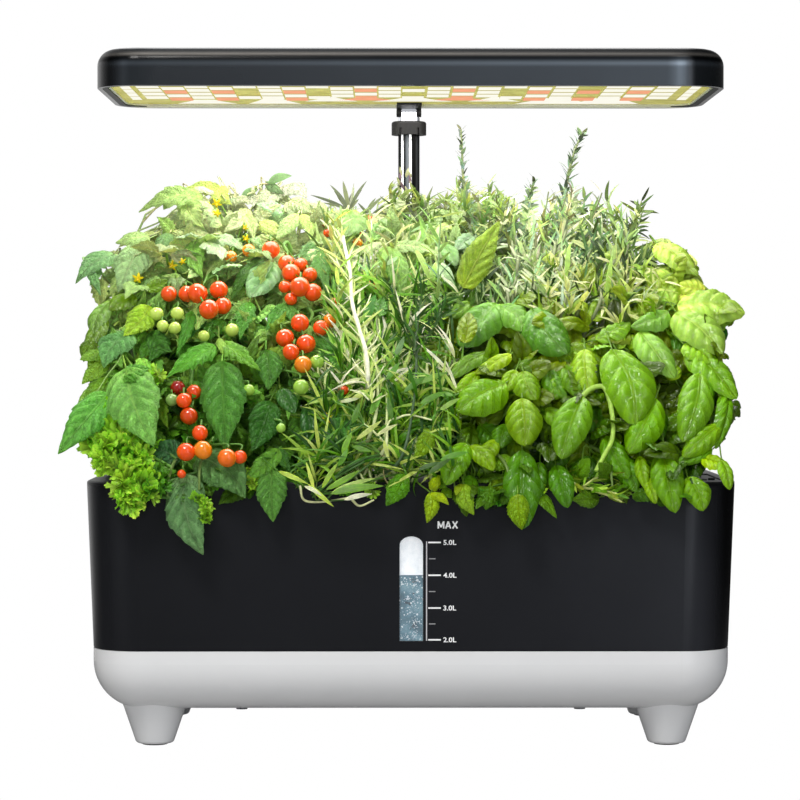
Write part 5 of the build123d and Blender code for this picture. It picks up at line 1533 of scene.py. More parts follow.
# the pale main stem and those beside it, down to the pods
base_l, base_m, base_b = np.array([-42.0, -58, 141]), np.array([-42.0, -4, 141]), np.array([-42.0, 50, 141])
for pts, r, tint in [
    (uvpath((368, 440), (369, 412), dy=12) + uvpath((368, 392), dy=-4) + uvpath((368, 379), (366, 353), (359, 328), (352, 302), (350, 271), (345, 248), (343, 236), dy=-24), 1.45, rgb(236, 238, 206)),
    (uvpath((372, 430), (378, 390), (372, 350), (362, 318), dy=-12), 0.9, rgb(214, 226, 160)),
    (uvpath((384, 440), (386, 380), (380, 330), (376, 300), dy=-8), 0.8, rgb(206, 220, 150)),
    (uvpath((384, 450), (388, 424), (398, 418), (410, 415), (432, 420), dy=-13), 0.8, rgb(222, 230, 170)),
    (uvpath((388, 452), (376, 434), (364, 424), dy=-12), 0.8, rgb(214, 222, 160)),
    (uvpath((428, 440), (440, 392), (452, 366), (462, 362), dy=-5), 0.6, rgb(200, 214, 130)),
    (uvpath((400, 460), (414, 400), (417, 345), (420, 294), dy=-12), 0.9, rgb(70, 96, 62)),
]:
    low = pts[0]
    b0 = base_l if low[1] < -30 else base_m
    cen.mains.append(smooth_path([b0, 0.5 * (b0 + low) + (0, 4, -4)] + pts, 6))
    tube(cen.stem, [b0, 0.5 * (b0 + low) + (0, 4, -4)] + pts, r * 1.15, r * 0.6, tint, 8, 6, 0.12)

for pts, r in [
    (((350, 284), (341, 270), (336, 258)), 0.55), (((347, 262), (353, 248), (358, 240)), 0.6), (((353, 304), (346, 294), (338, 288)), 0.45), (((356, 318), (366, 306), (371, 294)), 0.55),
    (((361, 338), (352, 328), (346, 322)), 0.45), (((365, 352), (375, 342), (380, 330)), 0.55), (((368, 378), (358, 368), (352, 358)), 0.5), (((368, 388), (378, 376), (384, 366)), 0.5),
    (((344, 244), (336, 236), (333, 226)), 0.5), (((369, 400), (360, 392), (350, 390)), 0.5),
]:
    tube(cen.stem, uvpath(*pts, dy=-24), r, 0.3, rgb(222, 230, 178), 6, 5)

for k in range(90):  # upright stems through the whole tuft
    bx = [base_l, base_m, base_b][k % 3] + rng.normal(0, 5, 3) * (1, 1, 0)
    top = np.array([rng.uniform(-66, 44), rng.uniform(-84, 44), rng.uniform(200, 300)])
    if not clear_of_front(top, 14):
        top[1] = top[1] + 34
    top[1] = min(top[1], 40)
    if 385.0 + 2922.0 * (top[0] + 14.0) / (top[1] + 1647.0) > 446:
        top[0] -= 34
    if 385.0 + 2922.0 * (top[0] + 14.0) / (top[1] + 1647.0) < 332:  # clear of the fruit beside it
        top[0] += 24
    mid = 0.4 * bx + 0.6 * top + rng.normal(0, 8, 3)
    mid[2] = 0.5 * (bx[2] + top[2])
    pts = [bx, mid, top]
    deep_in = not clear_of_front(top, 30)
    c = tone("tarragon", seen_v(top), rng)[0] * (0.95 if deep_in else 0.6)
    cen.mains.append(smooth_path(pts, 6))
    sprig(cen, pts, 22, rng.uniform(16, 26), rng.uniform(1.8, 3.0), c, c * 0.9, 0.9, 0.4, kind="blade", key="blade", up=0.9, whorl=2, start=0.15)

# painted shade: shoots low inside are given a dark colour
for k in range(150):  # dark shoots low inside, so that nothing shows through
    a = np.array([rng.uniform(-66, 40), rng.uniform(-70, 40), rng.uniform(146, 216)])
    if not clear_of_front(a, 26):
        a[1] += 30
    a[1] = min(a[1], 42)
    d = unit(rng.normal(0, 0.6, 3) + (0, -0.2, 0.7))
    needles(cen, np.linspace(a, a + d * 20, 5), 9, rng.uniform(14, 22), 2.8, rgb(44, 80, 24), kind="blade", key="blade", up=0.7, whorl=2, start=0.0)

def burst(plant, p, n, long, wide, palette, aim, spread=0.8, key="blade"):
    """Long narrow leaves that leave one node of a stem."""
    rng = plant.rng
    D = unit(np.asarray(aim, float) + rng.normal(0, spread, (n, 3)) * (1, 0.3, 1))
    Tp = p + D * rng.uniform(*long, n)[:, None]
    k_ = 2922.0 / (Tp[:, 1] + 1647.0)
    u_, v_ = 385.0 + k_ * (Tp[:, 0] + 14.0), 348.0 - k_ * (Tp[:, 2] - 215.0)
    ok = inside(Tp) & ~((u_ < 318) & (v_ > 236) & (v_ < 345)) & ~((u_ > 452) & (v_ > 214) & (key == "blade")) & ~((u_ > 456) & (v_ > 318))
    D, Tp = D[ok], Tp[ok]
    m_ = len(Tp)
    if m_ == 0:
        return
    cols = np.array([palette[int(rng.integers(0, len(palette)))] for _ in range(m_)]) * rng.uniform(0.85, 1.12, (m_, 1))
    leaves(
        plant.pile(key), "blade", np.repeat(p[None], m_, 0) + D * 0.4, Tp, rng.normal(0, 0.25, (m_, 3)) + (0, -0.85, 0.55), rng.uniform(*wide, m_),
        rng.normal(0.16, 0.1, m_), 0.16, 0.0, rng.normal(0, 0.5, m_), cols, rng.uniform(0, 0.2, m_), rng,
    )


def centre_palette(v):
    # colours by height, pale near the lamp and darker low down: painted light and shade
    if v < 290:
        return [rgb(*c) for c in ((172, 196, 132), (204, 220, 168), (150, 182, 108), (222, 230, 188), (122, 154, 86))]
    if v < 400:
        return [rgb(*c) for c in ((110, 172, 54), (146, 202, 76), (222, 234, 164), (72, 124, 38), (96, 158, 48), (186, 216, 112), (242, 244, 214), (56, 100, 32))]
    return [rgb(*c) for c in ((76, 132, 26), (122, 174, 46), (186, 208, 100), (44, 84, 18), (60, 112, 24), (90, 148, 32), (146, 188, 62))]


for k in range(60):  # leafy stems just behind the front
    u1, v1 = rng.uniform(308, 464), rng.uniform(236, 400)
    u0, v0 = 388 + (u1 - 388) * rng.uniform(0.3, 0.8), min(484, v1 + rng.uniform(60, 130))
    if u1 < 330 and v1 < 330:
        continue
    dy = rng.uniform(0, 12)
    pts = uvpath((u0, v0), (0.5 * (u0 + u1) + rng.normal(0, 5), 0.5 * (v0 + v1)), (u1, v1), dy=dy)
    own = centre_palette(v1)
    cen.petiole(pts[0], pts[1] - pts[0], 0.6, own[2])
    tube(cen.stem, pts, 0.7, 0.35, own[2], 5, 5)
    path = smooth_path(pts, 5)
    for i in range(1, len(path), 1):
        way = unit(path[i] - path[i - 1])
        burst(cen, path[i], 4, (15, 28), (1.0, 1.8), centre_palette(seen_v(path[i])), way * 0.9 + (0, -0.15, 0), 0.75)
for k in range(70):  # single nodes at the very front
    u, v = rng.uniform(312, 462), rng.uniform(290, 484)
    if (u < 330 and v < 410) or (abs(u - 362) < 12 and v < 385):
        continue
    p = spot(u, v, float(surf(v)) + rng.uniform(-9, 0))
    cen.petiole(p, (0, -0.2, 1), 0.5, rgb(150, 186, 90))
    burst(cen, p, 6, (16, 30), (1.2, 2.0), centre_palette(v), (rng.normal(0, 0.5), -0.1, 0.5), 0.7)

# rosettes against the white along the top edge
for u, v, s, c in [
    (346, 205, 28, "olive"), (352, 196, 22, "olive_dark"), (396, 208, 22, "olive_dark"), (390, 194, 16, "olive"), (412, 208, 16, "olive"),
    (420, 214, 30, "olive"), (424, 204, 26, "olive_dark"), (446, 208, 22, "olive"), (462, 204, 24, "tan"), (458, 190, 20, "tan"), (470, 212, 26, "olive"),
    (490, 206, 24, "tan"), (500, 216, 24, "olive"), (482, 226, 26, "ros_dark"), (436, 226, 22, "olive_dark"),
    (456, 220, 22, "olive"), (332, 206, 22, "olive"), (376, 208, 18, "olive"), (470, 250, 30, "ros_dark"), (478, 262, 32, "ros_dark"), (460, 236, 26, "olive_dark"),
]:
    y = float(surf(v)) + rng.uniform(-2, 6)
    if 384 < u < 428:
        y = min(y, 44)
    a = spot(u, v + s * 0.5, y)
    b_ = spot(u + rng.uniform(-3, 3), v - s * 0.35, y)
    cen.petiole(a, b_ - a, 0.6)
    sprig(cen, [a, 0.5 * (a + b_), b_], 9, s * 0.72, 1.6, C[c], C["tan"], 0.7, 0.35, up=0.7, whorl=3, start=0.0, key="needle")
for k in range(80):  # pale foliage under the top edge, in front of the mast
    u, v = rng.uniform(318, 500), rng.uniform(206, 262)
    p = spot(u, v, min(float(surf(v)) + rng.uniform(0, 12), 46.0))
    d = unit(rng.normal(0, 0.8, 3) * (1, 0.4, 0.7) + (0, -0.3, 0.1))
    L = rng.uniform(12, 20)
    if not inside(p + d * L)[0]:
        continue
    c = rgb(*((176, 204, 140), (158, 192, 120), (196, 216, 160), (132, 170, 96), (206, 222, 150))[int(rng.integers(0, 5))])
    kind = ("mint", "basil", "tomato")[int(rng.integers(0, 3))]
    leaves(cen.pile(kind), kind, p, p + d * L, (rng.normal(0, 0.3), -0.75, 0.6), rng.uniform(8, 13), 0.15, 0.2, 0.02, rng.normal(0, 0.3), np.array(c) * rng.uniform(0.85, 1.1), 0.1, rng)
    cen.petiole(p, d, 0.4)
for k in range(30):
    u, v = rng.uniform(318, 506), rng.uniform(208, 268)
    p = spot(u, v, min(float(surf(v)) + rng.uniform(-3, 6), 44.0))
    if not inside(p)[0]:
        continue
    cen.petiole(p, (0, 0, 1), 0.4, rgb(170, 190, 120))
    burst(cen, p, 6, (10, 20), (1.1, 1.8), [rgb(160, 186, 112), rgb(116, 144, 76), rgb(200, 216, 158), rgb(84, 116, 54), rgb(140, 170, 92)], (0, -0.1, 0.45), 0.8)

K = []
A = K.append
# the blades' listed colours are scaled down, painted shade against the strong light under the lamp
for u1, v1, w, c in (
    (330, 185, 3.4, (104, 126, 78)), (343, 181, 4.4, (140, 158, 96)), (367, 181, 3.2, (112, 134, 84)), (337, 196, 3.6, (120, 142, 84)), (310, 195, 3.2, (96, 120, 76)),
    (359, 199, 3.0, (150, 168, 108)), (354, 183, 2.0, (206, 216, 180)), (352, 193, 3.4, (84, 106, 60)), (346, 190, 3.2, (164, 180, 120)), (338, 206, 3.0, (90, 116, 66)),
    (322, 203, 2.6, (130, 150, 100)), (362, 190, 2.6, (96, 118, 70)), (334, 191, 2.6, (146, 164, 104)),
):
    A(("blade", 349, 210, u1, v1, w, np.array(rgb(*c)) * 0.3, dict(dy=6, arch=0.1, face=(0, -0.9, 0.4), stalk=False)))
for u0, v0, u1, v1, w, c in (
    (366, 214, 376, 198, 3.0, (110, 134, 78)), (366, 214, 384, 196, 3.2, (124, 146, 90)), (368, 214, 358, 203, 2.6, (90, 114, 62)), (372, 214, 391, 204, 3.0, (96, 122, 68)),
    (398, 216, 380, 196, 3.2, (108, 132, 76)), (399, 216, 388, 188, 3.4, (136, 154, 92)), (404, 216, 397, 183, 3.6, (150, 166, 100)), (402, 216, 412, 190, 3.2, (112, 132, 78)),
    (418, 222, 433, 186, 3.2, (116, 138, 84)), (418, 222, 404, 202, 3.0, (90, 110, 60)), (419, 222, 428, 196, 2.8, (150, 164, 104)), (420, 224, 440, 206, 3.0, (100, 124, 70)),
    (418, 222, 410, 196, 2.8, (138, 154, 96)), (444, 220, 448, 190, 3.0, (168, 178, 118)), (444, 220, 436, 198, 3.0, (130, 148, 92)), (444, 220, 455, 200, 3.0, (112, 134, 80)),
):
    A(("blade", u0, v0, u1, v1, w, np.array(rgb(*c)) * 0.36, dict(dy=8, arch=0.1, face=(0, -0.9, 0.4))))
A(("basil", 348, 210, 345, 237, 35, rgb(138, 184, 92), dict(dy=-6, face=(0, -0.95, 0.25), arch=0.06, cup=0.12)))
A(("broad", 384, 247, 403, 297, 29, rgb(150, 198, 104), dict(dy=-8, face=(0, -0.9, 0.4), wave=0.04)))
A(("tomato", 392, 245, 438, 254, 18, rgb(164, 196, 128), dict(dy=-4, face=(0, -0.5, 0.85), arch=0.14)))
A(("mint", 380, 242, 366, 254, 12, rgb(186, 208, 150), dict(dy=-4, face=(0, -0.5, 0.9))))
A(("basil", 373, 240, 382, 222, 15, rgb(142, 192, 104), dict(dy=2)))
A(("basil", 436, 262, 454, 288, 17, rgb(172, 206, 152), dict(dy=-2)))
A(("basil", 442, 244, 456, 266, 16, rgb(124, 174, 94), dict(dy=0)))
A(("basil", 474, 234, 456, 250, 18, rgb(142, 178, 132), dict(dy=0, face=(0, -0.7, 0.7))))
A(("mint", 436, 236, 454, 221, 16, rgb(196, 222, 132), dict(dy=2)))
A(("mint", 420, 236, 442, 240, 12, rgb(150, 186, 90), dict(dy=2)))
A(("blade", 415, 249, 431, 284, 6, rgb(152, 188, 84), dict(dy=-10)))
A(("blade", 428, 290, 436, 262, 7, rgb(150, 196, 80), dict(dy=-4)))
A(("broad", 463, 288, 500, 221, 33, rgb(148, 184, 62), dict(dy=-10, face=(0.1, -0.95, 0.3), arch=0.05)))
A(("basil", 464, 343, 469, 312, 20, rgb(138, 168, 40), dict(dy=-12)))
A(("basil", 380, 316, 384, 297, 16, rgb(112, 172, 84), dict(dy=-4)))
A(("blade", 365, 323, 376, 294, 10, rgb(72, 142, 54), dict(dy=-4)))
A(("blade", 410, 298, 398, 262, 8, rgb(146, 196, 84), dict(dy=0)))
A(("mint", 405, 474, 386, 506, 24, rgb(84, 144, 34), dict(dy=-2, face=(0, -0.9, 0.3))))
A(("mint", 430, 430, 414, 459, 20, rgb(124, 168, 34), dict(dy=-4)))
A(("mint", 432, 428, 452, 434, 14, rgb(104, 150, 34), dict(dy=-2, face=(0, -0.5, 0.85))))
A(("blade", 398, 450, 408, 470, 9, rgb(66, 100, 44), dict(dy=-2)))
A(("blade", 455, 395, 430, 396, 5, rgb(104, 160, 60), dict(dy=-4, face=(0, -0.6, 0.8))))
for u0, v0, u1, v1, w, c in [
    (278, 471, 308, 484, 5, (176, 206, 70)), (308, 484, 334, 507, 5, (186, 214, 80)), (314, 490, 306, 462, 4, (196, 216, 90)),
    (322, 488, 338, 462, 5, (150, 190, 60)), (326, 490, 360, 470, 6, (110, 160, 40)), (330, 494, 384, 486, 8, (104, 152, 50)),
    (332, 492, 376, 478, 5, (168, 200, 100)), (304, 486, 322, 496, 4, (226, 232, 190)), (344, 500, 372, 494, 5, (230, 236, 200)),
    (342, 454, 352, 432, 6, (120, 176, 50)), (356, 440, 382, 420, 5, (190, 210, 110)), (352, 446, 372, 452, 5, (90, 140, 40)),
    (376, 436, 398, 424, 4, (206, 216, 150)), (384, 440, 390, 462, 4, (180, 196, 100)), (338, 466, 348, 448, 6, (100, 160, 50)),
    (350, 400, 372, 388, 5, (196, 216, 110)), (344, 384, 362, 378, 5, (216, 226, 170)), (340, 402, 360, 398, 4, (200, 214, 160)),
    (386, 380, 400, 362, 6, (96, 150, 60)), (404, 392, 426, 376, 6, (88, 140, 56)), (420, 404, 446, 392, 6, (96, 150, 50)),
    (416, 384, 448, 372, 6, (120, 168, 70)), (440, 410, 460, 398, 5, (140, 180, 80)), (392, 420, 388, 396, 6, (84, 130, 50)),
    (370, 414, 382, 392, 7, (110, 170, 60)), (352, 424, 360, 402, 6, (88, 140, 40)), (394, 358, 404, 336, 6, (104, 140, 90)),
    (440, 460, 470, 452, 6, (90, 150, 40)), (428, 474, 452, 458, 6, (70, 110, 40)), (418, 470, 440, 462, 5, (60, 96, 40)),
]:
    A(("blade", u0, v0, u1, v1, w, rgb(*c), dict(dy=-9, arch=0.08, face=(0, -0.9, 0.45))))
for t in K:
    hero(cen, *t[:7], **{**t[7], "dy": t[7].get("dy", 0) - 8})
for (u, v), n_ in (((346, 256), 6), ((350, 276), 7), ((353, 300), 7), ((358, 322), 8), ((364, 344), 8), ((367, 366), 8), ((369, 388), 6), ((372, 404), 5)):
    for _ in range(n_):
        c = rgb(*((222, 232, 168), (196, 218, 118), (150, 190, 84))[int(rng.integers(0, 3))])
        a_ = rng.uniform(-0.6, 1.15) * (1 if rng.uniform() < 0.55 else -1)
        L = rng.uniform(18, 36)
        hero(cen, "blade", u, v + rng.uniform(-9, 9), u + L * math.sin(a_), v - L * math.cos(a_) + rng.uniform(0, 8), rng.uniform(1.7, 2.9), c, dy=-22, arch=0.1, face=(0, -0.9, 0.45), stalk=False)
for pts, n_, L in [(uvpath((414, 352), (417, 330), (420, 308), (421, 288), dy=-18), 34, 13.0), (uvpath((426, 340), (436, 322), (446, 300), dy=-16), 22, 11.0), (uvpath((408, 330), (400, 312), (394, 296), dy=-16), 16, 10.0)]:
    cen.petiole(pts[0], (0, -0.2, 1), 0.5, rgb(90, 110, 66))
    tube(cen.stem, pts, 0.7, 0.35, rgb(84, 108, 66), 6, 5)
    needles(cen, smooth_path(pts, 6), n_, L, 1.35, rgb(64, 98, 60), up=0.7, whorl=2, start=0.0, spread=0.12)
# loose wiry shoots on the rim
for pts in [((366, 470), (362, 452), (372, 440), (382, 452), (384, 476), (390, 486)), ((380, 466), (392, 470), (398, 462)), ((300, 486), (304, 500), (322, 502), (348, 498)), ((352, 500), (360, 506), (374, 500))]:
    low_rim = pts[0][1] > 484
    tube(cen.stem, uvpath(*pts, dy=-3), 0.75 if low_rim else 0.42, 0.5 if low_rim else 0.3, rgb(214, 216, 160) if low_rim else rgb(150, 142, 88), 6, 6)
# pale and purple young leaves by the mast
for u, v, long, c in (
    (402, 176, 9, (196, 200, 160)), (406, 178, 10, (206, 208, 168)), (410, 184, 9, (134, 108, 130)), (400, 186, 9, (170, 178, 132)), (412, 190, 9, (176, 184, 140)), (404, 190, 10, (120, 96, 116)),
    (408, 196, 10, (190, 196, 150)), (399, 198, 10, (186, 194, 146)), (414, 200, 10, (150, 158, 112)), (403, 202, 10, (202, 206, 164)), (401, 180, 7, (150, 124, 146)), (411, 178, 7, (188, 192, 152)),
):
    a = spot(u, v, 43.0)
    leaves(cen.pile("blade"), "blade", a, a + np.array([rng.uniform(-2.5, 2.5), -1, 0.58 * long]), (rng.uniform(-0.5, 0.5), -1, 0.2), 1.7, 0.1, 0.2, 0.0, 0.0, rgb(*c), 0.0, rng)

# ------------------------------------------------------------------ rosemary, behind right
ros = Plant([(42, -4), (42, 50)], 11)
rng = ros.rng
rb = np.array([42.0, 50, 141])
rm = np.array([42.0, -4, 141])
for pts, n_, L, W, c, own in [
    ([(461, 130), (462, 150), (463, 176), (468, 205), (474, 240), (478, 280)], 46, 9.5, 1.5, "ros_blue", 30),
    ([(582, 133), (575, 150), (570, 167), (564, 196), (557, 235), (549, 273)], 60, 11, 1.6, "ros_blue", 24),
    ([(534, 179), (530, 196), (525, 212), (520, 240), (516, 276)], 34, 10, 1.6, "ros_blue", 26),
    ([(488, 184), (490, 200), (492, 219), (488, 250)], 20, 12, 1.6, "ros_mid", 24),
    ([(585, 196), (580, 220), (574, 250), (566, 284)], 30, 10, 2.0, "ros_dark", 34),
    ([(607, 203), (612, 222), (616, 250), (612, 282)], 18, 17, 2.2, "ros_mid", 24),
    ([(641, 202), (634, 222), (622, 244), (618, 270)], 18, 13, 1.8, "olive_dark", 24),
    ([(556, 214), (560, 232), (556, 262)], 18, 13, 1.8, "ros_mid", 20),
    ([(544, 216), (546, 240), (540, 270)], 18, 12, 1.7, "ros_mid", 18),
    ([(572, 198), (568, 220), (560, 250)], 20, 11, 1.7, "ros_grey", 22),
    ([(592, 214), (592, 236), (586, 262)], 18, 14, 2.0, "ros_dark", 28),
    ([(632, 236), (618, 250), (608, 274)], 16, 15, 1.9, "ros_mid", 22),
    ([(508, 214), (510, 236), (512, 262)], 16, 14, 1.8, "ros_mid", 26),
    ([(524, 246), (518, 270), (512, 300)], 18, 12, 1.6, "ros_mid", 10),
    ([(536, 250), (534, 276), (532, 300)], 18, 12, 1.7, "ros_grey", 8),
    ([(548, 262), (546, 286), (544, 312)], 18, 11, 1.7, "tar_deep", 6),
    ([(570, 262), (566, 284), (562, 312)], 18, 12, 1.7, "ros_grey", 6),
    ([(590, 258), (586, 280), (580, 308)], 18, 12, 1.8, "ros_dark", 8),
    ([(604, 262), (600, 284), (596, 312)], 18, 13, 1.8, "tar_mid", 6),
    ([(500, 262), (504, 284), (508, 310)], 16, 12, 1.7, "ros_mid", 8),
    ([(498, 206), (508, 226), (516, 250)], 18, 15, 1.7, "olive", 8),
    ([(620, 214), (624, 236), (622, 262)], 18, 15, 1.8, "ros_mid", 8),
    ([(566, 226), (562, 250), (558, 278)], 22, 12, 1.7, "ros_grey", 6),
    ([(536, 222), (530, 244), (528, 272)], 20, 13, 1.7, "ros_grey", 6),
    ([(600, 232), (596, 256), (590, 284)], 20, 13, 1.8, "ros_dark", 6),
    ([(632, 250), (628, 270), (620, 296)], 18, 13, 1.8, "olive_dark", 6),
    ([(484, 268), (490, 292), (494, 316)], 18, 13, 1.7, "ros_dark", 6),
]:
    p = [spot(u, v, min(own, float(surf(v)) - 2.0 + 1.5 * (k % 2))) for k, (u, v) in enumerate(pts)][::-1]
    low = p[0]
    b0 = rm
    full = [b0, 0.5 * (b0 + low) + (0, 0, -6)] + p
    ros.mains.append(smooth_path(full, 6))
    tube(ros.stem, full, 1.5, 0.5, rgb(120, 130, 90), 7, 6)
    tall = c == "ros_blue"
    needles(ros, smooth_path(p, 6), int(n_ * (1.02 if tall else 0.85)), L * (0.85 if tall else 1.2), W * (1.3 if tall else 0.95), C[c], up=1.05 if tall else 0.85, whorl=2, start=0.0, spread=0.1, clip=False, deep=0.24 if tall else 0.26)
for k in range(96):
    b0 = (rb if k % 2 else rm) + rng.normal(0, 4, 3) * (1, 1, 0)
    top = np.array([rng.uniform(36, 118), rng.uniform(-30, 48), rng.uniform(236, 306)])
    if not clear_of_front(top, 10):
        top[1] += 26
    top[1] = min(top[1], 46)
    mid = 0.5 * (b0 + top) + rng.normal(0, 6, 3)
    pts = [b0, mid, top]
    ros.mains.append(smooth_path(pts, 6))
    tube(ros.stem, pts, 1.2, 0.4, rgb(120, 130, 90), 6, 5)
    needles(ros, smooth_path(pts, 6), 26, rng.uniform(12, 18), 1.7, tone("rosemary", seen_v(top), rng)[0], up=0.8, whorl=2, start=0.25, deep=0.3)
ros_palette = [rgb(*c) for c in ((192, 210, 166), (142, 170, 112), (104, 136, 84), (226, 234, 204), (166, 192, 132), (74, 106, 62), (60, 90, 54))]
for k in range(40):
    u, v = rng.uniform(474, 648), rng.uniform(236, 318)
    p = spot(u, v, min(float(surf(v)) + rng.uniform(-2, 10), 46.0))
    if not inside(p)[0] or (u > 600 and v < 238):
        continue
    ros.petiole(p, (0, 0, 1), 0.4, rgb(140, 150, 104))
    burst(ros, p, 6, (8, 17), (0.9, 1.6), ros_palette, (0, -0.1, 0.6), 0.6, key="needle")


def herring(plant, pts, pairs, long, wide, palette, dy=-4.0):
    """A shoot whose paired needles spread to both sides as seen from the front."""
    rng = plant.rng
    pts = [spot(u, v, min(float(surf(v)) + dy, 46.0)) for u, v in pts]
    tube(plant.stem, pts, 0.6, 0.35, palette[0] * np.array([0.7, 0.72, 0.6]), 6, 6)
    path = smooth_path(pts, 8)
    B, Tp = [], []
    for i in range(pairs):
        s = (i + 0.5) / pairs
        k = s * (len(path) - 2)
        p = path[int(k)] + (path[int(k) + 1] - path[int(k)]) * (k - int(k))
        ax = unit(path[int(k) + 1] - path[int(k)])
        side = unit(np.cross(ax, (0, -1, 0)))
        for q in (-1, 1):
            d = unit(ax * rng.uniform(0.7, 1.2) + side * q * rng.uniform(0.7, 1.1) + (0, rng.uniform(-0.6, 0.1), 0))
            B.append(p)
            Tp.append(p + d * long * rng.uniform(0.75, 1.1) * (1.0 - 0.5 * s**3))
    n = len(B)
    cols = np.array([palette[int(rng.integers(0, len(palette)))] for _ in range(n)]) * rng.uniform(0.88, 1.12, (n, 1))
    leaves(
        plant.pile("needle"), "needle", np.array(B), np.array(Tp), rng.normal(0, 0.2, (n, 3)) + (0, -0.8, 0.6), wide * rng.uniform(0.8, 1.2, n),
        rng.normal(0.1, 0.06, n), 0.12, 0.0, 0.0, cols, rng.uniform(0, 0.12, n), rng,
    )
    plant.petiole(pts[0], pts[1] - pts[0], 0.6, palette[0] * np.array([0.7, 0.72, 0.6]))


ros_light = [rgb(*c) for c in ((190, 204, 160), (152, 178, 116), (206, 218, 178), (76, 104, 62), (132, 162, 96))]
ros_deep = [rgb(*c) for c in ((120, 148, 84), (70, 100, 52), (150, 172, 100), (46, 70, 40), (176, 192, 124))]
for pts, n_, L, W, pal in (
    ([(547, 300), (551, 281), (556, 255), (559, 228)], 17, 14, 1.6, ros_light),
    ([(505, 300), (513, 274), (524, 254), (532, 236)], 16, 13, 1.6, ros_light),
    ([(531, 300), (534, 282), (534, 266), (533, 250)], 13, 11, 1.6, ros_light),
    ([(598, 286), (605, 268), (609, 250), (606, 210)], 15, 17, 1.8, ros_deep),
    ([(612, 266), (624, 248), (636, 230), (644, 206)], 12, 14, 1.8, ros_deep),
    ([(594, 282), (590, 262), (584, 240), (578, 220)], 14, 13, 1.7, ros_deep),
    ([(484, 296), (482, 272), (478, 252), (480, 232)], 14, 14, 1.7, ros_deep),
    ([(566, 306), (570, 288), (576, 270), (584, 256)], 13, 12, 1.6, ros_light),
    ([(622, 290), (630, 274), (640, 262), (650, 256)], 12, 14, 1.7, ros_deep),
    ([(498, 246), (496, 228), (500, 210), (506, 196)], 11, 12, 1.6, ros_deep),
    ([(524, 238), (527, 222), (530, 206), (534, 184)], 14, 9, 1.8, ros_light),
    ([(566, 232), (572, 216), (578, 204)], 10, 10, 1.8, ros_light),
):
    herring(ros, pts, n_, L, W, pal)
sun_palette = [rgb(*c) for c in ((186, 206, 104), (206, 214, 146), (160, 190, 76), (134, 168, 62), (220, 224, 170))]
for k in range(46):
    u, v = rng.uniform(536, 664), rng.uniform(266, 326)
    p = spot(u, v, min(float(surf(v)) + rng.uniform(-5, 3), 46.0))
    if not inside(p)[0]:
        continue
    ros.petiole(p, (0, 0, 1), 0.35, rgb(150, 164, 90))
    burst(ros, p, 5, (8, 16), (1.1, 2.0), sun_palette, (0, -0.2, 0.7), 0.7, key="needle")
deep_palette = [rgb(*c) for c in ((70, 108, 50), (96, 138, 62), (128, 164, 92), (54, 84, 40), (160, 188, 120))]
for k in range(18):
    u, v = rng.uniform(442, 478), rng.uniform(280, 324)
    p = spot(u, v, float(surf(v)) + rng.uniform(4, 16))
    ros.petiole(p, (0, 0, 1), 0.4, rgb(110, 134, 70))
    burst(ros, p, 7, (10, 18), (1.4, 2.4), deep_palette, (0, -0.1, 0.5), 0.7, key="needle")
front_fill(ros, "basil", [(442, 276, 486, 332)], 18, (12, 18), (18, 26), shade="tarragon", aim=(0, -0.3, 0.2), deep=(18, 32), dark=0.5)
R_ = []
A = R_.append
A(("mint", 548, 268, 566, 256, 16, rgb(190, 212, 100), dict(dy=2)))
A(("mint", 600, 286, 618, 262, 22, rgb(176, 206, 84), dict(dy=0, face=(0, -0.8, 0.6))))
A(("basil", 610, 292, 628, 276, 18, rgb(170, 204, 74), dict(dy=0)))
A(("basil", 638, 262, 652, 242, 9, rgb(160, 196, 90), dict(dy=4)))
A(("basil", 524, 258, 506, 232, 22, rgb(112, 156, 92), dict(dy=12)))
A(("basil", 540, 250, 552, 232, 18, rgb(120, 162, 96), dict(dy=12)))
A(("blade", 575, 312, 592, 288, 5, rgb(196, 206, 90), dict(dy=-6)))
A(("blade", 606, 300, 612, 254, 5, rgb(146, 184, 78), dict(dy=-6)))
A(("blade", 566, 280, 570, 242, 5, rgb(146, 184, 84), dict(dy=-6)))
A(("basil", 592, 320, 612, 300, 20, rgb(150, 190, 60), dict(dy=2)))
A(("mint", 618, 300, 640, 284, 18, rgb(170, 200, 90), dict(dy=2)))
for t in R_:
    hero(ros, *t[:7], **t[7])

# ------------------------------------------------------------------ basil, right
bas = Plant([(118, -58), (118, -4), (42, -58)], 13)
bas.hue = np.array([1.18, 1.03, 0.6])
bas.twig = np.array(rgb(118, 158, 52))
rng = bas.rng
bas.main([(118, -58, 140), (122, -64, 175), (128, -62, 210), (134, -52, 246)], 2.0, 1.0)
bas.main([(118, -58, 142), (148, -74, 168), (166, -72, 200), (170, -60, 226)], 1.8, 0.9)
bas.main([(118, -4, 140), (124, -2, 190), (140, 0, 236), (152, -6, 262)], 1.9, 1.0)
bas.main([(42, -58, 140), (46, -66, 172), (52, -64, 206), (60, -50, 232)], 1.9, 1.0)
bas.main([(44, -58, 142), (74, -78, 166), (88, -78, 198), (92, -64, 226)], 1.7, 0.9)
bas.main([(118, 50, 140), (122, 58, 185), (128, 60, 226)], 1.9, 1.0)
bas.main([(42, -58, 142), (32, -82, 160), (22, -90, 178), (16, -84, 200)], 1.5, 0.8)
bas.main([(120, -56, 142), (104, -84, 158), (84, -94, 168)], 1.6, 0.8)
# the listed colours carry painted light and shade: pale near the lamp, darker low down
B_ = []
A = B_.append
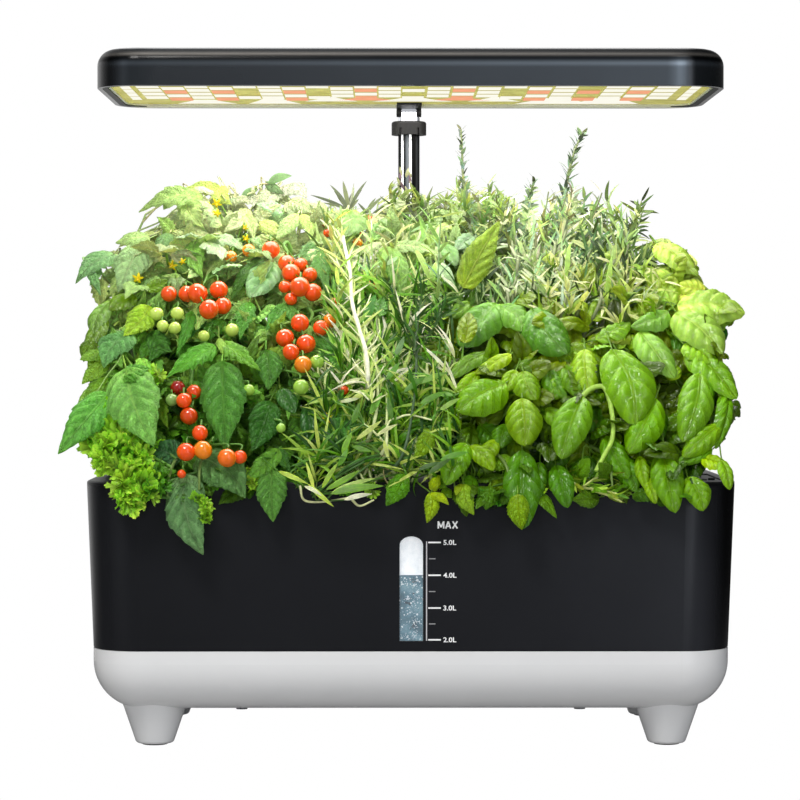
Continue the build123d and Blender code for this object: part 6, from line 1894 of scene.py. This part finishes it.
# large leaves, right side
A(("basil", 657, 243, 694, 274, 30, rgb(156, 194, 94), dict(dy=-2, face=(0.1, -0.55, 0.85), arch=0.12)))
A(("basil", 690, 268, 698, 276, 8, rgb(140, 180, 70), dict(dy=-4)))
A(("basil", 677, 305, 745, 313, 36, rgb(162, 208, 66), dict(dy=-2, face=(0.1, -0.7, 0.75), arch=0.14)))
A(("basil", 676, 312, 722, 354, 42, rgb(156, 206, 64), dict(dy=-8, face=(0.15, -0.8, 0.55), arch=0.12, cup=0.2)))
A(("basil", 668, 311, 631, 327, 22, rgb(120, 178, 60), dict(dy=-6, face=(-0.1, -0.6, 0.8), cup=0.25)))
A(("basil", 672, 306, 664, 280, 18, rgb(150, 190, 60), dict(dy=2)))
A(("basil", 670, 304, 648, 290, 14, rgb(146, 196, 70), dict(dy=2)))
A(("basil", 690, 349, 737, 399, 34, rgb(112, 174, 52), dict(dy=-4, face=(0.3, -0.8, 0.5), cup=0.22)))
A(("basil", 684, 344, 712, 362, 24, rgb(130, 190, 60), dict(dy=-8, face=(0.1, -0.6, 0.8))))
A(("basil", 640, 331, 675, 378, 33, rgb(132, 188, 62), dict(dy=-6, face=(0.1, -0.8, 0.6), cup=0.22)))
A(("basil", 612, 349, 635, 425, 52, rgb(110, 170, 52), dict(dy=-16, face=(0.05, -1, 0.22), cup=0.22, arch=0.1)))
A(("basil", 700, 373, 683, 442, 36, rgb(110, 172, 56), dict(dy=-12, face=(0, -1, 0.3), cup=0.26)))
A(("basil", 707, 371, 699, 427, 28, rgb(92, 158, 42), dict(dy=-8, face=(0.25, -0.95, 0.2), cup=0.4, wave=0.05)))
A(("basil", 728, 390, 716, 449, 20, rgb(102, 166, 42), dict(dy=-2, face=(0.5, -0.85, 0.1), cup=0.25)))
A(("basil", 719, 425, 683, 457, 24, rgb(116, 176, 44), dict(dy=-8, face=(0.1, -0.9, 0.45), cup=0.3)))
A(("basil", 713, 449, 676, 465, 16, rgb(92, 152, 40), dict(dy=-4, face=(0.1, -0.9, 0.2))))
A(("basil", 656, 398, 629, 453, 36, rgb(110, 176, 38), dict(dy=-8, face=(-0.2, -0.95, 0.2), cup=0.3)))
A(("basil", 664, 449, 676, 513, 33, rgb(100, 160, 44), dict(dy=-5, face=(0, -1, 0.15), cup=0.18)))
A(("basil", 688, 477, 704, 511, 27, rgb(106, 164, 38), dict(dy=-4, face=(0.1, -1, 0.2), cup=0.18)))
A(("basil", 702, 457, 730, 466, 15, rgb(150, 200, 44), dict(dy=-4, face=(0, -0.5, 0.9), arch=0.16)))
A(("basil", 722, 460, 730, 490, 16, rgb(118, 176, 44), dict(dy=-10, face=(0.3, -0.9, 0.2))))
A(("basil", 640, 456, 646, 489, 15, rgb(118, 172, 44), dict(dy=-2)))
A(("basil", 606, 436, 629, 479, 26, rgb(86, 146, 28), dict(dy=-2, face=(0.1, -1, 0.1))))
A(("basil", 612, 454, 637, 492, 25, rgb(80, 140, 24), dict(dy=2, face=(0.1, -1, 0.1))))
A(("basil", 648, 478, 656, 504, 14, rgb(122, 174, 34), dict(dy=-3)))
A(("basil", 583, 396, 561, 459, 38, rgb(102, 162, 52), dict(dy=-12, face=(-0.1, -1, 0.22), cup=0.2)))
A(("basil", 556, 465, 568, 508, 25, rgb(72, 132, 24), dict(dy=-4, face=(0, -1, 0.1), cup=0.16)))
A(("basil", 562, 365, 577, 397, 26, rgb(98, 154, 34), dict(dy=-4, face=(0.1, -0.9, 0.3))))
A(("basil", 548, 367, 566, 398, 22, rgb(84, 142, 30), dict(dy=-2)))
A(("basil", 585, 349, 590, 394, 31, rgb(140, 192, 62), dict(dy=-5, face=(0, -0.9, 0.45), cup=0.28)))
A(("basil", 532, 308, 567, 354, 46, rgb(86, 144, 50), dict(dy=-10, face=(-0.05, -0.75, 0.6), cup=0.28)))
A(("basil", 596, 340, 630, 322, 18, rgb(112, 168, 62), dict(dy=-3, face=(0, -0.5, 0.85))))
A(("basil", 624, 348, 606, 332, 16, rgb(124, 180, 64), dict(dy=-2)))
A(("basil", 496, 303, 461, 347, 40, rgb(100, 160, 48), dict(dy=-8, face=(-0.1, -0.8, 0.55), cup=0.24)))
A(("basil", 492, 306, 524, 330, 30, rgb(114, 172, 58), dict(dy=-6, face=(0, -0.6, 0.8), cup=0.25)))
A(("basil", 470, 302, 450, 318, 16, rgb(124, 174, 56), dict(dy=0)))
A(("basil", 506, 383, 457, 411, 38, rgb(112, 174, 44), dict(dy=-12, face=(-0.15, -0.85, 0.5), cup=0.3, wave=0.03)))
A(("basil", 522, 398, 525, 446, 38, rgb(118, 168, 52), dict(dy=-12, face=(0, -1, 0.3), cup=0.26)))
A(("basil", 523, 371, 536, 400, 29, rgb(116, 170, 42), dict(dy=-8, face=(0.05, -0.8, 0.6), cup=0.25)))
A(("basil", 516, 370, 504, 392, 18, rgb(124, 176, 44), dict(dy=-8)))
A(("basil", 560, 371, 552, 399, 25, rgb(104, 158, 46), dict(dy=-2, cup=0.3)))
A(("basil", 489, 352, 448, 380, 17, rgb(102, 154, 62), dict(dy=-4, face=(-0.1, -0.6, 0.8))))
A(("basil", 511, 354, 474, 374, 15, rgb(142, 188, 44), dict(dy=-6, face=(0, -0.6, 0.8))))
A(("basil", 478, 372, 454, 392, 18, rgb(124, 176, 46), dict(dy=-6)))
A(("basil", 466, 443, 446, 485, 28, rgb(98, 158, 34), dict(dy=-8, face=(-0.1, -1, 0.25), cup=0.18)))
A(("basil", 470, 446, 494, 470, 20, rgb(122, 172, 48), dict(dy=-6)))
A(("basil", 462, 424, 440, 420, 20, rgb(104, 154, 40), dict(dy=0)))
A(("basil", 522, 450, 524, 529, 38, rgb(72, 130, 22), dict(dy=-5, face=(0, -1, 0.1), arch=0.05, cup=0.14)))
A(("mint", 518, 494, 522, 530, 25, rgb(112, 160, 40), dict(dy=-7, face=(0, -1, 0.05))))
A(("mint", 464, 484, 474, 515, 20, rgb(122, 172, 62), dict(dy=-3)))
A(("mint", 462, 484, 456, 496, 9, rgb(150, 186, 60), dict(dy=-3)))
A(("mint", 432, 492, 427, 523, 17, rgb(134, 178, 52), dict(dy=-3)))
A(("mint", 431, 493, 449, 505, 10, rgb(182, 204, 54), dict(dy=-4)))
A(("mint", 432, 491, 439, 475, 13, rgb(152, 192, 42), dict(dy=-2)))
A(("mint", 443, 488, 452, 498, 12, rgb(84, 132, 40), dict(dy=0)))
A(("mint", 490, 486, 486, 510, 22, rgb(70, 122, 28), dict(dy=0)))
A(("basil", 540, 462, 538, 500, 22, rgb(70, 126, 26), dict(dy=2)))
A(("basil", 590, 456, 582, 490, 28, rgb(60, 112, 22), dict(dy=8)))
A(("basil", 560, 440, 546, 470, 24, rgb(66, 118, 24), dict(dy=8)))
A(("basil", 480, 424, 500, 446, 26, rgb(66, 118, 24), dict(dy=6)))
A(("basil", 600, 400, 596, 436, 28, rgb(66, 120, 22), dict(dy=8)))
A(("basil", 650, 404, 662, 440, 26, rgb(80, 140, 26), dict(dy=6)))
A(("basil", 496, 440, 484, 462, 18, rgb(120, 168, 50), dict(dy=-2)))
A(("basil", 506, 424, 500, 448, 22, rgb(74, 128, 26), dict(dy=0)))
A(("basil", 546, 408, 566, 430, 20, rgb(112, 168, 60), dict(dy=2)))
A(("basil", 700, 332, 718, 346, 18, rgb(132, 186, 50), dict(dy=0)))
A(("basil", 640, 350, 628, 336, 16, rgb(126, 180, 52), dict(dy=0)))
A(("basil", 676, 380, 668, 362, 18, rgb(134, 186, 60), dict(dy=0)))
A(("basil", 690, 330, 676, 352, 20, rgb(84, 144, 30), dict(dy=4)))
for t in B_:
    o = dict(t[7])
    o["cup"] = o.get("cup", 0.2) * 1.35
    o["arch"] = o.get("arch", 0.12) * 1.35
    lift = float(np.interp(t[2], [250, 340, 420], [1.12, 1.16, 1.16]))
    shade_ = np.asarray(t[6], float) * lift
    # painted light: heroes high up are made paler near the lamp
    if t[2] < 335:  # paler near the lamp
        shade_ = np.array([0.92 * shade_[0], 0.98 * shade_[1], max(shade_[2], 0.24 * shade_[1] ** 1.2)])
    hero(bas, *t[:6], np.clip(shade_, 0, 0.9), **o)
tube(bas.stem, uvpath((582, 397), (591, 389), (603.6, 387), (610, 402), (613, 422), (612, 440), (604, 456), (596, 471), dy=-10), 1.5, 1.1, rgb(168, 206, 84), 8, 6)
tube(bas.stem, uvpath((612, 350), (606, 362), (603.6, 387), dy=-8), 1.0, 1.0, rgb(160, 200, 80), 8, 5)


def high_left(P):
    """True where points (N,3) lie in the gap left of the high basil leaf, as the camera sees it."""
    P = np.atleast_2d(P)
    k = 2922.0 / (P[:, 1] + 1647.0)
    u, v = 385.0 + k * (P[:, 0] + 14.0), 348.0 - k * (P[:, 2] - 215.0)
    return (u < 652) & (v < 256)


def rosette(plant, p, d, size, colour, pairs=2, kind="basil"):
    """Opposite pairs of leaves at a shoot's end, each pair turned a quarter."""
    rng = plant.rng
    d = unit(np.asarray(d, float))
    e1 = unit(np.cross(d, (0.2, 0.7, 0.6)))
    e2 = np.cross(d, e1)
    B, Tp, Nn, W = [], [], [], []
    t0 = rng.uniform(0, np.pi)
    for k in range(pairs):
        for q in (0, 1):
            t = t0 + k * np.pi / 2 + q * np.pi
            o = e1 * math.cos(t) + e2 * math.sin(t)
            dd = unit(o + d * (0.15 + 0.55 * k) + (0, 0, -0.15))
            L = size * (1 - 0.34 * k) * rng.uniform(0.85, 1.1)
            B.append(p + d * (k * 4.0) + dd * 1.5)
            Tp.append(B[-1] + dd * L)
            Nn.append(d + rng.normal(0, 0.12, 3))
            W.append(L * rng.uniform(0.58, 0.72))
    ok = inside(np.array(Tp)) & inside(np.array(B)) & ~high_left(Tp)
    B, Tp, Nn, W = (np.array(a)[ok] for a in (B, Tp, Nn, W))
    n = len(B)
    if n == 0:
        return
    leaves(
        plant.pile(kind), kind, B, Tp, Nn, W, rng.uniform(0.08, 0.2, n), rng.uniform(0.15, 0.35, n),
        rng.uniform(0.0, 0.04, n), rng.normal(0, 0.2, n), vary(colour, n, 0.14, rng), rng.uniform(0, 0.2, n), rng,
    )


def in_notch(p, pad=4.0):
    return 134 - pad < p[0] < 200 and 20 - pad < p[1] < 132 and p[2] < 188


for p, g in shell_points(rng, 210, ((36, -108, 150), (190, 122, 236))):
    if not clear_of_front(p, 12):
        p = p + (0, 24, 0)
        if not clear_of_front(p, 8):
            continue
    if in_notch(p, 14) or (abs(p[0]) < 22 and p[1] > 40) or p[2] < 152:
        continue
    d = unit(g * 0.8 + np.array([0, 0, 0.6]) + rng.normal(0, 0.25, 3))
    base = p - d * 5
    if not inside(base)[0]:
        continue
    if bas.petiole(base, d, 0.7) is False:
        continue
    rosette(bas, base, d, rng.uniform(17, 26), tone("basil", seen_v(p), rng)[0])
for p, g in shell_points(rng, 46, ((112, -72, 222), (186, 60, 268))):
    if not clear_of_front(p, 10):
        continue
    d = unit(g * 0.6 + np.array([0, 0, 0.8]) + rng.normal(0, 0.2, 3))
    if not inside(p - d * 6)[0]:
        continue
    if bas.petiole(p - d * 6, d, 0.7) is False:
        continue
    rosette(bas, p - d * 6, d, rng.uniform(18, 26), tone("basil", seen_v(p), rng)[0])
# rosettes deep inside, painted dark as shade
for _ in range(80):
    p = np.array([rng.uniform(46, 178), rng.uniform(-76, 108), rng.uniform(152, 214)])
    if not clear_of_front(p, 24) or in_notch(p, 16):
        continue
    rosette(bas, p, unit(rng.normal(0, 0.6, 3) + (0, -0.5, 0.6)), 25, C["bas_painted_shade"])
front_fill(bas, "basil", [(620, 250, 720, 330)], 50, (11, 17), (16, 26), shade="basil", aim=(0.1, -0.3, -0.1))
front_fill(bas, "basil", [(452, 305, 735, 380)], 100, (12, 19), (18, 28), shade="basil", aim=(0, -0.35, -0.3), dark=0.62)
front_fill(bas, "basil", [(455, 380, 732, 470)], 110, (12, 20), (18, 30), shade="basil", aim=(0, -0.35, -0.45), deep=(5, 16), dark=0.6)
front_fill(bas, "basil", [(455, 350, 700, 488)], 110, (16, 22), (24, 32), shade="basil", aim=(0, -0.2, -0.4), deep=(16, 34), dark=0.22)
front_fill(bas, "mint", [(455, 462, 720, 500)], 50, (8, 13), (12, 20), shade="basil", aim=(0, -0.5, -0.6), deep=(0, 8))
# sprig that lies over the rim on the right
for pts, n_ in [([(560, 470), (578, 486), (600, 490), (626, 496)], 14), ([(582, 488), (600, 476), (612, 474)], 8), ([(592, 490), (610, 496), (622, 502)], 8)]:
    p = uvpath(*pts, dy=-3)
    tube(bas.stem, p, 0.9, 0.5, rgb(196, 206, 120), 6, 6)
    needles(bas, smooth_path(p, 6), n_, 13, 1.7, rgb(150, 186, 70), up=1.1, whorl=2, start=0.05)

# ------------------------------------------------------------------ leaves that hang over the front rim
rim = Plant([(-42, -58), (42, -58)], 17)
rng = rim.rng
rim.main([(-42, -58, 142), (-46, -84, 156), (-40, -99, 152), (-38, -104, 140)], 1.2, 0.6)
rim.main([(42, -58, 142), (44, -86, 158), (50, -100, 153), (52, -105, 142)], 1.2, 0.6)
rim.main([(118, -58, 142), (112, -88, 158), (106, -101, 152), (106, -106, 142)], 1.2, 0.6)
rim.main([(-118, -58, 142), (-110, -88, 158), (-112, -101, 152), (-112, -106, 140)], 1.2, 0.6)
for u, v, s, c in [(345, 488, 11, "par_dark"), (372, 490, 10, "par_mid"), (395, 488, 10, "par_dark"), (446, 482, 10, "par_mid"), (482, 496, 11, "par_dark"), (500, 500, 10, "par_dark"), (540, 492, 9, "par_mid"), (586, 484, 9, "par_dark"), (214, 482, 10, "par_dark"), (200, 508, 9, "par_mid")]:
    p = spot(u, v, float(surf(v)) + 3)
    n = 5
    rim.petiole(p, (0, -1, -0.2), 0.6)
    D = unit(np.stack([rng.normal(0, 0.8, n), -0.5 + rng.normal(0, 0.3, n), rng.normal(-0.1, 0.7, n)], 1))
    frill(rim.pile("parsley"), np.repeat(p[None], n, 0), D, unit(rng.normal(0, 0.5, (n, 3)) + (0, -0.6, 0.7)), s * 0.56 * rng.uniform(0.8, 1.1, n), vary(C[c], n, 0.2, rng), rng)

# leaves that reach down to the control panel lie on it, clear of its buttons
for pile in bas.leaf.values():
    for V in pile.v:
        low = (V[:, 0] > 139) & (V[:, 0] < 171) & (V[:, 1] > -74) & (V[:, 1] < 16) & (V[:, 2] < 144.7)
        V[low, 2] = 144.7

# ------------------------------------------------------------------ the plant meshes, in place of the model's crowns
MATS = {"tomato": LEAF_TOMATO, "broad": LEAF_TOMATO, "mint": LEAF_TOMATO, "basil": LEAF_BASIL, "parsley": LEAF_FRILL, "needle": LEAF_NARROW, "blade": LEAF_NARROW}
for label, plant, cad in (("tomato", tom, "tomato_plant"), ("parsley", par, "parsley_plant"), ("tarragon", cen, "tarragon_plant"), ("rosemary", ros, "rosemary_plant"), ("basil", bas, "basil_plant"), ("rim", rim, "trailing_leaves")):
    made = []
    for key, pile in plant.leaf.items():
        made.append(pile.done(f"{label}_{key}_leaves", MATS[key], slot="foliage"))
    if plant.stem.v:
        made.append(plant.stem.done(f"{label}_stems", STEM, slot="foliage"))
    for k, ob in enumerate(made):
        if k == 0:
            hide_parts(cad)
    print(label, sum(len(o.data.polygons) for o in made), "faces")
fruit.done("tomato_fruit", FRUIT, slot="foliage")
calyx.done("tomato_calyx", STEM, slot="foliage")
petal.done("tomato_flowers", PETAL, slot="foliage")

# ------------------------------------------------------------------ floor, sky and lights
def deg(a):
    return a / 360.0 + 0.5


def surround(nt, X, Y):
    """Studio brightness by azimuth from straight in front (-Y), positive to the right."""
    az = math_node(nt, "ARCTAN2", X, math_node(nt, "MULTIPLY", Y, -1.0))
    az = math_node(nt, "MULTIPLY", az, 57.29578)
    az01 = math_node(nt, "ADD", math_node(nt, "DIVIDE", az, 360.0), 0.5)
    return ramp(
        nt, az01,
        (deg(-180), (0.7, 0.7, 0.7)), (deg(-135), (0.95, 0.95, 0.95)), (deg(-112), (0.35, 0.35, 0.35)), (deg(-92), (0.06, 0.06, 0.06)), (deg(-70), (0.14, 0.14, 0.15)),
        (deg(-48), (0.5, 0.52, 0.56)), (deg(-36), (0.36, 0.38, 0.42)), (deg(-24), (0.17, 0.18, 0.2)), (deg(-8), (0.2, 0.21, 0.23)), (deg(6), (0.25, 0.26, 0.29)),
        (deg(17), (0.3, 0.32, 0.36)), (deg(21), (2.2, 2.35, 2.6)), (deg(29), (2.1, 2.2, 2.45)), (deg(35), (0.02, 0.02, 0.02)), (deg(150), (0.02, 0.02, 0.02)), (deg(180), (0.7, 0.7, 0.7)),
    )


m, nt, b = new_mat("studio_floor")
f = noise(nt, 2.0, 2.0)
nt.links.new(ramp(nt, f, (0.3, 0.42), (0.7, 0.46)), b.inputs["Base Color"])
b.inputs["Roughness"].default_value = 0.9
b.inputs["Specular IOR Level"].default_value = 0.0
white = node(nt, "ShaderNodeEmission")
white.inputs["Color"].default_value = (1, 1, 1, 1)
white.inputs["Strength"].default_value = 1.0
seen = node(nt, "ShaderNodeLightPath").outputs["Is Camera Ray"]
mixer = node(nt, "ShaderNodeMixShader")
nt.links.new(seen, mixer.inputs[0])
nt.links.new(b.outputs[0], mixer.inputs[1])
nt.links.new(white.outputs[0], mixer.inputs[2])
place = node(nt, "ShaderNodeSeparateXYZ")
nt.links.new(coords(nt), place.inputs[0])
shine = node(nt, "ShaderNodeEmission")
far = math_node(nt, "ADD", math_node(nt, "MULTIPLY", place.outputs[0], place.outputs[0]), math_node(nt, "MULTIPLY", place.outputs[1], place.outputs[1]))
far = ramp(nt, far, (0.1, 0.0), (0.6, 1.0))
nt.links.new(mix_colour(nt, far, (0.16, 0.16, 0.17), surround(nt, place.outputs[0], place.outputs[1])), shine.inputs["Color"])
shine.inputs["Strength"].default_value = 0.8
mirror = node(nt, "ShaderNodeMixShader")
nt.links.new(node(nt, "ShaderNodeLightPath").outputs["Is Glossy Ray"], mirror.inputs[0])
nt.links.new(mixer.outputs[0], mirror.inputs[1])
nt.links.new(shine.outputs[0], mirror.inputs[2])
nt.links.new(mirror.outputs[0], nt.nodes["Material Output"].inputs["Surface"])
me = bpy.data.meshes.new("floor")
me.from_pydata([(-12, -12, -0.0002), (12, -12, -0.0002), (12, 12, -0.0002), (-12, 12, -0.0002)], [], [(0, 1, 2, 3)])
me.materials.append(m)
floor = bpy.data.objects.new("floor", me)
bpy.context.scene.collection.objects.link(floor)

world = bpy.data.worlds.new("studio")
bpy.context.scene.world = world
world.use_nodes = True
nt = world.node_tree
for n in list(nt.nodes):
    nt.nodes.remove(n)
out = node(nt, "ShaderNodeOutputWorld")
vec = node(nt, "ShaderNodeTexCoord").outputs["Generated"]
sep = node(nt, "ShaderNodeSeparateXYZ")
nt.links.new(vec, sep.inputs[0])
X, Y, Z = sep.outputs[0], sep.outputs[1], sep.outputs[2]
side = surround(nt, X, Y)
up = ramp(nt, Z, (0.0, 0.0), (0.04, 0.0), (0.12, 0.2), (0.3, 0.03), (0.7, 0.03), (0.95, 0.5), (1.0, 0.5))
low = mix_colour(nt, 1.0, side, up, "ADD")
cam_ray = node(nt, "ShaderNodeLightPath").outputs["Is Camera Ray"]
bg1 = node(nt, "ShaderNodeBackground")
nt.links.new(low, bg1.inputs["Color"])
bg1.inputs["Strength"].default_value = 0.7
bg2 = node(nt, "ShaderNodeBackground")
bg2.inputs["Color"].default_value = (1, 1, 1, 1)
bg2.inputs["Strength"].default_value = 1.0
mx_ = node(nt, "ShaderNodeMixShader")
nt.links.new(cam_ray, mx_.inputs[0])
nt.links.new(bg1.outputs[0], mx_.inputs[1])
nt.links.new(bg2.outputs[0], mx_.inputs[2])
nt.links.new(mx_.outputs[0], out.inputs["Surface"])


def area(name, at, to, size, power, colour=(1, 1, 1), size_y=None, glossy=True):
    li = bpy.data.lights.new(name, "AREA")
    li.shape = "RECTANGLE"
    li.size = size
    li.size_y = size_y or size
    li.energy = power
    li.color = colour
    ob = bpy.data.objects.new(name, li)
    bpy.context.scene.collection.objects.link(ob)
    ob.location = at
    ob.rotation_euler = (Vector(to) - Vector(at)).to_track_quat("-Z", "Y").to_euler()
    ob.visible_glossy = glossy
    return ob


area("key", (-0.5, -1.1, 1.5), (0.0, 0.0, 0.2), 0.45, 16.5, (1.0, 0.985, 0.95))
area("fill", (0.9, -1.3, 1.0), (0.0, 0.0, 0.2), 0.6, 4.2, (0.96, 0.98, 1.0), glossy=False)
area("back", (0.0, 1.6, 1.5), (0.0, 0.0, 0.25), 1.0, 7.0, (1.0, 1.0, 1.0))
grow = area("grow_light", (0.0, -0.004, 0.3545), (0.0, -0.004, 0.0), 0.31, 0.6, (1.0, 0.99, 0.96), 0.12)
area("low_fill", (-0.25, -1.5, 0.22), (0.0, 0.0, 0.05), 0.5, 4.1, (1.0, 1.0, 1.0), glossy=False)

bpy.context.view_layer.update()
